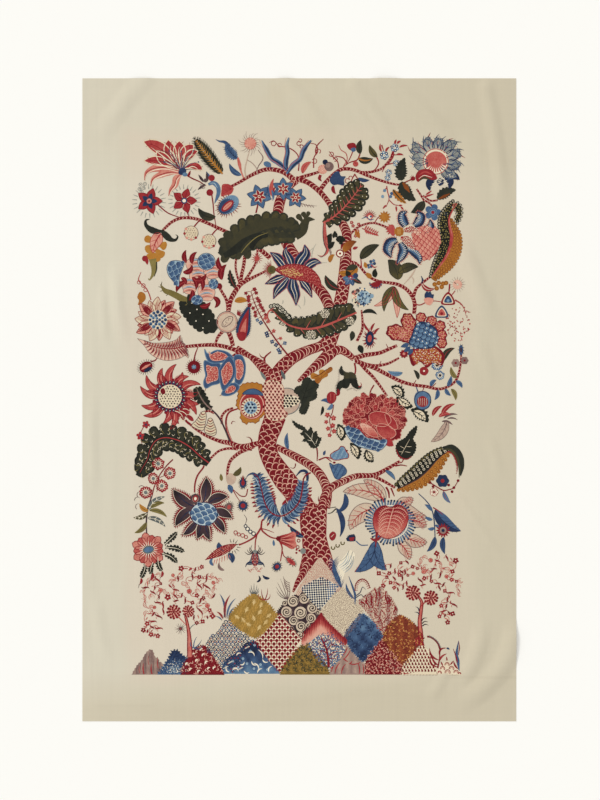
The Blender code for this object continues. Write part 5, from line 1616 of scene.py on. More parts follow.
def feather_leaves():
    spine = smooth([(222.6, 174), (214, 164), (206, 154), (200, 146), (195.4, 139.8)], 1.0)
    d, sd = sides(spine)
    s = along(spine)
    for k, pos in enumerate(np.arange(1.0, s[-1] - 1, 1.35)):
        i = int(np.searchsorted(s, pos))
        t = pos / s[-1]
        reach = 8.8 * math.sin(math.pi * min(0.97, t * 0.86 + 0.14)) ** 0.6
        for sg in (1, -1):
            dr = sd[i] * sg + d[i] * 0.9
            dr /= np.hypot(*dr)
            b = spine[i] + dr * reach
            leaf(spine[i], b, 2.0, bend=0.1 * sg, dye="leafgreen", tone=0.08 + 0.3 * (k % 2), layer=4.2)
            stroke("leafgreen", [b, b + dr * 2.2], (0.5, 0.15), 4.2, 0.1, curve=False)
            if k % 2:
                stroke("ochre", [spine[i], spine[i] + dr * reach * 0.55], (0.9, 0.3), 4.8, 0.6, curve=False)
    stroke("ochre", spine, (1.8, 1.4, 0.9, 0.3), 5.0, 0.5, curve=False)
    for k in range(6):
        curl = polar((195.4, 139.8), -2.8 + k * 0.25, 3.4)
        stroke("leafgreen", [(195.4, 139.8), curl], (0.5, 0.15), 4.2, 0.2, curve=False)
    # blue feather, its pink stem, and the small blue leaf
    leaf((237.4, 158.4), (226, 143.4), 10.4, bend=0.1, dye="indigo", tone=0.44, layer=4.4, rib=("indigo", 0.14, 0.7), teeth=11, bite=0.22, veins=7, vein=("indigo", 0.16, 0.5), belly=0.4)
    stroke("indigo", [(229.6, 147.6), (225, 142.4), (219.6, 141.4), (215.8, 139.6)], (4.6, 3.4, 2.0, 0.4), 4.3, 0.32)
    stroke("madder", [(237.8, 157.6), (239.4, 164), (241, 171), (243.6, 178)], (1.8, 3.4, 1.6, 1.2), 4.0, 0.66)
    blue_leaf((241.4, 175), (229.4, 163.6), 5.4, 0.16, tone=0.34, rib=("indigo", 0.6, 0.4))
    # pink dandelion with long grey hairs
    c = (250.4, 143.6)
    for i in range(20):
        a = TAU * i / 20
        stroke("umber", bow(polar(c, a, 4), polar(c, a, 9.4 + 1.6 * (i % 3)), 0.2, 6), (0.55, 0.4, 0.15), 4.0, 0.55, curve=False)
        petal("madder", c, a, 1, 6.4, 2.2, 4.4, 0.82 if i % 2 else 0.72, 0.6)
    disc("madder", c, 4.0, 4.9, 0.78)
    stroke("umber", [(250, 149.4), (247, 160), (245, 170), (246, 178)], (0.7, 0.9, 1.2, 1.4), 3.6, 0.84)
    stroke("umber", [(258, 150), (263, 158), (258.6, 166), (256, 172)], (0.6, 0.9, 0.9, 0.5), 3.6, 0.5)
    stroke("umber", [(247, 160), (252, 163), (256.6, 168.6), (258, 175)], (0.8, 0.8, 0.7), 3.6, 0.7)
    # three long wavy blue leaves
    for pts, w in (
        ([(287.4, 171), (279, 163.4), (271.6, 158.6), (267, 151), (261.6, 140.4)], (1.6, 5.2, 4.6, 5.0, 0.6)),
        ([(286.6, 171), (285.8, 162), (287.6, 152.6), (287, 145), (288.6, 137.4)], (2.4, 5.4, 4.4, 3.8, 0.5)),
        ([(286.6, 174), (293, 165), (300, 159), (303.6, 150), (311, 140.2)], (2.0, 5.2, 4.8, 5.2, 0.8)),
    ):
        stroke("indigo", pts, w, 4.2, 0.5)
        stroke("indigo", A(pts) + [1.0, 0.4], tuple(v * 0.36 for v in w), 4.7, 0.16)
        stroke("madder", A(pts) - [w[1] * 0.42, 0], (0.3, 0.6, 0.5, 0.3), 4.8, 0.6)
    fill("indigo", ring_points((267.4, 164.4), 4.0, 16, 2.8, rot=0.4), 4.4, 0.5)
    stroke("indigo", [(270, 166.4), (273, 169)], (0.8, 0.6), 4.2, 0.2, curve=False)
    # tendrils
    for pts in ([(269.4, 142.6), (274, 141), (279, 146), (285, 147), (292, 149.6), (297.6, 155), (299, 163), (298.4, 171)], [(310.6, 143.4), (316, 145), (317.6, 151.6), (314, 157.6), (313.6, 168)], [(323.6, 139), (317.6, 145), (315.6, 150), (316, 155)], [(329, 151.4), (333, 157), (337.6, 162), (338.6, 168)], [(334.6, 156), (343, 158), (347.6, 164)]):
        stroke("madder", pts, (0.5, 1.1, 1.0, 1.2), 4.0, 0.28)
    for x, y, r, a0 in ((273.6, 143.6, 2.3, 0.0), (279.6, 145.2, 1.8, 1.0), (298.8, 143.6, 2.0, 0.5), (301.6, 146.6, 1.7, 2.0), (300.2, 140.6, 1.6, 4.0), (318.4, 151.4, 2.2, 2.0), (314.4, 161.2, 2.4, 3.6), (331.4, 154.4, 2.2, 4.0), (335.4, 159.4, 2.0, 3.0), (347.4, 181, 2.3, 0.4), (350.6, 178, 1.8, 2.0)):
        ring("madder", (x, y), r, 0.7, 4.2, 0.3, a0=a0, a1=a0 + 5.4, n=14)
    leaf((302.6, 173.6), (311.6, 162), 5.6, bend=0.18, dye="madder", tone=0.6, layer=4.4, rib=("madder", 0.3, 0.5))
    # round buds and blue cup at the fork of the top branch
    disc("madder", (322.6, 169.4), 4.8, 4.6, 0.88)
    dots_in(ring_points((322.6, 169.4), 4.4, 18), 1.5, 0.4, 5.0, "madder", 0.5, n=5)
    disc("umber", (329, 166.6), 4.7, 5.2, 0.44, 20)
    disc("umber", (327.8, 165.4), 2.4, 5.5, 0.6, 14)
    disc("indigo", (325.2, 162.2), 2.7, 5.4, 0.08, 14)
    fill("indigo", smooth([(329.6, 180), (334, 173), (338.6, 171.4), (341, 176), (345.6, 176.6), (344, 180), (344, 185.6), (338, 184.6), (333, 185)], 0.8, closed=True), 4.8, 0.26)
    stroke("madder", [(320.6, 175), (319.4, 178.6), (321.6, 181.4)], (2.6, 3.2, 0.5), 4.4, 0.24)
    leaf((333.6, 185.6), (336, 194), 3.6, bend=-0.2, dye="madder", tone=0.22, layer=4.4)


def top_flowers():
    # trumpet, blue cup and striped bud
    fill("madder", smooth([(233.6, 188.4), (229, 184.4), (222.6, 184.6), (221.6, 190), (221.4, 196.4), (226.6, 195), (231, 194)], 0.9, closed=True), 4.8, 0.46)
    for k in range(4):
        stroke("madder", [(232.4, 188.8), (222.6, 186.4 + k * 2.6)], (0.4, 0.6, 0.2), 5.4, 0.24, curve=False)
    stroke("indigo", [(208.4, 184.6), (213, 183), (217.6, 186.4), (218.4, 193.6), (214.6, 203.6)], (2.4, 4.6, 4.2, 3.4, 0.4), 4.8, 0.5)
    stroke("indigo", [(210, 183.4), (214.4, 183.4), (217.4, 188)], (0.4, 0.9, 0.4), 5.4, 0.86)
    for q, r, dye, tone in (((211.6, 178), 3.2, "madder", 0.3), ((209.8, 192.6), 3.4, "madder", 0.26), ((205.6, 180.6), 2.0, "umber", 0.3)):
        disc(dye, q, r, 5.0, tone, 14)
    for a, b in (((207.6, 181.4), (206.6, 172)), ((203.6, 182), (198.4, 174.6)), ((205.4, 184), (197.6, 190))):
        leaf(a, b, 2.6, dye="umber", tone=0.2, layer=4.4)
    blue_leaf((210.6, 177.6), (206.4, 171.4), 2.8, 0.1, tone=0.4, rib=None)
    for k in range(4):
        stroke("umber", [(199.6 + k * 0.8, 184.4 + k * 1.4), (203.4 + k * 0.6, 183.6 + k * 1.4)], (0.5, 0.7), 4.6, 0.4, curve=False)
    # five pointed red stars with grey strokes round them
    for c, r, rot, blue in (((149.2, 201.2), 13.4, -0.35, 1), ((184.2, 200.8), 12.8, -0.62, 0)):
        for i in range(22):
            a = TAU * i / 22 + 0.1
            stroke("grey", [polar(c, a, r * 0.92), polar(c, a, r * 1.28)], (1.1, 1.3, 0.4), 3.6, 0.75, curve=False)
        star(c, r, 5, 4.6, "madder", 0.36, width=0.56, blunt=0.16, edge=("madder", 0.16, 0.5), inner=("indigo", 0.16, 0.62) if blue else None, vein=None if blue else ("madder", 0.16, 0.9))
        if blue:
            disc("madder", c, 2.6, 6.2, 0.7)
            disc("madder", c, 1.1, 6.5, 0.2)
        else:
            disc("indigo", c, 3.0, 6.2, 0.3)
            disc("reserve", c, 1.8, 6.5, 1.0)
            for i in range(5):
                stroke("reserve", [polar(c, -0.62 + TAU * i / 5 - 0.22, 3.4), polar(c, -0.62 + TAU * i / 5 - 0.1, 8.4)], (0.3, 0.7, 0.2), 6.0, 0.7, curve=False)
    for x, y in ((140.6, 184.6), (139.6, 189), (143.6, 188), (141.6, 192), (145, 184)):
        ring("grey", (x, y), 1.7, 0.5, 3.8, 0.5, n=8)
        disc("umber", (x, y), 0.5, 4.0, 0.3, n=5)
    # fringed oval flower and olive leaf
    c = (228.8, 204.8)
    fill("indigo", ring_points(c, 11.4, 26, 8.0, rot=-0.72), 4.6, 0.66)
    fill("indigo", ring_points((226, 206.4), 8.6, 24, 6.6, rot=-0.72), 4.9, 0.28)
    fill("madder", ring_points((227.6, 206), 7.6, 22, 3.6, rot=-0.72), 5.3, 0.3)
    fill("madder", ring_points((227.6, 206), 5.8, 20, 2.0, rot=-0.72), 5.6, 0.76)
    stroke("madder", [(223.6, 209.6), (231.6, 202.4)], (0.3, 0.8, 0.3), 5.9, 0.2, curve=False)
    rim = ring_points(c, 11.4, 30, 8.0, rot=-0.72)
    for i, q in enumerate(rim):
        v = np.asarray(q) - np.asarray(c)
        v = v / np.hypot(*v)
        if v[0] - v[1] < 1.1:
            stroke("madder", [q, np.asarray(q) + v * (2.6 + 1.4 * (i % 2))], (1.0, 0.2), 4.7, 0.26, curve=False)
    fringe(ring_points((226, 206.4), 8.8, 30, 6.8, rot=-0.72), 1, 1.6, 4.85, "umber", 0.1, gap=2.0, width=0.8, lean=0.0)
    leaf((215.6, 216.6), (198.4, 208), 8.2, bend=0.22, dye="leafgreen", tone=0.45, layer=4.4, rib=("leafgreen", 0.1, 0.7), tip_tone=0.2)
    # blue stars with red hearts, red spindle between
    for c, r, n, rot in (((259.2, 196.6), 12.6, 6, 0.2), ((283.2, 189), 11.4, 6, 0.5), ((295.6, 197.6), 10.6, 6, 0.1)):
        star(c, r, n, 4.8, "indigo", 0.46, width=0.62, blunt=0.12, edge=("indigo", 0.2, 0.5), inner=("reserve", 0.55, 0.56), rot=rot)
        star(c, r * 0.56, n, 6.2, "madder", 0.3, width=0.42, blunt=0.2, rot=rot)
        disc("reserve", c, 1.5, 6.8, 0.6)
        disc("madder", c, 0.9, 7.1, 0.25)
    for a, b, w, dye, tn in (((272.6, 197), (273.6, 178.6), 4.4, "madder", 0.55), ((270.4, 198), (268.4, 184.6), 2.8, "indigo", 0.4), ((273.4, 197), (275.6, 186), 2.4, "madder", 0.3), ((271.6, 190), (272.6, 201), 2.6, "indigo", 0.5)):
        leaf(a, b, w, bend=0.1, dye=dye, tone=tn, layer=4.4)
    for i in range(5):
        stroke("umber", [(301 + i * 2.6, 203.4 + i * 0.4), (302.6 + i * 2.8, 206.8 + i * 0.2)], (0.5, 0.6), 4.2, 0.55, curve=False)
    stroke("umber", [(299.6, 203), (308, 205.6), (317, 206)], (0.7, 0.6, 0.2), 4.2, 0.5)
    twig([(256, 213), (257.6, 206), (258.6, 200)], 1.6, 3.6, 0.2)


def great_leaf():
    """The big dark lobed leaf across the column, its tail curled up at the right."""
    spine = [(221, 256), (229, 248), (239, 240), (250, 234.6), (262, 230.4), (275, 228.6), (287, 230.6), (297, 235)]
    oak(spine, 34, lobes=11, layer=4.6, tone=0.3, inner=0.3, rib=None, curls=0, fat=1.25, blunt=0.34, belly=0.46, glow=0.46)
    for a, b, ww in (((240, 243), (237, 259.6), 8.0), ((247, 240), (247.6, 259), 8.0), ((233, 248), (222, 262), 8.0)):
        club(a, b, ww, 4.8, "leafgreen", 0.4)
    stroke("leafgreen", [(231, 246), (246, 232.6), (262, 224.6), (280, 222.6), (294, 228)], (6, 11, 12, 9, 3), 5.4, 0.44)
    stroke("leafgreen", [(224, 256), (234, 250.6), (247, 242), (258, 236.6), (268, 235.6)], (5, 8, 10, 8, 3), 5.5, 0.16)
    stroke("leafgreen", [(250, 248), (255, 241), (262, 237)], (7, 6, 2.6), 5.6, 0.1)
    stroke("leafgreen", [(242.6, 255), (246, 247), (250.6, 240)], (7, 6.6, 2.0), 5.7, 0.34)
    stroke("leafgreen", [(241, 253), (248, 244.6), (257, 237), (268, 232.6)], (0.5, 1.0, 0.8, 0.3), 6.0, 0.9)
    stroke("leafgreen", [(273, 236), (284, 235), (293, 236.6)], (5, 6, 3), 5.4, 0.34)
    stroke("leafgreen", [(295, 235.6), (302, 231), (304.6, 224), (308, 219.6), (314.8, 219.6)], (10, 9.4, 9.0, 6.0, 0.6), 4.8, 0.42)
    for a, b, w_ in (((300, 228), (293.6, 221), 5.6), ((303, 222), (297, 214.6), 5.6), ((305.6, 219), (302.6, 212), 5.0), ((306.6, 218), (309, 211.6), 4.2)):
        club(a, b, w_, 4.9, "leafgreen", 0.44)


def left_lobed():
    """The leaf at the left edge: a dark moustache over rose and ochre lobes."""
    stroke("leafgreen", [(162.6, 231), (157, 231.6), (150.6, 229.4), (146, 225), (146, 220.4), (149.6, 219.4)], (1.6, 5.6, 6.6, 4.4, 2.6, 0.5), 5.2, 0.2)
    stroke("leafgreen", [(161.6, 230), (166, 235.6), (171, 239.6), (175.6, 240), (177.8, 236.6), (175.6, 234.6)], (1.6, 6.4, 6.6, 3.6, 2.0, 0.4), 5.2, 0.22)
    for a, b, w in (((156, 242), (144.6, 238), 7.4), ((156, 246), (145.4, 250.6), 8.6), ((158, 244), (166.6, 246.6), 8.6), ((156, 250), (163.6, 256.6), 8.4), ((154, 252), (148, 259), 7.4), ((155.6, 253), (157, 262), 8.0)):
        club(a, b, w, 4.4, "ochre", 0.56)
    leaf((161, 233.6), (153, 253), 11.6, bend=-0.08, dye="madder", tone=0.8, layer=5.0, rib=("madder", 0.42, 1.2), veins=4, vein=("madder", 0.55, 0.6), edge=("madder", 0.4, 0.5), belly=0.36)
    disc("madder", (145, 258.6), 3.0, 4.6, 0.3, 12)
    leaf((146, 257), (147.6, 265), 3.6, dye="madder", tone=0.36, layer=4.6)
    stroke("leafgreen", [(152.6, 259), (154, 267), (153, 274), (149.6, 280), (148.4, 278.4)], (7.4, 6.4, 4.4, 2.2, 0.5), 4.6, 0.9)
    stroke("leafgreen", [(156.6, 262), (156.4, 270), (154, 277)], (1.2, 1.4, 0.4), 5.0, 0.4)
    # ghost fruits hanging from the arching branch
    for x, y in ((191.2, 233), (209, 241.2)):
        disc("reserve", (x, y), 7.0, 4.0, 0.3, 20)
        outline("umber", ring_points((x, y), 7.0, 20), 0.6, 4.4, 0.55)
        dots_in(ring_points((x, y), 6.2, 18), 2.4, 0.55, 4.4, "umber", 0.55, n=5)
        for i in range(5):
            q = polar((x, y), 0.8 + i * 0.75, 6.6)
            disc("madder", q, 1.35, 4.8, 0.34 if i in (0, 3) else 0.8, n=9)
        twig([(x + 3, y - 6.4), (x + 7, y - 11), (x + 11, y - 14)], 1.4, 3.8, 0.24)


def cluster_flower():
    """The banded flower of blue scale clusters and dark red flames, upper left."""
    bands = (
        [(186, 262), (194, 258), (203, 262), (206, 270), (198, 274), (189, 271)],
        [(190, 272), (199, 272), (206, 276), (208, 284), (199, 287), (191, 283)],
        [(183, 280), (192, 280), (197, 287), (193, 294), (184, 292)],
        [(204, 267), (214, 263), (222, 268), (220, 276), (211, 279), (205, 275)],
        [(200, 286), (209, 285), (215, 291), (212, 300), (203, 300), (198, 293)],
    )
    for k, b in enumerate(bands):
        p = smooth(b, 1.0, closed=True)
        fill("madder", p, 4.2, 0.9, step=3)
        outline("umber", p, 0.45, 4.3, 0.5)
        mid = p.mean(0)
        for j in range(4):
            yy = mid[1] - 5 + j * 3.3
            stroke("madder" if j % 2 else "indigo", bow((mid[0] - 6.4, yy + 0.8), (mid[0] + 6.4, yy), 0.16, 8), (0.4, 1.5 if j % 2 else 1.7, 0.4), 4.6, 0.66 if j % 2 else 0.8, curve=False)
            stroke("umber", bow((mid[0] - 6.2, yy + 1.8), (mid[0] + 6.2, yy + 1.0), 0.16, 8), (0.2, 0.55, 0.2), 4.8, 0.42, curve=False)
    for poly, r, ang in (
        (smooth([(167, 268), (170, 262), (177, 260.6), (184, 263), (182, 270), (179.6, 277), (178.6, 286.6), (172.6, 280.6), (168.4, 275)], 1, closed=True), 3.7, 0.35),
        (ring_points((206.4, 261.6), 8.8, 24, 8.4), 3.5, -1.2),
        (ring_points((197, 300), 5.8, 20, 4.8), 2.8, 1.2),
        (ring_points((213.6, 284), 4.6, 16, 5.2), 2.6, 0.3),
    ):
        fill("indigo", poly, 5.4, 0.5, step=3)
        scales(poly, r, ang, 5.7, "indigo", 0.26, 0.56, back=("indigo", 0.8), squash=0.95, shrink=0.9)
        outline("indigo", poly, 0.5, 6.4, 0.2)
    for a, b, w, be in (
        ((186.6, 263), (186.2, 250), 5.0, 0.18), ((192.6, 264), (197, 252), 5.0, 0.22), ((222.6, 270), (219, 257), 5.2, 0.2), ((222, 280), (226.6, 264.6), 6.4, 0.2),
        ((183, 272), (192, 264.6), 5.4, -0.3), ((192, 279), (206.4, 273.4), 6.0, -0.3), ((192, 277), (195.6, 290), 5.0, 0.2), ((198, 276), (201.6, 291), 5.0, 0.2),
        ((186, 282), (176.6, 292.4), 5.4, -0.2), ((192, 290), (188.6, 300.4), 5.2, 0.2), ((200, 306), (210.6, 302), 5.0, -0.2), ((213, 297), (214.6, 308), 5.0, 0.4),
        ((181, 278), (186, 285), 4.6, 0.2), ((216.6, 285), (220.6, 289.6), 6.0, 0.2),
    ):
        leaf(a, b, w, bend=be, dye="madder", tone=0.12, layer=5.2, rib=("madder", 0.45, 0.5))
    bark([(218.6, 286), (222, 292), (226, 299), (228, 306), (228, 313)], (2.4, 2.4, 2.6, 3.4, 3.4), 2.6)


def left_column():
    """Branches, fruit, leaves and buds between the great leaf and the middle branch."""
    bark([(228.4, 312), (230.4, 301), (235, 292), (240, 285), (246, 281), (254, 277), (266, 271)], (3.6, 4.4, 4.6, 4.2, 3.2, 2.4, 1.8), 2.8)
    bark([(240, 286), (241.6, 275), (243.6, 266), (244.8, 256)], (3.4, 3.2, 3.0, 3.0), 2.6)
    bark([(240, 284), (237, 275), (235.6, 266), (236.4, 257)], (2.0, 1.8, 1.8, 1.8), 2.5)
    bark([(243, 283), (250, 273), (255.6, 263), (257.4, 252), (257, 246)], (2.4, 2.2, 2.0, 1.8, 1.6), 2.5)
    for i in range(13):
        a = TAU * i / 13
        stroke("madder", [(257, 258.4), polar((257, 258.4), a, 6.0)], (1.3, 0.2), 4.4, 0.4, curve=False)
    disc("madder", (257, 258.4), 2.4, 4.7, 0.5)
    leaf((236, 288), (230, 269.4), 6.6, bend=0.1, dye="leafgreen", tone=0.22, layer=4.2, rib=("madder", 0.4, 0.4), teeth=6, bite=0.2)
    leaf((234.6, 301.6), (248, 301.4), 6.0, bend=0.12, dye="ochre", tone=0.52, layer=4.2, rib=("ochre", 0.15, 0.4))
    # peach fruit with an almond
    c = (227, 322)
    disc("umber", c, 10.6, 4.8, 0.93, 32)
    outline("umber", ring_points(c, 10.4, 32), 0.8, 5.2, 0.5)
    outline("madder", ring_points(c, 9.2, 30), 0.5, 5.2, 0.62)
    outline("umber", ring_points((c[0] + 0.4, c[1] - 0.4), 6.8, 24, 3.4, rot=-0.75), 0.7, 5.4, 0.4)
    for k in range(3):
        curl_line((c[0] - 2.6 + k * 2.6, c[1] + 2.2 - k * 2.4), 1.3, k, 4.4, 5.4, "umber", 0.45, 0.5)
    for i in range(7):
        a = -1.5 + i * 0.34
        stroke("madder", [(237.4, 314.4), polar((237.4, 314.4), a, 6.0 - abs(i - 3) * 0.5)], (1.4, 0.3), 4.6, 0.26, curve=False)
    bark([(223, 331), (218, 337), (215.6, 343)], (3.2, 2.6, 2.0), 2.6)
    bark([(228.6, 332), (231, 338), (233, 346)], (4.2, 4.0, 3.6), 2.6)
    # teardrop bud
    leaf((241.8, 338.6), (249.6, 304.6), 14.0, bend=0.03, dye="indigo", tone=0.22, layer=4.6, belly=0.3)
    leaf((242, 337.6), (248.8, 309), 9.0, bend=0.03, dye="madder", tone=0.3, layer=5.0, belly=0.26)
    leaf((242.2, 337), (246.6, 318), 5.4, bend=0.03, dye="madder", tone=0.66, layer=5.3, belly=0.26)
    fill("madder", smooth([(236.6, 334), (241.6, 331.6), (246.6, 334), (244.6, 340), (239.6, 340.4)], 0.8, closed=True), 5.4, 0.3)
    fringe(blade(bow((241.8, 338.6), (249.6, 304.6), 0.03, 20), 14.0, belly=0.3), 1, 1.5, 4.5, "umber", 0.15, gap=1.6, width=0.6, lean=0.3)
    fringe(blade(bow((241.8, 338.6), (249.6, 304.6), 0.03, 20), 14.0, belly=0.3), -1, 1.5, 4.5, "umber", 0.15, gap=1.6, width=0.6, lean=0.3)
    # raceme: mauve flowers above, blue drops below
    line = smooth([(251, 292), (254.6, 303), (260.6, 316), (268.6, 329), (278, 342.6), (291, 359)], 1.0)
    stroke("madder", line, (0.6, 1.3, 1.8), 4.0, 0.18, curve=False)
    pts = even(line, 21)
    d, sd = sides(pts)
    rr = dice((25, 3))
    for i in range(0, 18):
        for sg in (1, -1):
            if i > 8 and rr.random() < 0.22:
                continue
            q = pts[i] + sd[i] * sg * rr.uniform(3.0, 5.4) + d[i] * rr.uniform(-1.6, 0.8)
            stroke("madder", bow(pts[i], q, 0.2 * sg, 5), (0.5, 0.4), 4.0, 0.3, curve=False)
            if i < 7 or (i < 12 and sg > 0) or rr.random() < 0.3:
                blossom(q, rr.uniform(1.9, 2.5), 5, "madder", 0.26 if i < 8 else 0.55, 4.6, ("umber", 0.2))
            else:
                blossom(q, rr.uniform(1.9, 2.4), 4, "indigo", 0.2 + 0.3 * rr.random(), 4.6, ("reserve", 0.7))
    # dark leaf with a long olive tail
    oak([(216.6, 330), (208, 323.4), (200, 316.4), (191.6, 307.6), (184, 299.6)], 25, lobes=9, layer=4.4, tone=0.12, inner=0.16, rib=None, curls=0, fat=1.2, blunt=0.34, belly=0.4)
    stroke("leafgreen", [(188, 303), (180, 297.6), (171, 293), (165, 290.6), (160.4, 284.6)], (10, 6.6, 6.0, 5.0, 0.6), 4.6, 0.8)
    for a, b in (((165, 290), (160, 291.4)), ((163, 288), (158.6, 286.6)), ((170, 292), (166, 296)), ((161, 286), (162, 281.6))):
        stroke("leafgreen", [a, b], (1.2, 0.3), 4.6, 0.6, curve=False)
    for q in ((192, 303), (197, 309.4), (190, 313), (203, 314.4), (196, 321), (209, 321), (203, 328)):
        disc("reserve", q, 0.7, 5.6, 0.9, n=6)
    # ochre bud and curls at the left edge
    fill("ochre", smooth([(137.4, 297), (140, 292), (144.6, 293.6), (145.6, 299), (141.6, 303.4), (138, 305), (139, 300.6)], 0.8, closed=True), 4.6, 0.42)
    stroke("madder", [(141, 272), (138.6, 280), (142.6, 285), (146, 288), (149, 293.6), (151, 300)], (0.4, 0.9, 0.9, 1.0, 1.1), 4.0, 0.45)
    for x, y, r in ((139, 282.4, 1.7), (143.4, 285.6, 1.9), (145.6, 290, 1.8)):
        ring("madder", (x, y), r, 0.65, 4.2, 0.45, n=12)


def cone_flower():
    """The scaly red and yellow cone with striped blue petals, in the middle of the crown."""
    for pts, w in (
        ([(287, 270), (281, 262), (276, 256.6), (270, 252.4)], (4, 10, 8.4, 0.6)), ([(292, 268), (288.6, 259), (285.6, 252), (286.6, 246.6)], (5, 10.6, 7.4, 0.6)),
        ([(296, 269), (301, 260), (305.6, 253), (304.6, 244.6)], (5, 11.6, 10, 0.6)), ([(303, 271), (309, 265), (315, 262), (321.4, 263)], (3, 8.6, 8, 0.6)),
        ([(285, 276), (278, 279), (271, 281.6), (265, 284)], (3, 8.4, 6, 0.6)), ([(288, 278), (282, 285), (277, 291), (273.4, 299)], (4, 10, 7.6, 0.6)),
        ([(293, 278), (293, 287), (295.6, 295), (296, 305.6)], (5, 11.4, 8.4, 0.6)), ([(300, 279), (304.6, 284.6), (308.6, 290), (312, 297.6)], (3, 8.6, 6, 0.6)),
    ):
        stroke("indigo", pts, w, 4.4, 0.30)
        line = smooth(pts, 1.0)
        _, sd = sides(line)
        wid = np.interp(np.linspace(0, 1, len(line)), np.linspace(0, 1, len(w)), w)
        for f in (-0.62, 0.0, 0.62):
            pp = (line + sd * (wid * 0.5 * f)[:, None])[1:-2]
            stroke("indigo", pp, (0.6, 2.5, 2.1, 0.5), 4.8, 0.08 if f else 0.24, curve=False)
        for f in (-0.32, 0.32):
            pp = (line + sd * (wid * 0.5 * f)[:, None])[1:-3]
            stroke("reserve", pp, (0.2, 0.62, 0.5, 0.2), 4.95, 0.66, curve=False)
        for sg in (1, -1):
            stroke("madder", line + sd * (wid * 0.53 * sg)[:, None], (0.3, 0.55, 0.3), 5.0, 0.5, curve=False)
    cone = blade(smooth([(275, 269.6), (284, 270.4), (296, 272), (307, 274.6), (316, 281), (321, 290)], 1.0), 15.5, belly=0.46)
    fill("madder", cone, 6.0, 0.4, step=2.4)
    flecks_in(cone, 1.75, 1.5, 6.5, "madder", 0.16, ang=0.5, width=0.6, curl=0.5)
    flecks_in(cone, 2.1, 1.3, 6.6, "madder", 0.7, ang=-0.6, width=0.55, curl=0.5)
    core = blade(smooth([(280, 270.6), (292, 272.6), (303, 275)], 1.0), 8, belly=0.5)
    flecks_in(core, 1.6, 1.4, 6.8, "ochre", 0.95, ang=0.4, width=0.8, curl=0.4)
    outline("madder", cone, 0.6, 6.9, 0.2)
    for i in range(18):
        a = math.pi * 0.5 + math.pi * (i + 0.5) / 18
        stroke("madder", [(271.4, 269.6), polar((271.4, 269.6), a, 7.6 + 1.6 * (i % 2))], (1.1, 0.2), 5.6, 0.34, curve=False)
    disc("leafgreen", (271.6, 269.8), 4.2, 6.2, 0.7, 16)
    for i in range(6):
        stroke("leafgreen", [(270, 267.6 + i * 0.8), (275, 267.4 + i)], (0.4, 0.7, 0.2), 6.6, 0.3, curve=False)
    for a, b in (((296, 304), (301, 309)), ((304, 296), (303.6, 306)), ((312, 268), (327, 262.6)), ((305, 262), (313, 248)), ((312, 262), (316, 244)), ((283, 300), (282, 304))):
        stroke("grey", bow(a, b, 0.1, 7), (0.4, 1.0, 0.3), 3.6, 0.9, curve=False)


def caterpillar():
    """The long dark leaf that hangs in a bow from the middle limb: lobed edge, dotted patches, pink midrib."""
    spine = [(270, 309.6), (275, 310.4), (281, 316), (288, 322), (297, 326), (308, 327), (320, 325), (332, 320.6), (343, 315.6), (355, 310)]
    p, d, sd, w = oak(spine, 27, lobes=13, layer=4.4, tone=0.2, inner=0.34, rib=None, curls=0, fat=1.25, blunt=0.5, belly=0.66, glow=0.5)
    for i in range(4, len(p) - 4, 3):
        for sgn in (1, -1):
            disc("reserve", p[i] + sd[i] * sgn * w[i] * 0.86, 0.42, 6.0, 0.8, n=6)
    for c, r in (((325, 313.6), 4.6), ((311, 335), 5.0), ((350, 321), 4.2), ((283, 324), 2.6)):
        disc("reserve", c, r, 5.6, 0.66, 18)
        dots_in(ring_points(c, r * 0.98, 18), 1.55, 0.72, 5.9, "leafgreen", 0.05, n=5)
    stroke("madder", [(268.4, 312), (272.6, 311), (280, 318.6), (290, 325.6), (306, 329), (322, 326.6), (340, 319.6), (356.6, 312.6)], (0.6, 1.4, 1.8, 2.2, 2.0, 1.6), 6.4, 0.55)
    for x, y, s in ((300, 328, -1), (316, 327.6, -1), (331, 323, -1), (306, 328.6, 1), (321, 326.6, 1), (337, 320.6, 1)):
        stroke("madder", [(x, y), (x + 4.6, y - 7 * s - 1)], (1.0, 0.3), 6.2, 0.6, curve=False)
    stroke("madder", [(270.6, 322), (267.6, 317), (268.6, 311.6), (274, 308)], (0.5, 1.2, 1.4, 0.6), 4.8, 0.5)
    ringed = smooth([(271, 306.4), (277, 305.6), (283.6, 311), (289, 317.6)], 0.9)
    for q in even(ringed, 8):
        disc("leafgreen", q, 2.3, 6.6, 0.06, 10)
        ring("reserve", q, 1.0, 0.5, 6.9, 0.95, n=8)


lily()
feather_leaves()
top_flowers()
great_leaf()
left_lobed()
cluster_flower()
left_column()
cone_flower()
caterpillar()


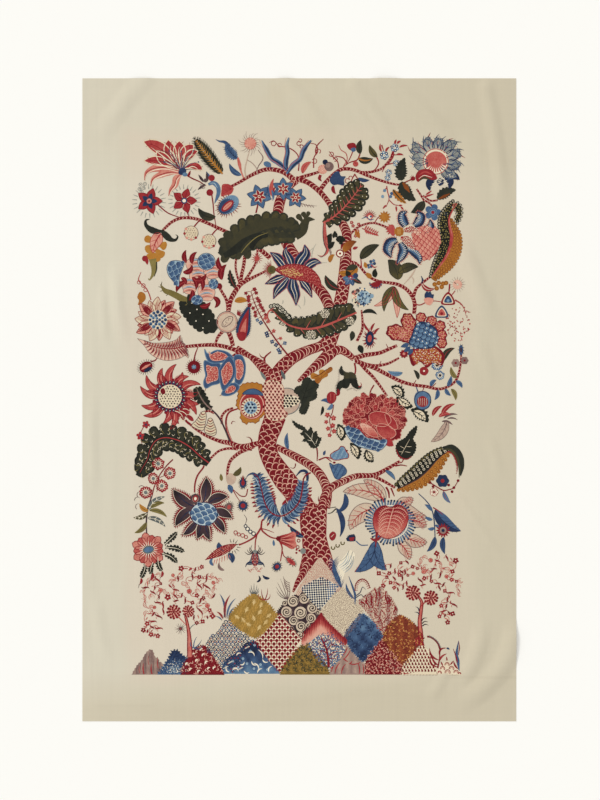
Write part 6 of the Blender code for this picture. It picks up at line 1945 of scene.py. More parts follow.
# ---- the crown, right of the column ------------------------------------------------------------------------
def oak_leaf_right():
    spine = [(323, 223), (332, 218), (341, 210.6), (349, 202), (356, 193), (362.6, 184)]
    oak(spine, 29, lobes=8, layer=4.6, tone=0.14, inner=0.5, rib=("madder", 0.55, 1.3), curls=0, fat=1.1, blunt=0.5, belly=0.52, dots=("reserve", 0.75, 0.6), glow=0.5)
    p, sd, wl, wr = blade_outline(smooth(spine, 1.0), 20, belly=0.5)
    d = sides(p)[0]
    for i in range(4, len(p) - 3, 5):
        for sg in (1, -1):
            stroke("madder", [p[i], p[i] + sd[i] * sg * wl[i] * 0.62 + d[i] * 3.0], (0.9, 0.3), 6.0, 0.6, curve=False)
    # the tail that hangs from it, with dark feathers on one side
    stroke("madder", [(325, 221), (324.6, 232), (325.6, 243), (327.6, 251), (323, 256), (318, 255.6)], (1.2, 3.2, 4.4, 3.6, 1.8, 0.3), 4.6, 0.6)
    stroke("umber", [(323.4, 222), (323, 233), (324, 243), (326.4, 250), (322, 257), (317.6, 255)], (0.6, 0.8, 0.8, 0.8, 0.3), 5.0, 0.2)
    dots_in(blade([(324.6, 226), (325, 238), (327, 249)], 3.4), 1.3, 0.3, 5.2, "madder", 0.16, n=5)
    for a, b, w in (((328, 245), (331.6, 233.6), 6.4), ((329, 249), (334.6, 242), 5.0), ((333.6, 238), (336, 231.6), 3.0), ((336, 240), (345.6, 240.6), 6.8), ((337, 237), (334.6, 231), 3.6), ((340, 241.6), (341.6, 244.6), 4.0)):
        leaf(a, b, w, bend=0.1, dye="leafgreen", tone=0.06, layer=4.6, edge=("leafgreen", 0.3, 0.4))


def top_branch_right():
    """Buds, leaves and small flowers along the top branch."""
    fill("madder", smooth([(347, 145), (351, 143), (355, 143.6), (356, 148), (352, 150.6), (348.6, 149)], 0.8, closed=True), 4.8, 0.26)
    fill("indigo", smooth([(350.6, 149), (354.6, 147.6), (355.6, 150.6), (352.6, 152)], 0.8, closed=True), 5.0, 0.42)
    twig([(352.6, 152), (349.6, 159), (345.6, 165)], 1.0, 3.6, 0.3)
    stroke("madder", [(338.6, 145), (341, 150), (346, 153.6), (347, 160), (343.6, 166)], (0.4, 0.8, 0.8, 0.8), 3.6, 0.5)
    leaf((360.4, 154), (361, 140), 6.4, bend=0.12, dye="leafgreen", tone=0.3, layer=4.4, rib=("leafgreen", 0.02, 0.5))
    leaf((358.4, 158.6), (373, 158.6), 7.0, bend=-0.14, dye="leafgreen", tone=0.24, layer=4.4, rib=("ochre", 0.4, 1.6))
    leaf((377.4, 157), (369.6, 145), 6.2, bend=0.12, dye="leafgreen", tone=0.6, layer=4.4, rib=("leafgreen", 0.1, 0.8))
    for pts in ([(360, 154), (357, 160), (349.6, 162.6), (343, 167)], [(376.6, 157), (378.6, 163), (375.6, 169), (371, 172)], [(390.6, 146), (393.6, 154), (390.6, 161), (385.6, 166), (382, 172)], [(381.6, 145), (383.6, 151)], [(391, 154.6), (396.6, 155)], [(387, 164.6), (394.6, 163)]):
        twig(pts, 1.3, 3.7, 0.3)
    disc("madder", (355.6, 164), 2.8, 4.6, 0.5, 14)
    stroke("madder", [(354.6, 162.8), (357, 164.4)], (0.8, 0.5), 5.0, 0.3, curve=False)
    for c, r in (((384.2, 155.6), 4.0), ((394.6, 148), 3.8), ((396.4, 163.4), 3.2), ((388.6, 172.6), 3.0), ((387.6, 178), 2.8)):
        for i in range(6):
            q = polar(c, TAU * i / 6 + 0.3, r * 0.72)
            disc("indigo", q, r * 0.42, 4.6, 0.3 if i % 2 else 0.66, n=9)
            disc("reserve", q, r * 0.16, 5.0, 1.0, n=6)
        disc("reserve", c, r * 0.34, 5.0, 0.9, n=9)
        disc("umber", c, r * 0.14, 5.3, 0.2, n=6)
    for a, b in (((381.6, 152), (380.4, 143.6)), ((395, 144.6), (396.6, 139.6)), ((399, 147.6), (408, 146)), ((396, 155), (403.6, 155.4)), ((385.6, 152), (389.6, 147)), ((397, 144), (401, 141))):
        leaf(a, b, 2.2, bend=0.12, dye="madder", tone=0.36, layer=4.4)
    for pts in ([(355, 174), (352.6, 178), (350, 184), (347.6, 189)],):
        stroke("madder", pts, (1.2, 0.9, 0.4), 4.0, 0.26)
    blue_leaf((358, 178), (369.6, 180), 4.0, -0.12, tone=0.26, rib=None)
    twig([(354.6, 174), (357, 178), (360, 182)], 1.2, 3.8, 0.3)
    # leaves beside the great flower
    leaf((401.6, 180.6), (405, 157.6), 12.0, bend=0.1, dye="leafgreen", tone=0.3, layer=5.0, teeth=8, bite=0.16, belly=0.36, rib=("leafgreen", 0.12, 0.5), tip_tone=0.12)
    leaf((401.8, 181.6), (416, 200.6), 12.6, bend=-0.14, dye="leafgreen", tone=0.26, layer=5.0, teeth=7, bite=0.12, belly=0.4)
    stroke("ochre", [(402.6, 182.6), (406, 187), (409.6, 192.6)], (1.6, 4.6, 0.6), 5.6, 0.2)
    leaf((393, 189.6), (406.4, 203.6), 6.4, bend=-0.06, dye="ochre", tone=0.42, layer=5.0, rib=("leafgreen", 0.3, 1.2), teeth=6, bite=0.2)
    for pts in ([(386.6, 186), (387.6, 192), (389, 199), (386, 207)], [(389, 200), (394, 204.6), (400, 205.6)], [(386.6, 188), (383, 191.6)]):
        twig(pts, 1.0, 3.8, 0.4)
    for q, t in (((391.6, 193.6), 0.4), ((382.6, 196.6), 0.7), ((384.6, 190.6), 0.6), ((390.6, 196.6), 0.5)):
        disc("indigo", q, 1.6, 4.4, t, n=10)
    for a, b in (((398.4, 205.6), (402.6, 205.4)), ((396, 206), (396.6, 212)), ((400.6, 206.6), (403.6, 210)), ((386, 205), (382.6, 209)), ((424, 197), (434, 194)), ((425.6, 195), (432, 190.6))):
        leaf(a, b, 1.8, dye="madder", tone=0.4, layer=4.2)


def great_flower():
    """The big round flower in the top right corner: a rayed disc with pointed grey-blue petals."""
    c = (435.6, 161.6)
    for i, (a, r1, tn) in enumerate((
        (-2.75, 28, 0.56), (-2.42, 30, 0.76), (-2.1, 25, 0.82), (-1.85, 26, 0.7), (-1.55, 24, 0.78), (-1.28, 23.6, 0.82), (-1.02, 25.6, 0.4), (-0.74, 29, 0.34),
        (-0.48, 27, 0.8), (-0.22, 26.4, 0.82), (0.06, 25.6, 0.76), (0.34, 24, 0.36), (0.62, 26, 0.6), (0.92, 23, 0.3), (-3.02, 24, 0.66), (3.0, 22, 0.7),
    )):
        tip = polar(c, a, r1)
        leaf(polar(c, a, 8), tip, 10.8, bend=0.12 if i % 2 else -0.1, dye="grey", tone=min(tn + 0.4, 1.0), layer=4.4 + 0.08 * i, belly=0.5, edge=("indigo", 0.16, 0.6), tip_tone=0.5, veins=3, vein=("indigo", 0.36, 0.5), rib=("indigo", 0.2, 0.7))
        stroke("indigo", [polar(c, a + 0.02, r1 - 6), polar(c, a, r1 - 0.6)], (0.6, 2.6, 0.4) if i % 2 else (0.4, 1.5, 0.3), 5.12 + 0.08 * i, 0.16 if i % 2 else 0.4, curve=False)
        stroke("madder" if i % 3 == 0 else "indigo", [tip, polar(c, a + 0.1, r1 + 3.4)], (0.9, 0.2), 4.8, 0.26, curve=False)
        stroke("madder", bow(polar(c, a + 0.14, 12), polar(c, a + 0.12, r1 - 3), 0.1, 6), (0.2, 0.6, 0.2), 5.0, 0.5, curve=False)
    disc("reserve", c, 13.2, 6.0, 0.6, 34)
    ring("madder", c, 12.6, 0.8, 6.05, 0.46, n=34)
    fill("madder", ring_points((c[0] + 0.3, c[1] + 0.2), 10.8, 30, 10.4), 6.1, 0.62)
    rr = dice((4, 9))
    for i in range(46):
        q = polar(c, rr.uniform(0, TAU), 9.6 * math.sqrt(rr.random()))
        stroke("madder", [q, np.asarray(q) + [rr.uniform(-0.5, 0.5), 1.6]], (0.2, 0.7, 0.2), 6.5, 0.36 + 0.26 * rr.random(), curve=False)
    for i in range(9):
        a = 0.5 + i * 0.24
        stroke("reserve", [polar(c, a, 11.4), polar(c, a, 6.2)], (1.5, 0.2), 6.6, 0.8, curve=False)
    fill("madder", smooth([(415.4, 176.6), (419, 170.6), (427, 169), (433, 171.6), (437, 178.6), (430, 180), (424, 177.4), (418, 182)], 0.8, closed=True), 7.0, 0.3)
    stroke("madder", [(419, 175), (425, 172), (432, 174.6)], (0.4, 2.0, 0.4), 7.4, 0.5)
    stroke("leafgreen", [(419, 181), (424, 177.8), (431, 180)], (0.5, 2.4, 0.4), 7.5, 0.5)
    stroke("reserve", [(418.6, 179), (424, 175.6), (432, 177.6)], (0.3, 0.7, 0.3), 7.6, 0.8)
    for a, b, be in (((437, 178), (430, 191), -0.3), ((442, 176), (448.6, 189), 0.35), ((446, 174), (459.6, 180), 0.1), ((440, 178), (439, 186), 0.1)):
        leaf(a, b, 7.4, bend=be, dye="indigo", tone=0.12, layer=5.2, belly=0.45)
        for k in (0.2, 0.42, 0.64):
            q = lerp(A([a])[0], A([b])[0], k)
            stroke("reserve", [q + [-2.2, 0.8], q, q + [2.2, -1.0]], (0.3, 0.8, 0.3), 5.8, 0.9)
    disc("madder", (413, 178.6), 2.2, 7.0, 0.24, 12)
    for i in range(7):
        stroke("madder", [(413, 178.6), polar((413, 178.6), 2.0 + i * 0.45, 3.6)], (0.7, 0.2), 6.8, 0.3, curve=False)
    twig([(402, 184), (408, 181), (413, 179)], 1.3, 3.8, 0.26)
    # leaves and the blue flower below it
    leaf((437.4, 199.6), (456, 190), 10.4, bend=0.12, dye="leafgreen", tone=0.26, layer=5.0, teeth=7, bite=0.14, belly=0.42)
    stroke("ochre", [(438.6, 199), (444, 196.6), (450, 193.6)], (1.0, 3.2, 0.5), 5.6, 0.14)
    leaf((424, 201), (410.6, 212.6), 8.8, bend=0.12, dye="leafgreen", tone=0.34, layer=5.0, tip_tone=0.2, rib=("leafgreen", 0.1, 0.6))
    for pts in ([(416.6, 189), (420.6, 195), (424.4, 201.6)], [(423, 195.6), (430, 200.6), (437.6, 200.4)], [(423.6, 200), (429, 203), (432, 206)]):
        bark(pts, (1.4, 1.6, 1.4), 3.0)
    double_ring = ring_points((432.8, 212.4), 5.2, 5)
    for q in double_ring:
        disc("indigo", q, 3.2, 5.0, 0.44, 16)
    disc("indigo", (432.8, 212.4), 4.2, 5.3, 0.62, 18)
    ring("indigo", (432.8, 212.4), 3.2, 0.7, 5.6, 0.3, n=18)
    disc("madder", (432.8, 212.4), 1.7, 5.8, 0.3, 12)
    leaf((440.6, 214.6), (447.6, 213.6), 4.4, dye="indigo", tone=0.7, layer=4.6, veins=3, vein=("indigo", 0.3, 0.4))


def pineapple_flower():
    """Ochre boss, stippled red petals, frilled navy petals and a pink scaled body."""
    body = smooth([(413, 231), (420, 227.6), (430, 226), (438, 229.6), (440.6, 240), (438, 250), (431, 258), (423.6, 259.6), (418.6, 252), (413, 243)], 0.9, closed=True)
    fill("madder", body, 5.0, 0.78, step=3)
    scales(body, 2.9, -0.15, 5.3, "madder", 0.86, 0.66, back=("madder", 0.42), squash=0.9, shrink=0.82)
    for pts, w in (
        ([(406, 226), (402.6, 220), (402.6, 214), (407, 211.6)], (7, 10, 8, 1)), ([(414, 226), (419, 221.6), (420.6, 216), (417, 211.6)], (5, 10, 9, 1)), ([(419, 230), (426, 231), (430.6, 226), (430, 219.6)], (4, 9.4, 8, 1)),
        ([(397, 240), (391, 242.6), (388, 249), (391, 257.6)], (5, 11, 10, 1)), ([(400, 243), (403.6, 250), (401, 257), (396.6, 264)], (5, 10, 8, 0.6)), ([(407, 249), (414, 251.6), (419, 257), (419.6, 264)], (4, 9.4, 9, 0.8)),
    ):
        line = smooth(pts, 0.9)
        stroke("indigo", line, w, 5.6, 0.12, curve=False)
        stroke("indigo", line[1:-2], tuple(v * 0.5 for v in w), 5.9, 0.5, curve=False)
        _, sd = sides(line)
        wid = np.interp(np.linspace(0, 1, len(line)), np.linspace(0, 1, len(w)), w)
        for j in range(1, len(line) - 2, 2):
            stroke("reserve", [line[j], line[j] + sd[j] * wid[j] * 0.34], (0.6, 0.3), 6.2, 0.7, curve=False)
            disc("indigo", line[j] - sd[j] * wid[j] * 0.22, 0.55, 6.3, 0.1, n=6)
        for sg in (1, -1):
            fringe(line + sd * (wid * 0.5 * sg)[:, None], sg, 1.8, 5.4, "madder", 0.62, gap=1.5, width=0.95, lean=0.0)
    for pts, w in (([(404, 230.6), (411, 229.6), (417, 232), (421.6, 234)], (3, 7, 5.4, 0.6)), ([(400.6, 238), (406.6, 240), (411, 245), (416, 250)], (3, 8.4, 7.2, 0.8))):
        line = smooth(pts, 0.9)
        stroke("reserve", line, tuple(v * 1.1 for v in w), 6.2, 0.9, curve=False)
        stroke("madder", line, w, 6.4, 0.36, curve=False)
        pol = blade(line, max(w) * 0.95)
        dots_in(pol, 1.7, 0.55, 6.8, "reserve", 0.7, n=5)
    for i in range(9):
        q = polar((399, 231.6), TAU * i / 9, 3.4)
        disc("ochre", q, 1.6, 7.0, 0.5, n=9)
    disc("ochre", (399, 231.6), 4.0, 7.1, 0.42, 18)
    for i in range(5):
        stroke("ochre", [(397.4 + i * 0.7, 229), (397.8 + i * 0.7, 234.4)], (0.3, 0.6, 0.3), 7.4, 0.85, curve=False)
    fill("madder", smooth([(394, 226), (391, 224.6), (388, 227), (388.6, 231), (392.6, 236), (395.6, 233)], 0.7, closed=True), 6.8, 0.52)
    for i in range(5):
        leaf((391.6, 229.6), polar((391.6, 229.6), 2.2 + i * 0.5, 6.4), 2.0, dye="madder", tone=0.5, layer=6.6)


def spiky_pair():
    """Two spiky stars, a red feather and small curls on the second branch."""
    bark([(350.6, 234), (356, 228.6), (364, 224.6), (373, 223), (381, 225), (389, 228.6)], (1.8, 1.8, 1.8, 2.0), 3.0)
    c = (369.6, 216.6)
    for i in range(10):
        a = -math.pi * 0.96 + i * 0.34
        stroke("madder", [polar(c, a, 2.2), polar(c, a, 6.8)], (1.2, 0.3), 4.4, 0.3, curve=False)
    disc("madder", c, 3.4, 4.6, 0.6, 14)
    disc("reserve", (369.8, 217), 1.8, 5.0, 0.8, 12)
    disc("indigo", (370.8, 216.6), 1.1, 5.2, 0.4, 9)
    stroke("indigo", [(361.6, 218.8), (366.6, 217), (370, 220), (374, 219)], (0.4, 1.0, 1.0, 0.4), 4.8, 0.4)
    c = (384.6, 217)
    for i in range(11):
        a = TAU * i / 11
        leaf(c, polar(c, a, 6.4), 2.6, dye="ochre", tone=0.44, layer=4.4)
    disc("ochre", c, 3.0, 4.8, 0.5, 14)
    stroke("madder", [(374.6, 222.6), (378, 217.6), (381, 216)], (0.9, 0.9), 3.8, 0.3)
    for i in range(7):
        q = (364.6 + i * 1.9, 229.6 + i * 0.7)
        for s in (-1, 1):
            leaf(q, (q[0] + 2.6, q[1] + s * (4.6 - i * 0.35)), 1.5, dye="madder", tone=0.52, layer=4.4)
    stroke("madder", [(362, 228.4), (376.6, 235)], (1.0, 0.4), 4.6, 0.4, curve=False)
    for q in ((353, 226), (358.6, 224.4), (351.6, 222.6), (357.6, 231), (355.6, 236)):
        blossom(q, 1.9, 5, "madder", 0.36, 4.2, ("reserve", 0.8))
    leaf((355.6, 230), (359.6, 238.6), 4.6, dye="ochre", tone=0.44, layer=4.4, rib=("madder", 0.4, 0.7))


def border_leaf():
    """The long leaf down the right edge: black and beaded inside, ochre scallops outside, pink midrib."""
    mid = smooth([(456.6, 203.6), (452.6, 210), (449, 219), (450, 228), (451.6, 237), (449.4, 249), (444.6, 259), (438, 268), (431.6, 277)], 1.0)
    _, sd = sides(mid)
    s = along(mid)
    t = s / s[-1]
    inner = mid
    w_in = 11.5 * np.sin(np.pi * np.clip(t * 0.88 + 0.1, 0, 1)) ** 0.8
    flip = 1.0 if (mid[20] + sd[20] * 5)[0] < mid[20][0] else -1.0
    dark = np.vstack([mid + sd * (w_in * flip)[:, None], inner[::-1]])
    fill("leafgreen", dark, 5.0, 0.02, step=3)
    dots_in(dark, 2.5, 0.62, 5.4, "leafgreen", 1.0, n=6, jitter=0.35)
    edge_line = mid + sd * (w_in * flip)[:, None]
    for q in even(edge_line, 30):
        disc("leafgreen", q, 1.9, 5.1, 0.04, n=10)
        ring("reserve", q, 0.7, 0.34, 5.5, 0.5, n=7)
    tip = smooth([(452.6, 207), (454.6, 203), (458.6, 203), (461.6, 208), (461.6, 215), (459.6, 220.6), (457, 223.6), (454.6, 219), (456.6, 213)], 0.8, closed=True)
    fill("leafgreen", tip, 5.2, 0.03)
    dots_in(tip, 2.5, 0.6, 5.6, "leafgreen", 1.0, n=6)
    for q in even(np.vstack([tip, tip[:1]]), 14)[:-1]:
        disc("leafgreen", q, 1.5, 5.15, 0.04, n=9)
        ring("reserve", q, 0.7, 0.36, 5.6, 0.8, n=6)
    w_out = 11.0 * np.sin(np.pi * np.clip((t - 0.2) / 0.8, 0, 1) * 0.86 + 0.08) ** 0.8 * (t > 0.2)
    gold = np.vstack([mid - sd * (w_out * flip)[:, None], mid[::-1]])
    fill("ochre", gold, 4.8, 0.42, step=3)
    for f in (1.0, 0.66, 0.34):
        for q in even((mid - sd * (w_out * flip * f)[:, None])[int(len(mid) * 0.22):], 22):
            disc("ochre", q, 1.7, 4.9 + (1 - f) * 0.4, 0.5, n=10)
            ring("ochre", q, 1.35, 0.45, 5.3 + (1 - f) * 0.4, 0.1, n=10)
    for q in ((438.6, 283), (441.6, 287), (436.6, 288.4), (443, 283.6), (434.6, 284.4), (446, 283)):
        disc("ochre", q, 2.3, 4.9, 0.46, n=12)
        ring("ochre", q, 1.6, 0.45, 5.3, 0.1, n=10)
    stroke("madder", mid, (0.6, 1.6, 3.2, 3.0, 2.0, 1.0), 5.9, 0.46, curve=False)
    stroke("madder", mid + [0.5, 0], (0.3, 0.8, 0.3), 6.2, 0.66, curve=False)
    curl_line((455, 206), 2.2, 2.6, 3.4, 6.0, "madder", 0.5, 0.8)


def right_stems():
    bark([(356, 263), (361, 268), (366, 274), (372, 278.6), (380, 281.6), (390, 283), (398, 284.6), (406, 289), (412, 296), (414.6, 304), (414, 314)], (1.8, 2.2, 2.4, 2.6, 3.0, 3.4, 3.6, 3.4), 3.0)
    bark([(413.6, 296), (416, 289), (421, 284), (430, 277)], (3.0, 2.2, 1.8), 2.9)
    twig([(414.6, 304), (420, 305), (427, 302), (434, 301), (442, 302)], 1.2, 3.2, 0.36)
    twig([(361.4, 268), (361, 261), (360.6, 258)], 1.3, 3.2, 0.36)
    bark([(361.4, 310), (362.4, 320), (362, 330), (357, 341)], (1.4, 1.8, 2.2, 2.4), 2.9)
    for a, b, w, be, tn, rb in (
        ((360.6, 259), (379, 245), 9.0, 0.1, 0.44, ("leafgreen", 0.1, 0.7)), ((398, 279.6), (388, 260), 13.6, -0.12, 0.62, ("leafgreen", 0.25, 0.6)),
        ((398.6, 273), (418, 267), 9.0, 0.14, 0.66, ("leafgreen", 0.25, 0.6)), ((338.6, 289), (325.4, 275.4), 7.4, 0.16, 0.3, ("madder", 0.3, 0.7)),
    ):
        leaf((a), b, w, bend=be, dye="leafgreen", tone=tn, layer=4.8, rib=rb, edge=("leafgreen", 0.14, 0.5), tip_tone=0.3)
    # ochre and olive leaves round the column
    leaf((357, 266), (338.6, 272), 9.4, bend=0.24, dye="ochre", tone=0.44, layer=5.0, rib=("leafgreen", 0.2, 0.5))
    leaf((357.6, 267), (345.6, 270.6), 6.0, bend=-0.1, dye="leafgreen", tone=0.4, layer=5.2)
    leaf((343.6, 252), (356.6, 241.6), 8.0, bend=0.14, dye="ochre", tone=0.4, layer=5.0, tip_tone=0.1)
    leaf((352.6, 249), (358, 247), 3.0, dye="madder", tone=0.3, layer=5.2)
    leaf((330, 262.6), (334.6, 254.6), 4.6, dye="ochre", tone=0.4, layer=5.0, bend=0.2)
    disc("reserve", (340, 253.6), 4.6, 4.8, 0.9, 18)
    ring("madder", (340, 253.6), 3.6, 1.3, 5.2, 0.22, n=18)
    disc("madder", (340, 253.6), 1.2, 5.4, 0.3, 10)
    for i in range(5):
        ring("umber", (332 + 0.3 * i, 249.6 + i * 1.2), 2.8, 0.5, 4.0, 0.6, a0=1.8, a1=4.2, n=9)
    # blue flower with dark leaves
    for a, r, tn in ((0.3, 9, 0.36), (1.2, 8.6, 0.3), (2.2, 8, 0.4), (3.2, 7, 0.5)):
        leaf((349.6, 278), polar((349.6, 278), a, r), 6.0, bend=0.1, dye="indigo", tone=tn, layer=5.2, rib=("indigo", 0.7, 0.4))
    leaf((350, 277), (346, 270.6), 5.6, dye="leafgreen", tone=0.1, layer=5.2)
    leaf((353, 279), (362, 283.6), 4.6, dye="leafgreen", tone=0.34, layer=5.2, rib=("madder", 0.4, 0.5))
    disc("indigo", (355.6, 275.6), 2.6, 5.3, 0.24, 12)
    blossom((350.6, 277.6), 2.8, 5, "madder", 0.3, 5.8, ("reserve", 0.9))
    # small things on the right branch
    for q, w in (((372.6, 262.6), 3.0), ((369.6, 266), 2.4)):
        for i in range(4):
            disc("indigo", polar(q, TAU * i / 4 + 0.5, w * 0.7), w * 0.52, 5.0, 0.24 + 0.26 * (i % 2), n=10)
    stroke("madder", [(371, 264.6), (374, 267.4), (377, 266.6)], (1.1, 1.3, 0.4), 5.3, 0.4)
    leaf((366.4, 268), (364.6, 262), 4.0, dye="ochre", tone=0.5, layer=4.8)
    leaf((372, 277.6), (366.4, 272.4), 5.0, dye="ochre", tone=0.44, layer=4.8, bend=0.1)
    leaf((375.6, 277.6), (375.6, 268.6), 5.4, dye="leafgreen", tone=0.06, layer=4.8, bend=0.1)
    for i in range(7):
        a = 0.2 + i * 0.42
        leaf((375.6, 282), polar((375.6, 282), a, 7.6), 2.6, dye="madder", tone=0.24, layer=4.8, bend=0.1)
        disc("indigo", polar((375.6, 282), a + 0.2, 6), 0.9, 5.0, 0.3, n=6)
    # drooping trumpet of long olive and pink lobes
    for b, w, be, dye, tn in (((384, 311.4), 7.0, -0.12, "leafgreen", 0.62), ((408.4, 310), 7.4, -0.16, "leafgreen", 0.66), ((397, 318), 7.0, 0.04, "madder", 0.84), ((374, 306), 6.0, 0.16, "madder", 0.84)):
        leaf((394, 286.6), b, w, bend=be, dye=dye, tone=tn, layer=4.9 if dye == "leafgreen" else 4.6, belly=0.4, rib=(dye, 0.4 if dye == "madder" else 0.3, 0.6), edge=(dye, 0.45 if dye == "madder" else 0.2, 0.5))
    stroke("umber", [(416, 268), (412, 275), (407, 281), (403, 285)], (0.4, 1.6, 1.0, 0.3), 3.6, 0.86)
    stroke("umber", [(411, 276), (413.6, 280), (412.6, 284)], (0.4, 1.2, 0.3), 3.6, 0.86)
    stroke("indigo", [(421, 276), (422.6, 280), (421, 284)], (0.4, 1.9, 0.5), 4.2, 0.16)
    # dotted thistle
    c = (361.6, 297.6)
    disc("reserve", c, 9.8, 4.6, 0.5, 30)
    disc("indigo", (c[0] + 2.4, c[1]), 7.2, 4.66, 0.86, 24)
    rr = dice((8, 3))
    for i in range(86):
        q = polar(c, rr.uniform(0, TAU), 9.8 * math.sqrt(rr.random()))
        dye, tn = (("indigo", 0.44), ("indigo", 0.1), ("indigo", 0.66))[i % 3]
        if q[0] < 359:
            dye, tn = (("umber", 0.1), ("grey", 0.6), ("madder", 0.7))[i % 3]
        disc(dye, q, rr.uniform(0.6, 1.15), 5.0, tn, n=6)
    for q in ((353.6, 292.6), (357.6, 290.8), (371.6, 296)):
        disc("umber" if q[0] < 360 else "indigo", q, 2.2, 4.8, 0.3 if q[0] < 360 else 0.75, 12)
    leaf((362.4, 313), (377, 314.6), 4.0, bend=0.2, dye="leafgreen", tone=0.1, layer=4.6)
    # crown of navy petals on a pink cup, red leaf
    for q, w in (((427, 294), 3.2), ((430.6, 294.4), 3.0), ((434, 297.6), 2.4)):
        leaf((429.6, 300), (q[0], q[1] - 3), w * 2, dye="indigo", tone=0.2, layer=5.0, bend=0.1)
    fill("madder", smooth([(424, 299), (429, 297.6), (433.6, 299.6), (430.6, 305), (426, 304)], 0.7, closed=True), 5.2, 0.82)
    leaf((422, 283.6), (434.6, 288.6), 4.6, bend=-0.24, dye="madder", tone=0.34, layer=4.8, rib=("reserve", 0.8, 0.5))
    # two triangular flowers and the cream dandelion
    for c, r, rot, ins in (((448, 300), 8.4, -math.pi / 2, "indigo"), ((441.6, 313), 8.0, -math.pi / 2, "madder")):
        tri = [polar(c, rot + TAU * i / 3, r * 0.94) for i in range(3)]
        pol = smooth([tri[0], polar(c, rot + TAU / 6, r * 0.68), tri[1], polar(c, rot + TAU / 2, r * 0.6), tri[2], polar(c, rot + TAU * 5 / 6, r * 0.68)], 0.8, closed=True)
        fill("madder" if ins == "indigo" else "indigo", pol, 5.0, 0.26)
        small = (pol - A([c])) * 0.72 + A([c])
        fill("reserve", small, 5.3, 0.45)
        fill("indigo" if ins == "indigo" else "madder", (pol - A([c])) * 0.56 + A([c]), 5.6, 0.3 if ins == "indigo" else 0.6)
        disc("indigo" if ins == "indigo" else "madder", (c[0], c[1] + 0.6), 1.5, 5.9, 0.7 if ins == "indigo" else 0.24, 10)
    c = (457.4, 284.6)
    for i in range(16):
        a = TAU * i / 16
        petal("madder", c, a, 1, 5.2, 2.0, 4.4, 0.88, 0.6)
        stroke("umber", [polar(c, a, 4), polar(c, a, 8.0)], (0.5, 0.15), 4.0, 0.66, curve=False)
    twig([(455, 291), (451, 296), (449, 299)], 1.0, 3.8, 0.4)
    twig([(449.6, 284), (449, 291), (447.6, 296)], 1.6, 3.8, 0.3)
    # a cloud of red dots and dashes
    rr = dice((2, 7))
    for i in range(74):
        a, k = rr.uniform(0, TAU), math.sqrt(rr.random())
        q = (458 + 12 * k * math.cos(a), 322 + 20 * k * math.sin(a))
        if rr.random() < 0.6:
            disc("madder", q, rr.uniform(0.5, 0.95), 4.2, 0.3 + 0.3 * rr.random(), n=6)
        else:
            v = rr.uniform(0, TAU)
            stroke("madder", [q, (q[0] + 2.6 * math.cos(v), q[1] + 2.6 * math.sin(v))], (0.9, 0.3), 4.2, 0.4, curve=False)
    stroke("madder", [(455, 300), (461, 304), (464.6, 310), (466, 316)], (1.6, 0.9, 0.3), 4.2, 0.36)
    leaf((352, 331), (350.6, 341), 5.4, dye="leafgreen", tone=0.3, layer=4.8, bend=0.1)
    leaf((359, 345), (362.6, 353.6), 6.0, dye="leafgreen", tone=0.1, layer=4.8)


def pomegranate_right():
    """Red stippled lobes round a blue scaled body, at the end of the right branch."""
    lobes = (
        (396.6, 332.6, 10.6, 8.2, 0.25), (408.6, 323, 7.6, 10.2, -0.3), (421, 317.4, 5.4, 5.0, 0), (431.6, 321, 5.6, 5.2, 0.4), (440, 326, 5.6, 5.6, 0.2), (441.6, 335, 5.4, 5.4, 0), (442, 343, 5.0, 5.6, 0.2), (407, 335, 8.4, 8.0, 0.4),
    )
    for k, (x, y, rx, ry, rot) in enumerate(lobes):
        rim = ring_points((x, y), rx, 30, ry, rot=rot)
        wav = np.array([1 + 0.07 * math.cos(TAU * j * 7 / 30) for j in range(len(rim))])
        rim = (rim - A([(x, y)])) * wav[:, None] + A([(x, y)])
        fill("madder", rim, 5.0 + k * 0.02, 0.12)
        small = (rim - A([(x, y)])) * 0.8 + A([(x, y)])
        fill("madder", small, 5.3 + k * 0.02, 0.38)
        flecks_in(small, 1.75, 1.5, 5.7, "madder", 0.8, width=0.62, curl=0.5)
        flecks_in(small, 2.9, 1.3, 5.8, "ochre", 0.9, width=0.6, curl=0.5)
    body = smooth([(415, 326), (421, 321.6), (430, 324), (436.6, 330), (438, 340), (433, 347.6), (423.6, 349), (414, 348), (408.6, 343), (411.6, 335)], 0.9, closed=True)
    fill("indigo", body, 6.2, 0.2, step=3)
    scales(body, 3.1, 1.15, 6.4, "indigo", 0.34, 0.72, back=("indigo", 0.16), squash=1.1, shrink=0.84, eye=("reserve", 0.95, 0.2))
    for a, b in (((409, 344), (400.6, 347)), ((410, 347), (404, 352)), ((412.6, 349), (408, 355))):
        leaf(a, b, 4.4, dye="indigo", tone=0.34, layer=6.3)
    low = smooth([(409.6, 351), (420, 345.6), (432, 345), (441, 350), (444.6, 358), (441, 366.6), (433.6, 363), (427, 367.6), (420, 362), (413, 366), (409.6, 359)], 0.9, closed=True)
    fill("madder", low, 5.2, 0.14, step=3)
    fill("madder", (low - low.mean(0)) * 0.84 + low.mean(0), 5.5, 0.36, step=3)
    flecks_in((low - low.mean(0)) * 0.8 + low.mean(0), 2.0, 1.7, 5.9, "ochre", 0.62, width=0.8, curl=0.5)
    flecks_in((low - low.mean(0)) * 0.8 + low.mean(0), 2.8, 1.5, 6.0, "reserve", 0.8, width=0.6, curl=0.5)
    # red bud with hairs
    c = (369.6, 338.6)
    spiky_bud(c, 4.2, 7.4, rot=0.1, layer=5.0, body=("indigo", 0.12), heart=("madder", 0.5), hairs=20, hair=3.2, hair_dye=("madder", 0.3), width=0.7)
    for a, b in (((369, 331), (364, 322.6)), ((371, 331), (375, 323)), ((374, 334), (379.6, 328))):
        leaf(a, b, 2.4, dye="madder", tone=0.3, layer=4.8, bend=0.1)


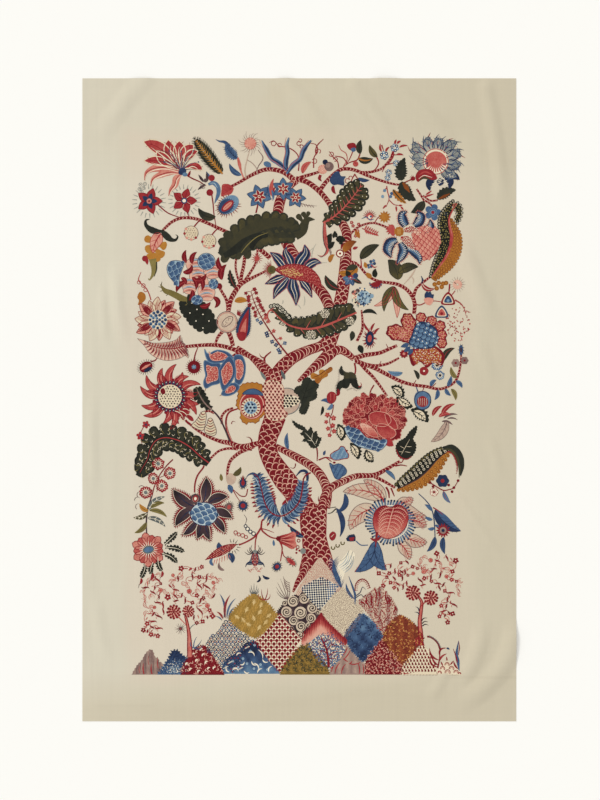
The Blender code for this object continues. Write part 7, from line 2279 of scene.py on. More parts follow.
oak_leaf_right()
top_branch_right()
great_flower()
pineapple_flower()
spiky_pair()
border_leaf()
right_stems()
pomegranate_right()


# ---- the rocky mound and what grows on it ---------------------------------------------------------------
GROUND_LINE = 674.5


def hill(pts, tooth=1.8, depth=1.3, base=GROUND_LINE):
    """A rock on the ground line from a given skyline, left to right, with small teeth."""
    line = smooth(pts, 0.8)
    sky = toothed(line, tooth, depth, closed=False, seed=int(pts[0][0] * 5)) if depth else line
    sky[0], sky[-1] = (pts[0][0], base), (pts[-1][0], base)
    return sky


def diamond(top, right, bottom, left, tooth=1.9, depth=1.3, bulge=0.06):
    """A lozenge rock with slightly swollen toothed sides."""
    pts = []
    for a, b in ((top, right), (right, bottom), (bottom, left), (left, top)):
        seg = bow(a, b, 0.035 + bulge, 12)[:-1]
        pts.append(seg)
    pts = np.vstack(pts)
    mid = pts.mean(0)
    return toothed(mid + (pts - mid) * 1.04, tooth, depth, seed=int(top[0]))


def ground():
    # grey rock with red runs, far left
    p = hill([(131.5, 674.5), (134, 670), (138, 664), (141.5, 660.5), (144, 656), (147, 651.5), (151, 649.2), (153.6, 652), (155.5, 657.5), (158, 657.2), (159.5, 662), (162.5, 663), (164.5, 674.5)], 3.4, 0.9)
    fill("umber", p, 1, lambda q: 0.60 + 0.1 * np.sin(q[:, 0] * 0.9), step=2.0)
    for x, y0, y1, s in ((143.5, 663, 674, 1.3), (151.5, 664, 674, 1.3), (157.8, 658, 668, 0.9), (139.5, 666, 673, 0.6), (148.5, 656, 665, 0.5)):
        stroke("madder", [(x, y0), (x - 0.4, (y0 + y1) / 2), (x + 0.5, y1)], (0.3, s, s * 0.8), 2, 0.42)
    for x, y0, y1 in ((141.2, 660, 672), (146.2, 653, 673), (149.8, 652, 662), (154.2, 658, 673), (160.4, 663, 673), (137, 667, 674)):
        stroke("umber", [(x, y0), (x - 0.7, (y0 + y1) / 2), (x, y1)], (0.3, 0.8, 0.4), 2, 0.42)
    # indigo rock with a toothed back, fading to pale
    p = hill([(156.5, 674.5), (160, 670), (164, 664.5), (167.5, 659), (170, 653.5), (173, 650), (177, 649.6), (181, 653), (184.5, 656.5), (187, 657), (187.5, 674.5)], 3.1, 2.3)
    fill("indigo", p, 1.2, lambda q: np.clip(0.12 + 0.36 * (q[:, 1] - 650) / 24 + 0.06 * np.sin(q[:, 0] * 1.7 + q[:, 1]), 0, 1), step=1.6)
    rr = random.Random(3)
    for _ in range(170):
        x, y = rr.gauss(175, 5.5), 673 - abs(rr.gauss(0, 6))
        if 160 < x < 186 and y > 655:
            disc("reserve" if rr.random() < 0.5 else "indigo", (x, y), rr.uniform(0.22, 0.5), 2.2, 0.85, n=5)
    flecks_in(p, 2.1, 1.7, 2.0, "indigo", 0.10, width=0.55, curl=0.3)
    # dark red rock with cream worms
    p = hill([(180.5, 674.5), (182, 668), (184.5, 662.5), (188.5, 657), (192, 651.5), (196, 647.5), (200, 645.8), (204, 645.2), (207, 648), (210.5, 652), (214, 657.5), (217.5, 663), (221.5, 669), (224.5, 674.5)], 2.3, 1.9)
    fill("madder", p, 1.6, lambda q: 0.13 + 0.06 * np.sin(q[:, 0] + q[:, 1] * 0.6), step=1.8)
    flecks_in(p, 4.0, 2.9, 2.4, "madder", 0.92, width=0.85, curl=0.75, chance=0.62)
    flecks_in(p, 2.6, 1.3, 2.3, "madder", 0.40, width=0.5, curl=0.5)
    rr = random.Random(9)
    for x, y in ((191, 669.5), (197, 660.5), (203.5, 655), (209, 668.5), (214.5, 668), (199, 671.5), (187, 664), (206.5, 662.5), (201.5, 649.5), (193.5, 654.5)):
        stroke("reserve", bow((x - 1.3, y + 1.1), (x + 1.2, y - 1.0), 0.35, 6), (0.9, 1.7, 0.4), 2.7, 0.75, curve=False)
    outline("madder", p, 0.6, 2.8, 0.03)
    # white rock built of tiny grey curls with red and indigo seeds
    p = toothed(smooth([(228, 620), (233, 624), (238, 628), (243, 632.5), (249, 637), (253, 642.5), (250, 648), (243, 653), (240, 660), (240, 668), (236, 673.8), (228, 674), (221.5, 668.5), (216, 660.5), (210, 653), (206.5, 648), (208, 641.5), (212.5, 636), (217.5, 629.5), (222.5, 624)], 0.8), 2.7, 1.6, closed=True, seed=77)
    fill("reserve", p, 1.3, 0.62, step=3.0)
    rr = random.Random(21)
    lo, hi = p.min(0), p.max(0)
    pts = np.array([(x + (1.8 if j % 2 else 0) + rr.uniform(-0.3, 0.3), y + rr.uniform(-0.2, 0.2)) for j, y in enumerate(np.arange(lo[1], hi[1], 2.75)) for x in np.arange(lo[0], hi[0], 3.6)])
    ok = inside(p, pts)
    for q in pts[ok & (pts[:, 1] < 671.6)]:
        ring("indigo", q, 1.62, 0.85, 2.0, 0.08 + rr.uniform(0, 0.3), a0=math.pi * 0.86, a1=math.pi * 2.14, n=9)
        k = rr.random()
        if k < 0.42:
            disc("madder", (q[0], q[1] + 0.3), 0.8, 2.4, 0.16, n=7)
        elif k < 0.72:
            disc("indigo", (q[0], q[1] + 0.3), 0.75, 2.4, 0.1, n=7)
        else:
            disc("umber", (q[0], q[1] + 0.3), 0.6, 2.2, 0.6, n=6)
    # grey-blue tuft and its red-tongued leaves on top
    for a, b, w, dye, tone in (((223.8, 618), (219.5, 593.5), 2.3, "indigo", 0.42), ((225.5, 618), (230.5, 594.5), 2.5, "madder", 0.32), ((227, 618.5), (236, 598), 1.9, "indigo", 0.5), ((223, 619), (216.5, 611.5), 2.1, "madder", 0.4), ((229, 619), (234.5, 607), 1.8, "indigo", 0.5), ((222, 620.5), (215.5, 616), 1.2, "indigo", 0.45)):
        leaf(a, b, w, bend=0.12 if b[0] > a[0] else -0.12, dye=dye, tone=tone, layer=3, rib=("umber", 0.3, 0.35))
    # ochre lozenge with pale leaf sprays
    p = diamond((253.6, 593.5), (277, 615), (256, 638), (228.5, 618), 2.6, 2.3, 0.03)
    fill("straw", p, 3.0, lambda q: 0.42 + 0.1 * np.sin(q[:, 0] * 0.5 + q[:, 1] * 0.3), step=2.2)
    flecks_in(p, 2.3, 2.6, 3.5, "straw", 0.28, ang=-1.35, width=0.6, curl=0.2)
    flecks_in(p, 3.1, 1.7, 3.6, "straw", 0.68, ang=-1.2, width=0.5, curl=0.2)
    for x, y, a in ((254, 602.5, -1.4), (246.5, 610, -1.2), (259.5, 612.5, -1.0), (236.5, 616.5, 0.6), (253.5, 617.5, 1.2), (248, 624, 0.5), (268.5, 616, -0.7), (259, 628, -1.1), (261, 605.5, -1.3), (243, 619.5, 0.9), (265.5, 622.5, -0.9)):
        stroke("straw", bow(polar((x, y), a + math.pi, 3.4), polar((x, y), a, 3.6), 0.12, 6), (0.3, 0.6, 0.3), 4.1, 0.85, curve=False)
        for k, s in enumerate((-2.2, -0.4, 1.4)):
            q = (x + s * math.cos(a), y + s * math.sin(a))
            for sg in (-1, 1):
                stroke("straw", bow(q, polar(q, a + sg * 0.75, 3.4 - 0.7 * k), 0.25 * sg, 6), (0.4, 1.0, 0.2), 4.15 + 0.06 * k, 0.92, curve=False)
    # brown fleck rock, low: olive ochre with dark curls
    p = hill([(279.5, 674.5), (282, 668), (286, 662), (291, 655.5), (296.5, 650), (301, 645.5), (304.6, 641.5), (309, 645), (313.5, 650.5), (318.5, 655.5), (323, 660.5), (327.5, 666.5), (330.5, 674.5)], 2.4, 1.9)
    fill("straw", p, 3.4, lambda q: 0.18 + 0.07 * np.sin(q[:, 0] * 0.6 - q[:, 1] * 0.4), step=2.2)
    p = np.minimum(p, [999, 672.0])
    flecks_in(p, 4.6, 3.4, 4.0, "leafgreen", 0.5, width=1.3, curl=0.75)
    flecks_in(p, 3.3, 2.2, 3.8, "straw", 0.42, width=0.7, curl=0.5)
    flecks_in(p, 4.9, 2.0, 4.3, "leafgreen", 0.1, width=0.7, curl=0.8)
    # indigo night rock with white willow leaves and pale blots
    p = A(smooth([(222, 673.8), (223, 664), (228, 657.5), (233, 655), (239, 649.5), (244, 644.5), (250, 641), (256, 641.5), (261, 644), (263.5, 650), (268.5, 656), (273, 662), (277.5, 668), (280, 673.8)], 0.8))
    p = np.vstack([toothed(p, 2.4, 1.3, closed=False, seed=31)])
    fill("indigo", p, 1.5, lambda q: np.clip(0.08 + 0.5 * (q[:, 1] - 646) / 28 + 0.10 * np.sin(q[:, 0] * 0.55) * np.cos(q[:, 1] * 0.4), 0.02, 0.66), step=1.8)
    for x, y in ((254.5, 645), (263.5, 652.5), (243, 658.5), (247, 663.5), (254, 668.5), (267.5, 669.5), (272, 660.5), (250.5, 651), (238, 667), (260.5, 664.5), (233, 661)):
        disc("indigo", (x, y), 1.25, 2.2, 0.84, n=9)
        disc("indigo", (x, y), 0.5, 2.8, 0.6, n=6)
    for a, b, be in (((258, 649.5), (262.5, 659), 0.2), ((262.5, 659), (268.5, 661.5), -0.3), ((248, 652.5), (254.5, 656.5), 0.35), ((251.5, 661), (257.5, 664.5), -0.3), ((253.5, 663), (258.5, 670.5), 0.25), ((267, 657), (270.5, 651.5), 0.25), ((240, 664.5), (244.5, 661.5), -0.3), ((232.5, 668.5), (238.5, 671.5), 0.3), ((269, 672), (272.5, 666), 0.3), ((244, 670.5), (249.5, 672.2), -0.3), ((236.5, 655.5), (241.5, 653.5), 0.3), ((257.5, 673), (262.5, 668.5), 0.25), ((229.5, 672), (226.5, 666.5), 0.3), ((264.5, 645), (261, 649), 0.3)):
        leaf(a, b, 1.25, bend=be, dye="reserve", tone=0.9, layer=2.6)
    for x, y in ((229, 663.5), (233.5, 670), (239.5, 669.5), (246, 648.5), (224.5, 668.5)):
        for k in range(3):
            curl_line((x + k * 1.4, y - k * 0.8), 0.8, 2.8, 3.6, 2.7, "reserve", 0.85, 0.6)
    # red fish scales on cream
    p = diamond((279.5, 615.5), (301, 641), (280, 671), (257, 641), 2.2, 0.9, 0.0)
    fill("reserve", p, 2.4, 0.62, step=3.2)
    r = 2.75
    for i in range(-10, 10):
        for j in range(-6, 7):
            q = (279.5 + (2 * j + (i % 2)) * r, 643 + i * 3.3)
            if not inside(p, [q])[0]:
                continue
            ring("madder", q, r * 0.96, 0.75, 3.0, 0.34, a0=math.pi * 1.02, a1=math.pi * 1.98, n=9)
            th = np.linspace(math.pi, TAU, 9)
            drop = np.vstack([np.stack([q[0] + r * 0.56 * np.cos(th), q[1] + 0.9 + r * 0.66 * np.sin(th)], 1), [[q[0] + 1.1, q[1] + r * 0.60], [q[0] - 0.8, q[1] + r * 0.80]]])
            fill("madder", drop, 3.4, 0.14 + 0.06 * math.sin(i + j * 2.1))
            stroke("madder", [(q[0] - r, q[1]), (q[0] - r * 0.98, q[1] + 1.6)], (0.9, 0.4), 3.1, 0.3, curve=False)
    # plum lozenge of spirals
    p = diamond((302, 592), (322, 611.5), (299, 640.5), (277.5, 612), 2.1, 1.6, 0.05)
    fill("umber", p, 2.2, lambda q: 0.17 + 0.1 * np.sin(q[:, 0] * 0.8), step=2.4)
    for x, y, r in ((293, 601.2, 5.6), (304, 598.6, 5.2), (286.6, 611.8, 5.7), (300.4, 612.6, 6.4), (312.2, 608, 5.2), (311, 618, 4.9), (293.6, 620.4, 4.8), (301, 626.3, 5.2), (300.5, 634.6, 3.6), (284.6, 603, 2.6), (310.5, 600.5, 2.4), (318, 612.5, 2.6), (308.6, 624.6, 2.6), (291.5, 628.5, 2.5)):
        disc("umber", (x, y), r * 0.96, 2.9, 0.97, n=20)
        spiral((x, y), r * 0.86, 3.5, "umber", 0.06, 1.15, 2.1 if r > 4 else 1.4, x * 0.9, 1 if int(x) % 2 else -1)
        if r > 4:
            disc("umber", (x + 0.3, y), 0.8, 3.7, 0.05, n=7)
    # pale checked lozenge of indigo dots
    p = diamond((322, 577.5), (337.5, 586.5), (320, 609), (301.5, 587.5), 1.7, 0.7, 0.0)
    fill("reserve", p, 3.0, 0.75, step=3.0)
    for i in range(-14, 15):
        for j in range(-14, 15):
            q = (319 + i * 2.3 + j * 0.15, 592 + j * 2.3 - i * 0.1)
            if inside(p, [q])[0]:
                disc("indigo", q, 0.98, 3.8, 0.08 + 0.3 * (q[0] > 328), n=6)
            for dx, dy in ((1.15, 0.0), (0.0, 1.15)):
                if inside(p, [(q[0] + dx, q[1] + dy)])[0]:
                    disc("indigo", (q[0] + dx, q[1] + dy), 0.42, 3.6, 0.6, n=5)
    # tan skirt under the trunk
    p = A([(320, 557.5), (325, 563), (331, 571), (338.5, 579.5), (342, 586), (336, 592), (322, 585), (312, 584), (303, 590), (299, 595.5), (296, 592.6), (301.6, 583), (308, 573), (313.5, 564.4)])
    p = smooth(p, 1.0, closed=True)
    fill("umber", p, 2.96, 0.90, step=2.0)
    flecks_in(p, 1.9, 1.3, 3.4, "madder", 0.55, ang=0.7, width=0.5, curl=0.1)
    flecks_in(p, 2.1, 1.2, 3.3, "reserve", 0.6, ang=-0.7, width=0.5, curl=0.1)
    # cream lozenge stippled brown
    p = diamond((342, 587), (363, 610), (345, 637.5), (320.5, 612), 2.0, 0.8, 0.02)
    fill("reserve", p, 2.6, 0.42, step=3.0)
    flecks_in(p, 1.25, 0.95, 3.2, "umber", 0.56, width=0.42, curl=0.4)
    flecks_in(p, 1.9, 0.9, 3.3, "umber", 0.36, width=0.36, curl=0.5)
    # red flame gable over a small coral tree on blue
    outer = A([(321, 612), (325, 618), (330, 624), (335.5, 629), (341, 634), (347, 640), (345.6, 645), (339.4, 643), (332.5, 638.6), (326, 635), (321.5, 634), (315.5, 637), (309.5, 642), (303, 646), (301.5, 640), (306, 633), (311.5, 626), (316.5, 619)])
    o = toothed(smooth(outer, 0.8, closed=True), 1.7, 1.3, seed=5)
    fill("madder", o, 3.3, lambda q: np.clip(0.16 + 0.045 * (q[:, 1] - (612 + np.abs(q[:, 0] - 321) * 0.95)), 0.12, 0.86), step=1.3)
    for k in range(26):
        x = 303 + k * 1.7
        y = 613 + abs(x - 321) * 1.02
        stroke("madder", [(x, y + 1), (x + 0.5 * np.sign(x - 321), y + 9.5 + 2 * (k % 3))], (1.3, 0.9, 0.2), 3.9, 0.16 + 0.05 * (k % 3), curve=False)
    p = diamond((326, 631.5), (345, 647), (329, 668), (309, 647), 1.8, 0.8, 0.05)
    fill("reserve", p, 3.0, 0.55, step=3.0)
    flecks_in(p, 2.2, 2.4, 3.4, "indigo", 0.5, width=1.5, curl=0.4)
    flecks_in(p, 3.1, 1.8, 3.6, "indigo", 0.26, width=0.9, curl=0.4)
    flecks_in(p, 3.7, 1.2, 3.6, "madder", 0.3, width=0.6, curl=0.4)
    for pts, w in (([(328.8, 667), (328, 658), (326.3, 649), (323, 641.5), (321.3, 637)], 2.4), ([(327.5, 654), (322.5, 650.5), (317.5, 651.5)], 0.9), ([(326.8, 650), (331.5, 644.5), (335.5, 643)], 0.9), ([(325, 646), (319.5, 643.5), (316, 645)], 0.7), ([(328, 657), (333, 652.5), (338, 651.5)], 0.9), ([(324, 643), (327.5, 638.5), (330, 637.5)], 0.7), ([(328.4, 661), (322.8, 658.5), (320, 656)], 0.8), ([(331.5, 644.5), (331.5, 641)], 0.5), ([(333, 652.5), (335.5, 655)], 0.5), ([(326.5, 650), (324, 644), (328, 640), (332, 638)], 0.9), ([(331.5, 644.5), (336.6, 645.6), (340, 644.5)], 0.8), ([(322, 650.6), (318, 655), (315.6, 655)], 0.7), ([(328.2, 658), (335, 658.5), (338, 656)], 0.8), ([(319.5, 643.5), (318, 640)], 0.6)):
        stroke("madder", pts, (w, w * 0.8, w * 0.4), 4.3, 0.2)
    dots_in(p, 2.7, 0.42, 4.0, "madder", 0.42, n=5, chance=0.6)
    # blue cloudy lozenge
    p = diamond((362.5, 613.5), (382.5, 636), (363, 661), (344.5, 637), 2.2, 1.6, 0.04)
    fill("indigo", p, 2.7, lambda q: np.clip(0.34 + 0.15 * np.sin(q[:, 0] * 0.42) * np.cos(q[:, 1] * 0.36) - 0.006 * (q[:, 1] - 636), 0.05, 0.6), step=1.5)
    flecks_in(p, 4.1, 3.2, 3.2, "indigo", 0.18, width=1.5, curl=0.35, chance=0.7)
    flecks_in(p, 3.1, 2.2, 3.3, "indigo", 0.5, width=0.6, curl=0.3, chance=0.6)
    # mauve-grey rock with red ridges
    p = hill([(329.5, 674.5), (330.5, 667), (333, 661), (338, 655), (343.5, 650.5), (346.5, 645.5), (351, 649.5), (355, 655), (360, 660), (366, 664.5), (368, 674.5)], 3.5, 0.6)
    fill("umber", p, 1.2, lambda q: 0.68 + 0.08 * np.sin(q[:, 0] * 0.8), step=2.2)
    for a, b, bnd in (((347.5, 647.5), (340.5, 657), 0.06), ((350, 650.5), (343, 660), 0.06), ((345, 650), (336, 661), 0.04), ((343.5, 658), (348, 661.5), -0.1), ((352, 661), (349, 664), 0.1), ((360.5, 662), (349, 663.5), 0.12), ((357.8, 663), (359, 674), 0.1), ((362.8, 664), (363, 674), 0.06), ((340, 662.5), (335, 673.5), -0.1), ((337, 661.5), (331.5, 672), -0.1), ((345.5, 664), (341.5, 673.8), -0.1), ((333.5, 664.5), (331, 669), -0.1)):
        stroke("madder", bow(a, b, bnd, 8), (0.5, 1.3, 0.5), 2.2, 0.40, curve=False)
    # mauve rock of dark red flames
    p = A(smooth([(358.5, 600), (361.5, 598.5), (363, 597), (365.5, 594.5), (368.5, 592.5), (371, 591), (375, 586.8), (377, 589.5), (379.6, 586), (382, 589), (385, 590.5), (388, 594), (390.5, 597), (393.5, 600.5), (396.5, 606), (398, 611), (395, 618), (391, 626), (384, 635.5), (378.5, 631), (373.5, 622), (367, 613), (361.5, 606)], 0.9, closed=True))
    fill("umber", p, 2.1, lambda q: 0.84 - 0.10 * np.sin(q[:, 0] * 0.7), step=1.9)
    for x, y0, y1, sl in ((361, 599.5, 608, 5), (365, 595, 611, 5), (370, 592, 613, 4), (375.3, 587.5, 607, 1.5), (380, 586.5, 607, -1.5), (385.5, 591.5, 612, 2.5), (391, 598, 608, -2.0), (394.8, 604.5, 617, -0.5), (388, 596, 605, 1.0)):
        n = 12
        t = np.linspace(0, 1, n)
        pts = np.stack([x + sl * t + 0.8 * np.sin(t * 9 + x), y0 + (y1 - y0) * t], 1)
        stroke("madder", pts, (0.3, 1.8, 0.9, 0.2), 2.9, 0.17, curve=False)
        stroke("umber", pts + np.array([1.7, 1.0]), (0.2, 0.8, 0.2), 2.7, 0.6, curve=False)
    for pts in ([(383, 634), (382.5, 626), (380, 619), (375, 612.5)], [(382, 624), (387, 617.5), (391, 613)], [(381, 621), (376, 621.5)], [(382.5, 628), (387, 626)], [(379, 617), (381, 611)], [(385, 620), (389.5, 621)], [(377, 615), (373, 612)], [(383, 631), (379, 628)]):
        stroke("madder", pts, (0.5, 1.0, 0.3), 3.0, 0.22)
    flecks_in(p, 2.4, 2.2, 2.9, "madder", 0.28, width=0.9, curl=0.35)
    # orange-brown lozenge with yellow marks
    p = diamond((399.5, 615), (423, 637.5), (401, 667), (382.5, 638.5), 2.2, 1.8, 0.07)
    fill("rust", p, 2.9, lambda q: np.clip(0.4 + 0.12 * np.sin(q[:, 0] * 0.6), 0, 1), step=2.0)
    flecks_in(p, 2.9, 2.0, 3.4, "rust", 0.08, width=0.7, curl=0.4)
    flecks_in(p, 3.9, 2.3, 3.6, "rust", 0.95, width=0.8, curl=0.6, chance=0.8)
    # maroon rock with pink seeds
    p = hill([(364.5, 674.5), (365, 666), (366.5, 659), (371, 652.5), (376, 646), (381, 639.8), (386, 644), (390.5, 650), (395, 655.5), (399, 661), (402, 667), (403.5, 674.5)], 2.2, 1.5)
    fill("madder", p, 3.1, lambda q: 0.12 + 0.04 * np.sin(q[:, 0] * 0.7), step=2.2)
    flecks_in(p, 2.7, 1.7, 3.7, "madder", 0.8, width=0.8, curl=0.7)
    flecks_in(p, 4.3, 1.5, 4.0, "umber", 0.86, width=0.8, curl=0.4, chance=0.7)
    # cream rock with rows of red drops
    p = hill([(401.5, 674.5), (402.5, 667), (406, 661), (411, 655.5), (416, 649.5), (421.5, 643.5), (426, 647.5), (430, 653), (433, 660), (436, 667), (438, 674.5)], 2.2, 1.3)
    fill("reserve", p, 3.3, 0.5, step=3.0)
    for j, y in enumerate(np.arange(647.0, 674.0, 3.3)):
        for x in np.arange(398 + (j % 2) * 1.6, 440, 3.2):
            if inside(p, [(x, y)])[0]:
                stroke("madder", [(x - 0.4, y - 1.4), (x + 0.4, y + 1.4)], (0.8, 2.3), 3.9, 0.07 + 0.05 * ((j + int(x)) % 3), curve=False)
    stroke("madder", [(404, 673.6), (420, 673.9), (437, 673.6)], 1.3, 4.0, 0.4)
    # small rock of red curls, right
    p = hill([(435.5, 674.5), (438, 668.5), (442.5, 664), (446.5, 660.5), (450.5, 662.5), (455, 666.5), (459, 670.5), (462, 674.5)], 2.6, 0.8)
    fill("reserve", p, 1.6, 0.55)
    for x, y, r in ((447, 664.5, 2.2), (442.5, 668.5, 2.2), (451.5, 668.5, 2.4), (447.5, 672.2, 2.6), (439.5, 672.5, 1.8), (456, 672.2, 2.2), (459.6, 673.3, 1.1)):
        ring("madder", (x, y), r, 0.75, 2.4, 0.28, a0=math.pi * 0.9, a1=math.pi * 2.2)
        ring("madder", (x, y), r * 0.55, 0.5, 2.4, 0.5, a0=math.pi * 0.9, a1=math.pi * 2.2)
    for a, b in (((443, 666), (440.5, 661)), ((450, 665), (453.5, 660.5)), ((447, 661), (446.5, 656.5))):
        leaf(a, b, 1.4, dye="madder", tone=0.3, layer=2.2)

    # tufts on the ridges
    tuft((264.4, 600), 4, 13, 0.75, 4.4, "madder", 0.3, 1.0)
    tuft((254, 593.5), 7, 9.5, 0.95, 4.4, "grey", 0.15, 0.8)
    tuft((287, 599), 6, 22, 0.5, 4.4, "umber", 0.32, 0.75, lean=-0.42, curl=0.12)
    for k in range(5):
        stroke("umber", bow((290, 583 + k * 2.2), (283 + k * 0.4, 576 + k * 2.0), 0.15, 6), (0.6, 0.5, 0.15), 4.4, 0.45, curve=False)
    tuft((194, 648), 4, 14, 0.7, 3.4, "indigo", 0.4, 1.1, lean=0.5, curl=0.3)
    leaf((213.7, 565.5), (213.4, 557.5), 3.0, bend=0.35, dye="indigo", tone=0.45, layer=3)
    leaf((224.5, 570), (219.4, 562), 3.0, bend=0.3, dye="umber", tone=0.5, layer=3)
    leaf((256.6, 582), (258.6, 575.5), 2.1, bend=-0.35, dye="indigo", tone=0.06, layer=3)
    leaf((269.8, 578), (262.6, 574.8), 2.8, bend=0.2, dye="indigo", tone=0.12, layer=3)

    # the small blue bush with a beaded red arch
    stroke("indigo", [(355, 604.5), (355, 595), (353, 588), (348.6, 576)], (0.8, 2.2, 1.6, 0.3), 3.4, 0.34)
    leaf((354.6, 599), (346, 583), 3.0, bend=0.12, dye="indigo", tone=0.36, layer=3.2)
    stroke("indigo", [(355.2, 596), (360, 592.5), (362.5, 587), (365.5, 589.5)], (0.9, 0.8, 0.3), 3.3, 0.12)
    stroke("indigo", [(355.2, 598), (361, 594.5), (363, 596.5), (366.5, 594)], (0.9, 0.7, 0.3), 3.3, 0.12)
    arch = smooth([(355, 590), (355.6, 584.5), (359, 580), (363.5, 579), (367.5, 582), (369.8, 587.5)], 0.9)
    stroke("madder", arch, 0.7, 3.4, 0.25, curve=False)
    beads(arch, 0.75, 3.9, "madder", 0.14, 1.9)
    _, sd = sides(even(arch, 13))
    for q, n_ in zip(even(arch, 13), sd):
        stroke("madder", [q, q - n_ * 2.6], (0.5, 0.7), 3.4, 0.4, curve=False)

    # red shoot with a beaded head, and a blue blade, right
    stroke("madder", [(437.6, 668), (439.5, 658), (439.8, 648.5)], (1.7, 1.1, 0.9), 3.6, 0.2)
    beads([(439.8, 648.5), (438, 643.5), (434.5, 639.5), (430.5, 637), (428, 636.5)], 1.15, 4.2, "madder", 0.12, 1.5)
    beads([(440.4, 647), (437.5, 641.5), (433.5, 638), (429.5, 636)], 0.7, 4.3, "grey", 0.3, 1.7)
    for a, b, be, tn, dye in (((438, 665), (432, 655.5), 0.15, 0.28, "madder"), ((437.8, 667), (431, 654.5), 0.3, 0.3, "madder"), ((439, 660), (429.5, 647.5), 0.2, 0.25, "madder"), ((439.8, 656), (446.5, 648), 0.35, 0.25, "madder"), ((446.3, 648), (449.5, 649.5), 0.1, 0.2, "indigo"), ((439, 662), (447, 653.5), 0.15, 0.35, "madder")):
        leaf(a, b, 1.9, bend=be, dye=dye, tone=tn, layer=3.4)
    stroke("indigo", [(459, 670.5), (457.8, 661), (456.5, 654), (458.5, 640.5)], (0.8, 3.4, 2.2, 0.3), 3.7, 0.40)
    stroke("madder", [(458.5, 668), (455.8, 656), (453, 648.5)], (0.8, 1.4, 0.3), 4.0, 0.25)
    stroke("madder", [(458.2, 655), (459.3, 648), (458.6, 641)], (0.5, 1.0, 0.3), 4.0, 0.22)
    leaf((458, 669), (453.5, 660.5), 1.8, bend=0.1, dye="madder", tone=0.25, layer=3.5)


def flower_tree(trunk, heads, cloud, side_seed):
    """A little red tree: a slim trunk, two full flowers, and a cloud of small leaves, curls and blossoms."""
    rr = random.Random(side_seed)
    stroke("madder", trunk[0], tuple(trunk[1]), 3.0, 0.66)
    line = smooth(trunk[0], 1.0)
    w = np.interp(np.linspace(0, 1, len(line)), np.linspace(0, 1, len(trunk[1])), trunk[1])
    _, sd = sides(line)
    for k in (1, -1):
        stroke("madder", line + sd * (w / 2 * k)[:, None], 1.0, 3.6, 0.22, curve=False)
    for x, y, r in heads:
        double_flower((x, y), r, 6.0)
    spots = np.array([(x, y) for _, x, y, _, _ in cloud])
    for i in range(1, len(spots)):
        far = np.hypot(*(spots[:i] - spots[i]).T)
        j = int(far.argmin())
        if 3.0 < far[j] < 13.0:
            stroke("madder", bow(spots[i], spots[j], rr.uniform(-0.45, 0.45), 7), (0.4, 0.5, 0.3), 3.6, 0.5 + rr.uniform(0, 0.2), curve=False)
            if far[j] > 6.5:
                m = (spots[i] + spots[j]) / 2
                s_leaf(m, rr.uniform(2.6, 3.8), rr.uniform(0, 3.1), 3.8, tone=0.34 + rr.uniform(0, 0.3), width=0.9)
    for kind, x, y, size, ang in cloud:
        tone = 0.18 + rr.uniform(-0.06, 0.12)
        if kind == "s":
            s_leaf((x, y), size * 0.95, ang, 4.0, tone=tone, width=1.5)
            if rr.random() < 0.5:
                curl_line(polar((x, y), ang + 1.4, 1.9), 1.1, ang + 1.0, 3.6, 4.0, "madder", 0.62, 0.45)
        elif kind == "c":
            curl_line((x, y), size, ang, 4.6, 4.0, "madder", 0.66, 0.55)
            curl_line((x, y), size * 0.5, ang + 0.5, 3.6, 4.0, "madder", 0.74, 0.45)
        elif kind == "b":
            blossom((x, y), size, 4 + int(x) % 2, tone=tone + 0.04, layer=4.2)
        elif kind == "o":
            disc("madder", (x, y), size, 4.0, tone + 0.1, n=7)
            leaf((x, y), polar((x, y), ang, size * 2.3), size * 1.3, dye="madder", tone=tone + 0.15, layer=4.0)
        elif kind == "w":
            blossom((x, y), size, 5, "madder", 0.62, 4.2, ("madder", 0.3))
            ring("madder", (x, y), size * 0.95, 0.35, 4.6, 0.45)


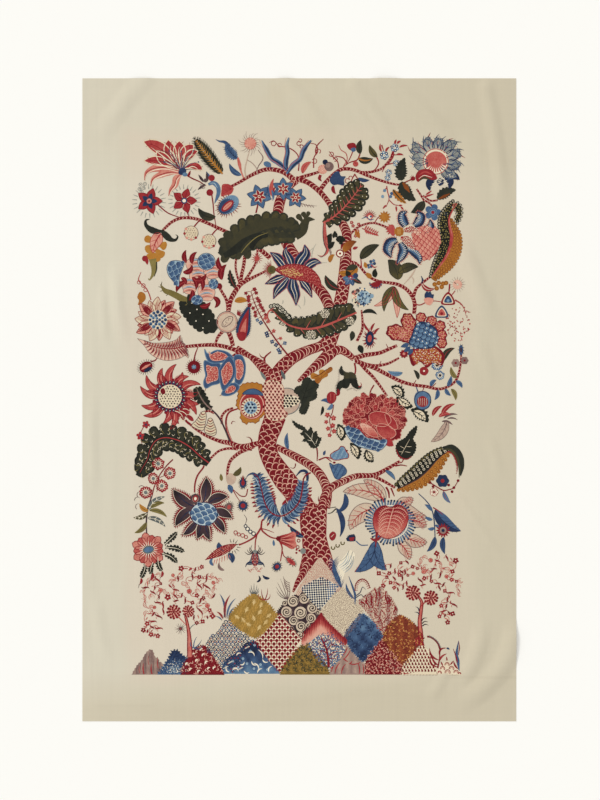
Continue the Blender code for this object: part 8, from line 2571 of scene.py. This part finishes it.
def small_trees():
    left = [
        # kind, x, y, size, angle: s leaf, c curl, b blossom, o bud, w washed blossom
        ("b", 181.2, 568.4, 3.1, 0), ("o", 190.8, 568.6, 1.3, 2.4), ("s", 195.2, 569.4, 4.4, 2.3), ("b", 201.8, 566.8, 2.4, 0),
        ("s", 178, 578.5, 5.4, 1.9), ("s", 192.4, 576.4, 6.6, 1.9), ("b", 199.4, 577, 2.4, 0), ("s", 206.5, 578, 8.4, 2.2),
        ("c", 213, 575.5, 2.6, 0.6), ("c", 219.6, 581, 2.9, 2.0), ("c", 171.6, 581.6, 2.6, 3.0), ("c", 181, 577, 2.3, 4.2),
        ("s", 175.8, 589.8, 6.4, 0.7), ("c", 187.8, 585, 2.6, 1.0), ("w", 189.3, 591.2, 2.5, 0), ("s", 199.4, 585.8, 7.6, 1.25),
        ("s", 206.8, 586.8, 8.6, 1.05), ("w", 213.4, 582.6, 1.9, 0), ("c", 214.4, 590.6, 2.7, 1.5), ("c", 206.8, 594.2, 2.3, 3.6),
        ("c", 149.6, 580.6, 2.8, 1.4), ("s", 145.4, 587.6, 6.6, 0.35), ("c", 142.4, 592.2, 2.3, 2.8), ("s", 157.6, 579.8, 7.6, 1.2),
        ("s", 153.2, 574.8, 6.0, 1.7), ("b", 160.8, 583.6, 1.7, 0), ("s", 154.8, 587.6, 3.6, 2.1), ("w", 160.6, 590.2, 2.3, 0),
        ("c", 166, 591.5, 2.7, 0.2), ("s", 153, 592.4, 5.8, 1.0), ("s", 159, 596.8, 4.6, 2.0), ("c", 151.6, 597, 2.8, 2.2),
        ("c", 143.8, 597, 2.4, 4.4), ("b", 167.8, 597.2, 3.4, 0), ("s", 175.2, 596, 7.2, 1.3), ("s", 181.8, 595.2, 4.6, 2.3),
        ("s", 185.2, 600.4, 5.8, 2.1), ("b", 197, 595.4, 2.5, 0), ("b", 203.4, 598, 2.3, 0), ("s", 176, 600.8, 4.8, 0.2),
        ("s", 158, 602.6, 6.6, 0.55), ("c", 146, 604.4, 2.8, 1.0), ("c", 151.4, 607.4, 2.4, 2.8), ("w", 154.6, 607.2, 1.6, 0),
        ("s", 163, 604.8, 6.6, 1.9), ("b", 192.4, 602.6, 2.3, 0), ("s", 200.4, 601, 5.6, 2.4), ("s", 199.8, 610.4, 9.2, 1.3),
        ("w", 207.4, 605.6, 2.4, 0), ("c", 204, 610.6, 2.5, 4.0), ("b", 209.6, 610.2, 2.5, 0), ("b", 212.6, 616, 3.0, 0),
        ("c", 210.8, 596.2, 2.4, 5.0), ("s", 213.8, 595.8, 4.8, 2.6), ("s", 163.4, 611.4, 5.8, 1.8), ("s", 153.2, 614, 4.8, 2.6),
        ("s", 158.6, 616.2, 8.4, 0.95), ("c", 146.2, 613.4, 2.6, 1.8), ("b", 147.2, 623.6, 2.7, 0), ("s", 153, 621.4, 6.6, 0.4),
        ("b", 143.4, 630, 2.7, 0), ("s", 152.2, 627.2, 4.8, 1.0), ("s", 158.8, 628.2, 7.2, 0.45), ("b", 151, 634.4, 2.7, 0),
        ("b", 157.8, 635.8, 2.6, 0), ("s", 147.6, 631, 3.4, 2.2), ("b", 196.8, 622.8, 2.2, 0), ("b", 202.8, 621.4, 2.4, 0),
        ("s", 193.8, 617.2, 4.2, 2.2), ("s", 207.4, 617.2, 3.0, 1.8), ("c", 158.4, 574.6, 2.0, 3.2), ("w", 173, 575.2, 1.7, 0),
        ("c", 197.2, 590.8, 2.2, 2.2), ("c", 183.6, 583.2, 2.2, 0.8), ("s", 170.2, 586.2, 3.8, 1.2), ("c", 172.8, 592.2, 2.0, 5.2),
    ]
    flower_tree(([(190, 657), (189.6, 645), (189, 634), (187.6, 625), (185.6, 616)], [4.6, 4.2, 3.0, 2.2, 1.8]), [(173.8, 611.8, 7.7), (188.4, 611.2, 6.4)], left, 4)
    spiky_bud((180.6, 628.6), 1.6, 1.6, 0.3, 4.0, body=("umber", 0.35), heart=("madder", 0.4), hairs=13, hair=4.4, hair_dye=("umber", 0.4), width=0.3)
    twig([(178.5, 617), (183, 621.5), (187, 626)], 1.0, 3.2, 0.62)
    twig([(189.2, 630), (192, 626), (197, 623)], 0.8, 3.2, 0.35, "grey")
    right = [
        ("b", 378.8, 573.2, 2.6, 0), ("b", 389.2, 573.2, 2.4, 0), ("s", 394.8, 571.2, 5.4, 2.0), ("b", 386.8, 577.2, 2.0, 0),
        ("s", 401.6, 571.8, 4.4, 1.2), ("b", 412.6, 566.6, 2.2, 0), ("b", 417.2, 568.4, 1.8, 0), ("b", 399.6, 574.8, 2.4, 0),
        ("b", 407.8, 575.2, 1.7, 0), ("s", 405, 571.6, 5.0, 1.9), ("c", 425.4, 566.8, 2.6, 1.1), ("c", 428.6, 573.2, 2.9, 2.9),
        ("s", 433.8, 568.8, 5.4, 0.4), ("s", 437.4, 560.8, 5.6, 0.9), ("b", 436.6, 553.4, 2.9, 0), ("c", 441.6, 566.4, 2.4, 0.3),
        ("c", 447.2, 569.8, 2.8, 4.2), ("b", 455.6, 560.6, 3.2, 0), ("s", 446.8, 557.6, 5.8, 1.6), ("b", 452.4, 571.4, 2.5, 0),
        ("s", 440.2, 574.8, 6.6, 2.3), ("s", 430.8, 577.4, 5.4, 2.2), ("b", 424.2, 578.2, 2.5, 0), ("s", 420.2, 580.4, 6.6, 1.2),
        ("s", 422.8, 585, 5.4, 0.2), ("b", 431.4, 581.2, 2.0, 0), ("s", 437.4, 583.4, 6.6, 0.5), ("s", 443.2, 584.6, 5.2, 2.6),
        ("s", 439.2, 587.6, 5.4, 1.6), ("b", 451.6, 579.6, 2.4, 0), ("b", 456.4, 581.2, 1.8, 0), ("c", 460.6, 580.6, 2.4, 0.4),
        ("c", 458.2, 586.4, 2.3, 2.4), ("b", 383.2, 585.6, 2.6, 0), ("b", 390.4, 582.6, 2.2, 0), ("s", 397.6, 583.8, 5.0, 1.2),
        ("s", 403, 586.6, 5.4, 2.1), ("b", 394, 587.6, 2.1, 0), ("s", 406.6, 583.2, 4.6, 2.0), ("s", 397.8, 589.4, 3.8, 1.9),
        ("s", 402.2, 577.6, 5.8, 2.0), ("s", 394.2, 578.2, 4.6, 1.3), ("b", 444.8, 590.8, 2.2, 0), ("s", 450.4, 592.8, 7.6, 0.45),
        ("c", 459.6, 594.2, 2.1, 1.2), ("s", 447.2, 599.8, 6.2, 2.2), ("s", 453.8, 604.6, 7.8, 1.0), ("b", 441.2, 605.6, 2.4, 0),
        ("s", 446.2, 606.2, 4.6, 2.3), ("s", 443.8, 611, 6.2, 0.1), ("b", 439.4, 616.2, 2.3, 0), ("s", 444.8, 615.4, 3.2, 2.4),
        ("b", 452.6, 613.6, 2.7, 0), ("b", 447.6, 622.2, 2.7, 0), ("s", 448.8, 612.6, 3.4, 1.4), ("b", 378.2, 561.4, 2.8, 0),
        ("b", 384.4, 566.2, 1.8, 0), ("s", 390.6, 565.8, 4.4, 2.2), ("b", 400.8, 562.8, 2.0, 0), ("s", 407, 562, 4.6, 1.3),
        ("c", 419.6, 561.2, 2.5, 4.4), ("c", 424.8, 557.6, 2.4, 2.2), ("w", 430.6, 560.2, 2.2, 0), ("w", 413.2, 573.4, 1.8, 0),
        ("c", 451.2, 563.8, 2.1, 2.0), ("s", 410.4, 590.2, 3.2, 1.8), ("w", 423.6, 571.6, 2.3, 0), ("w", 446.4, 576.4, 2.0, 0),
    ]
    flower_tree(([(421, 645), (420.6, 632), (419.6, 622), (421, 610), (421.6, 602), (418, 596)], [4.4, 3.8, 3.2, 3.0, 2.4, 1.4]), [(412.9, 592.8, 8.0), (430.8, 597.8, 7.8)], right, 6)
    twig([(421.4, 606), (424.5, 602.5), (427, 600)], 1.3, 3.4, 0.45)
    fill("madder", [(414, 640), (418.5, 636.5), (419.5, 632), (422, 633), (423, 640), (424.5, 645.5), (416, 645.5)], 3.3, 0.34)
    for x, y, a in ((421.6, 621, -0.5), (422, 623.6, -0.25), (422.3, 626, -0.1)):
        stroke("umber", bow((x, y), polar((x, y), a, 6.2), 0.24, 7), (1.1, 0.9, 0.2), 3.8, 0.14, curve=False)
    for x, y, a in ((419.4, 614.6, math.pi + 0.45), (419, 611, math.pi + 0.9)):
        stroke("indigo", bow((x, y), polar((x, y), a, 5.6), -0.2, 7), (1.2, 0.9, 0.2), 3.8, 0.08, curve=False)


ground()
small_trees()


# ---- meshes ------------------------------------------------------------------------------------------
def new_mesh(name, verts, tris_or_quads, smooth_shade=True):
    me = bpy.data.meshes.new(name)
    faces = np.asarray(tris_or_quads)
    k = faces.shape[1]
    me.vertices.add(len(verts))
    me.vertices.foreach_set("co", np.asarray(verts, np.float32).ravel())
    me.loops.add(faces.size)
    me.loops.foreach_set("vertex_index", faces.astype(np.int32).ravel())
    me.polygons.add(len(faces))
    me.polygons.foreach_set("loop_start", np.arange(0, faces.size, k, dtype=np.int32))
    me.polygons.foreach_set("loop_total", np.full(len(faces), k, np.int32))
    if smooth_shade:
        me.polygons.foreach_set("use_smooth", np.ones(len(faces), bool))
    me.update(calc_edges=True)
    return me


def plan_uv(me):
    """A flat map from above, in the cloth's own directions."""
    co = np.zeros(len(me.vertices) * 3, np.float32)
    me.vertices.foreach_get("co", co)
    co = co.reshape(-1, 3)
    vi = np.zeros(len(me.loops), np.int32)
    me.loops.foreach_get("vertex_index", vi)
    lo, hi = co.min(0), co.max(0)
    span = max(float((hi - lo)[:2].max()), 1e-6)
    uv = (co[vi, :2] - lo[:2]) / span
    uv = 0.002 + 0.996 * uv
    layer = me.uv_layers.new(name="OFBake")
    layer.data.foreach_set("uv", uv.astype(np.float32).ravel())


def make_cloth():
    nx, ny = GRID_X + 1, GRID_Y + 1
    top = np.stack([gx.ravel(), gy.ravel(), TOP.ravel()], 1)
    low = np.stack([gx.ravel(), gy.ravel(), UNDER.ravel()], 1)
    i = np.arange(nx * ny).reshape(ny, nx)
    a, b, c, d = i[:-1, :-1].ravel(), i[:-1, 1:].ravel(), i[1:, 1:].ravel(), i[1:, :-1].ravel()
    tris = [np.stack([a, b, c], 1), np.stack([a, c, d], 1)]
    m = nx * ny
    tris += [np.stack([a + m, c + m, b + m], 1), np.stack([a + m, d + m, c + m], 1)]
    loop = np.concatenate([i[0, :-1], i[:-1, -1], i[-1, :0:-1], i[:0:-1, 0]])
    nxt = np.roll(loop, -1)
    tris += [np.stack([loop + m, nxt + m, nxt], 1), np.stack([loop + m, nxt, loop], 1)]
    me = new_mesh("panel_cloth", np.vstack([top, low]), np.vstack(tris))
    me.set_sharp_from_angle(angle=math.radians(50))
    return me


# ---- materials ---------------------------------------------------------------------------------------
def srgb(r, g, b):
    out = []
    for c in (r, g, b):
        c /= 255
        out.append(c / 12.92 if c <= 0.04045 else ((c + 0.055) / 1.055) ** 2.4)
    return (*out, 1.0)


def node(nt, kind, **values):
    n = nt.nodes.new(kind)
    for k, v in values.items():
        if k in n.inputs:
            n.inputs[k].default_value = v
        else:
            setattr(n, k, v)
    return n


def math_node(nt, op, a, b=None, clamp=False):
    n = nt.nodes.new("ShaderNodeMath")
    n.operation, n.use_clamp = op, clamp
    for s, v in zip(n.inputs, (a, b)):
        if v is None:
            continue
        if isinstance(v, (int, float)):
            s.default_value = v
        else:
            nt.links.new(v, s)
    return n.outputs[0]


def weave(nt, place, strength):
    """The plain weave as a fine bump, with thicker slubs here and there along the warp."""
    warp = node(nt, "ShaderNodeTexWave", wave_type="BANDS", bands_direction="X", wave_profile="SIN")
    warp.inputs["Scale"].default_value = 430.0
    warp.inputs["Distortion"].default_value = 1.2
    warp.inputs["Detail Scale"].default_value = 0.6
    weft = node(nt, "ShaderNodeTexWave", wave_type="BANDS", bands_direction="Y", wave_profile="SIN")
    weft.inputs["Scale"].default_value = 410.0
    weft.inputs["Distortion"].default_value = 1.2
    weft.inputs["Detail Scale"].default_value = 0.6
    for w in (warp, weft):
        nt.links.new(place, w.inputs["Vector"])
    both = math_node(nt, "ADD", warp.outputs["Fac"], weft.outputs["Fac"])
    bump = node(nt, "ShaderNodeBump")
    bump.inputs["Strength"].default_value = strength
    bump.inputs["Distance"].default_value = 0.00012
    nt.links.new(both, bump.inputs["Height"])
    return bump


def stretched(nt, place, scale, sx, sy, detail=2.0, rough=0.5):
    m = node(nt, "ShaderNodeMapping")
    m.inputs["Scale"].default_value = (sx, sy, 1.0)
    nt.links.new(place, m.inputs["Vector"])
    n = node(nt, "ShaderNodeTexNoise")
    n.inputs["Scale"].default_value = scale
    n.inputs["Detail"].default_value = detail
    n.inputs["Roughness"].default_value = rough
    nt.links.new(m.outputs["Vector"], n.inputs["Vector"])
    return n.outputs["Fac"]


def mix(nt, fac, a, b, mode="MIX"):
    n = node(nt, "ShaderNodeMix", data_type="RGBA", blend_type=mode)
    for s, v in ((n.inputs[0], fac), (n.inputs[6], a), (n.inputs[7], b)):
        if isinstance(v, (int, float, tuple)):
            s.default_value = v
        else:
            nt.links.new(v, s)
    return n.outputs[2]


def ramp(nt, fac, stops):
    n = node(nt, "ShaderNodeValToRGB")
    el = n.color_ramp.elements
    while len(el) > 1:
        el.remove(el[-1])
    el[0].position, el[0].color = stops[0][0], stops[0][1]
    for pos, col in stops[1:]:
        e = el.new(pos)
        e.color = col
    nt.links.new(fac, n.inputs["Fac"])
    return n.outputs["Color"]


LIGHT = 1.0  # how strongly white cloth at the middle of the panel comes out in the final light


def dyed(r, g, b):
    """The cloth colour that comes out as this one in the scene's light."""
    c = srgb(r, g, b)
    return tuple(min(1.0, v / LIGHT) for v in c[:3]) + (1.0,)


# Cloth colours from pale to dark. The cloth material runs along them from left to right, so they carry painted shade of
# the light falling off as well as the cloth's own tone
MARGIN = [(0.0, dyed(217, 211, 191)), (0.3, dyed(213, 205, 184)), (0.65, dyed(209, 200, 177)), (1.0, dyed(203, 193, 169))]
FIELD = [(0.0, dyed(217, 209, 190)), (0.3, dyed(216, 204, 183)), (0.6, dyed(213, 200, 178)), (1.0, dyed(206, 196, 172))]


def band(nt, value, low, high, soft):
    """1 between low and high, falling to 0 over the soft distance outside them."""
    up = math_node(nt, "MULTIPLY", math_node(nt, "SUBTRACT", value, low - soft), 1 / soft, True)
    dn = math_node(nt, "MULTIPLY", math_node(nt, "SUBTRACT", high + soft, value), 1 / soft, True)
    return math_node(nt, "MULTIPLY", up, dn)


def cloth_material():
    m = bpy.data.materials.new("undyed_cotton")
    m.use_nodes = True
    nt = m.node_tree
    bsdf = nt.nodes["Principled BSDF"]
    co = node(nt, "ShaderNodeTexCoord").outputs["Object"]
    split = node(nt, "ShaderNodeSeparateXYZ")
    nt.links.new(co, split.inputs[0])
    x, y = split.outputs["X"], split.outputs["Y"]
    across = math_node(nt, "MULTIPLY_ADD", x, 1 / WIDTH)
    across.node.inputs[2].default_value = 0.5
    down = math_node(nt, "MULTIPLY_ADD", y, -1 / LENGTH)
    down.node.inputs[2].default_value = 0.5
    mottle = stretched(nt, co, 3.4, 1.0, 1.0, 3.0, 0.55)
    blot = stretched(nt, co, 11.0, 1.0, 1.0, 3.0, 0.6)
    drift = math_node(nt, "ADD", math_node(nt, "MULTIPLY", math_node(nt, "SUBTRACT", mottle, 0.5), 0.20),
                      math_node(nt, "MULTIPLY", math_node(nt, "SUBTRACT", blot, 0.5), 0.10))
    # the margins: pale at the left selvedge, warmer and duller towards the right and the bottom, which is painted shade
    # of light falling off away from the left; the foot and head margins are darker again
    lean = math_node(nt, "ADD", math_node(nt, "MULTIPLY", across, 0.84), math_node(nt, "MULTIPLY", down, 0.16))
    foot = band(nt, y, -2.0, -0.80, 0.10)
    lean = math_node(nt, "ADD", lean, math_node(nt, "MULTIPLY", foot, 0.56))
    head = band(nt, y, 0.66, 2.0, 0.12)
    lean = math_node(nt, "ADD", lean, math_node(nt, "MULTIPLY", head, 0.24))
    # painted shade from left to right and towards the bottom, with the cloth's own random mottle
    falloff_and_mottle = math_node(nt, "ADD", lean, drift, True)
    base = ramp(nt, falloff_and_mottle, MARGIN)
    # the field behind the tree was bleached paler than the margins; it follows the same painted shade from left to
    # right
    near = math_node(nt, "MULTIPLY", math_node(nt, "SUBTRACT", mottle, 0.5), 0.10)
    fx = band(nt, math_node(nt, "ADD", x, near), (131 - MID_U) * UNIT, (467 - MID_U) * UNIT, 0.040)
    fy = band(nt, math_node(nt, "ADD", y, near), (MID_V - 674) * UNIT, (MID_V - 136) * UNIT, 0.040)
    field = ramp(nt, falloff_and_mottle, FIELD)
    base = mix(nt, math_node(nt, "MULTIPLY", fx, fy), base, field)
    # warp slubs: long soft streaks up the cloth, with extra painted shade of fine ripples towards the left selvedge
    slub = stretched(nt, co, 30.0, 1.0, 0.05, 3.0, 0.6)
    fine = stretched(nt, co, 150.0, 1.0, 0.03, 2.0, 0.6)
    weft = stretched(nt, co, 120.0, 0.04, 1.0, 2.0, 0.6)
    # the extra streaking near the left edge is painted shade of fine ripples, on top of the slubs
    left_edge_ripple_shade = math_node(nt, "MULTIPLY", math_node(nt, "SUBTRACT", 0.26, across), 4.0, True)
    s1 = math_node(nt, "MULTIPLY", math_node(nt, "SUBTRACT", slub, 0.5), math_node(nt, "ADD", math_node(nt, "MULTIPLY", left_edge_ripple_shade, 0.085), 0.028))
    s2 = math_node(nt, "MULTIPLY", math_node(nt, "SUBTRACT", fine, 0.5), 0.045)
    s3 = math_node(nt, "MULTIPLY", math_node(nt, "SUBTRACT", weft, 0.5), 0.030)
    streak = math_node(nt, "ADD", math_node(nt, "ADD", math_node(nt, "ADD", s1, s2), s3), 1.0)
    grey = node(nt, "ShaderNodeCombineColor")
    for k in range(3):
        nt.links.new(streak, grey.inputs[k])
    base = mix(nt, 1.0, base, grey.outputs[0], "MULTIPLY")
    # faint yellow water stains high on the cloth
    stain = stretched(nt, co, 2.3, 1.0, 1.0, 4.0, 0.6)
    stain = math_node(nt, "MULTIPLY", math_node(nt, "SUBTRACT", stain, 0.52), 5.0, True)
    high = math_node(nt, "MULTIPLY", math_node(nt, "SUBTRACT", 0.15, down), 9.0, True)
    base = mix(nt, math_node(nt, "MULTIPLY", math_node(nt, "MULTIPLY", stain, high), 0.42), base, dyed(203, 186, 150))
    # two pressed lines where the cloth lay folded over a bar, low on either side, drawn as painted shade: a faint dark
    # line along each crease
    for low, high_, left, right, much in ((676.2, 678.0, 446, 516, 0.05), (705.2, 706.8, 100, 150, 0.03)):
        # painted shade of the crease
        line = math_node(nt, "MULTIPLY", band(nt, y, (MID_V - high_) * UNIT, (MID_V - low) * UNIT, 0.003), band(nt, x, (left - MID_U) * UNIT, (right - MID_U) * UNIT, 0.02))
        base = mix(nt, math_node(nt, "MULTIPLY", line, much), base, dyed(120, 106, 84))
    nt.links.new(base, bsdf.inputs["Base Color"])
    bsdf.inputs["Roughness"].default_value = 0.93
    bsdf.inputs["Specular IOR Level"].default_value = 0.18
    bsdf.inputs["Sheen Weight"].default_value = 0.04
    bsdf.inputs["Sheen Roughness"].default_value = 0.5
    soft = stretched(nt, co, 16.0, 1.0, 0.35, 3.0, 0.55)
    b1 = weave(nt, co, 0.30)
    b2 = node(nt, "ShaderNodeBump")
    b2.inputs["Strength"].default_value = 0.30
    b2.inputs["Distance"].default_value = 0.0016
    nt.links.new(soft, b2.inputs["Height"])
    nt.links.new(b1.outputs["Normal"], b2.inputs["Normal"])
    nt.links.new(b2.outputs["Normal"], bsdf.inputs["Normal"])
    return m


DYES = {
    # dye family: the colours from full strength, tone 0, to washed out, tone 1
    "madder": [(0.0, (92, 12, 20)), (0.2, (124, 26, 34)), (0.42, (158, 50, 52)), (0.62, (186, 92, 82)), (0.8, (212, 146, 126)), (1.0, (224, 190, 166))],
    "indigo": [(0.0, (22, 26, 44)), (0.2, (40, 54, 84)), (0.42, (66, 90, 122)), (0.64, (104, 134, 158)), (0.82, (150, 172, 182)), (1.0, (192, 204, 202))],
    "leafgreen": [(0.0, (26, 26, 22)), (0.25, (44, 46, 38)), (0.5, (66, 62, 42)), (0.72, (100, 88, 46)), (1.0, (142, 128, 74))],
    "ochre": [(0.0, (92, 46, 22)), (0.25, (138, 74, 32)), (0.5, (172, 112, 44)), (0.75, (190, 142, 66)), (1.0, (214, 182, 122))],
    "straw": [(0.0, (96, 76, 36)), (0.25, (134, 106, 50)), (0.5, (172, 132, 62)), (0.75, (194, 156, 86)), (1.0, (216, 190, 136))],
    "rust": [(0.0, (84, 30, 28)), (0.3, (120, 52, 36)), (0.6, (150, 78, 44)), (0.85, (186, 126, 62)), (1.0, (206, 152, 86))],
    "umber": [(0.0, (30, 24, 26)), (0.25, (72, 54, 58)), (0.5, (124, 98, 92)), (0.72, (162, 136, 122)), (0.88, (196, 170, 148)), (1.0, (210, 192, 166))],
    "grey": [(0.0, (62, 66, 66)), (0.35, (104, 110, 108)), (0.7, (150, 150, 140)), (1.0, (186, 180, 162))],
    "reserve": [(0.0, (196, 176, 140)), (0.5, (224, 208, 178)), (1.0, (238, 228, 204))],
}


def dye_material(dye):
    m = bpy.data.materials.new("dye_" + dye)
    m.use_nodes = True
    nt = m.node_tree
    bsdf = nt.nodes["Principled BSDF"]
    co = node(nt, "ShaderNodeTexCoord").outputs["Object"]
    strength = node(nt, "ShaderNodeAttribute", attribute_name="tone").outputs["Fac"]
    # dye lies unevenly: pooled in places, thin in others, and broken by the weave
    pool = stretched(nt, co, 55.0, 1.0, 1.0, 3.0, 0.6)
    grain = stretched(nt, co, 420.0, 1.0, 0.55, 2.0, 0.6)
    wob = math_node(nt, "ADD", math_node(nt, "MULTIPLY", math_node(nt, "SUBTRACT", pool, 0.5), 0.26),
                    math_node(nt, "MULTIPLY", math_node(nt, "SUBTRACT", grain, 0.5), 0.16))
    tone = math_node(nt, "ADD", strength, wob, True)
    col = ramp(nt, tone, [(p, dyed(*c)) for p, c in DYES[dye]])
    nt.links.new(col, bsdf.inputs["Base Color"])
    bsdf.inputs["Roughness"].default_value = 0.92
    bsdf.inputs["Specular IOR Level"].default_value = 0.16
    b1 = weave(nt, co, 0.30)
    nt.links.new(b1.outputs["Normal"], bsdf.inputs["Normal"])
    return m


# ---- put it together -----------------------------------------------------------------------------------
def place(me, name):
    ob = bpy.data.objects.new(name, me)
    bpy.context.scene.collection.objects.link(ob)
    return ob


cloth = place(make_cloth(), "panel_cloth")
plan_uv(cloth.data)
cloth.data.materials.append(cloth_material())
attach(cloth, "root")
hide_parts("panel")

dyes = {d: dye_material(d) for d in DYES}
total = 0
for (dye, zone), f in sorted(FILMS.items()):
    xy = np.vstack(f.xy)
    wx = (xy[:, 0] - MID_U) * UNIT
    wy = (MID_V - xy[:, 1]) * UNIT
    wz = top_at(wx, wy) + BASE_GAP + LAYER_GAP * np.concatenate(f.layer)
    tri = np.vstack(f.tri)
    a, b, c = xy[tri[:, 0]], xy[tri[:, 1]], xy[tri[:, 2]]
    turned = (b[:, 0] - a[:, 0]) * (c[:, 1] - a[:, 1]) - (b[:, 1] - a[:, 1]) * (c[:, 0] - a[:, 0])
    keep = np.abs(turned) > 1e-6
    tri, turned = tri[keep], turned[keep]
    tri[turned > 0] = tri[turned > 0][:, ::-1]  # the draft runs downwards, so its turn is mirrored
    me = new_mesh(f"dye_{dye}_{zone}", np.stack([wx, wy, wz], 1), tri, True)
    tone = me.attributes.new("tone", "FLOAT", "POINT")
    tone.data.foreach_set("value", np.clip(np.concatenate(f.tone), 0, 1).astype(np.float32))
    plan_uv(me)
    ob = place(me, f"dye_{dye}_{zone}")
    me.materials.append(dyes[dye])
    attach(ob, "root")
    total += len(tri)
    print("film", dye, zone, len(tri))
print("film triangles", total)

# ---- floor, light and camera ------------------------------------------------------------------------
floor_mesh = new_mesh("floor", [(-6, -6, 0), (6, -6, 0), (6, 6, 0), (-6, 6, 0)], np.array([[0, 1, 2, 3]]), False)
floor = place(floor_mesh, "floor")
pale = bpy.data.materials.new("pale_floor")
pale.use_nodes = True
pale.node_tree.nodes["Principled BSDF"].inputs["Base Color"].default_value = (0.975, 0.967, 0.925, 1.0)
pale.node_tree.nodes["Principled BSDF"].inputs["Roughness"].default_value = 0.95
pale.node_tree.nodes["Principled BSDF"].inputs["Specular IOR Level"].default_value = 0.1
floor_mesh.materials.append(pale)

world = bpy.data.worlds.new("studio")
bpy.context.scene.world = world
world.use_nodes = True
world.node_tree.nodes["Background"].inputs["Color"].default_value = (1.0, 0.997, 0.990, 1.0)
world.node_tree.nodes["Background"].inputs["Strength"].default_value = 0.812

key_data = bpy.data.lights.new("key", "SUN")
key_data.angle, key_data.energy, key_data.color = math.radians(16), 1.12, (1.0, 0.99, 0.97)
key = bpy.data.objects.new("key", key_data)
key.location = (-3.0, 2.0, 2.4)
key.rotation_euler = Vector((3.0, -2.0, -2.4)).to_track_quat("-Z", "Y").to_euler()
bpy.context.scene.collection.objects.link(key)

camera_data = bpy.data.cameras.new("camera")
camera_data.lens = 85.0
camera_data.sensor_width = 36.0
camera_data.clip_end = 60.0
camera = bpy.data.objects.new("camera", camera_data)
camera.location = (0.0018, -0.0005, 4.878)
camera.rotation_euler = (0.0, 0.0, 0.0)
bpy.context.scene.collection.objects.link(camera)
bpy.context.scene.camera = camera
bpy.context.scene.view_settings.view_transform = "Standard"
bpy.context.scene.view_settings.look = "None"
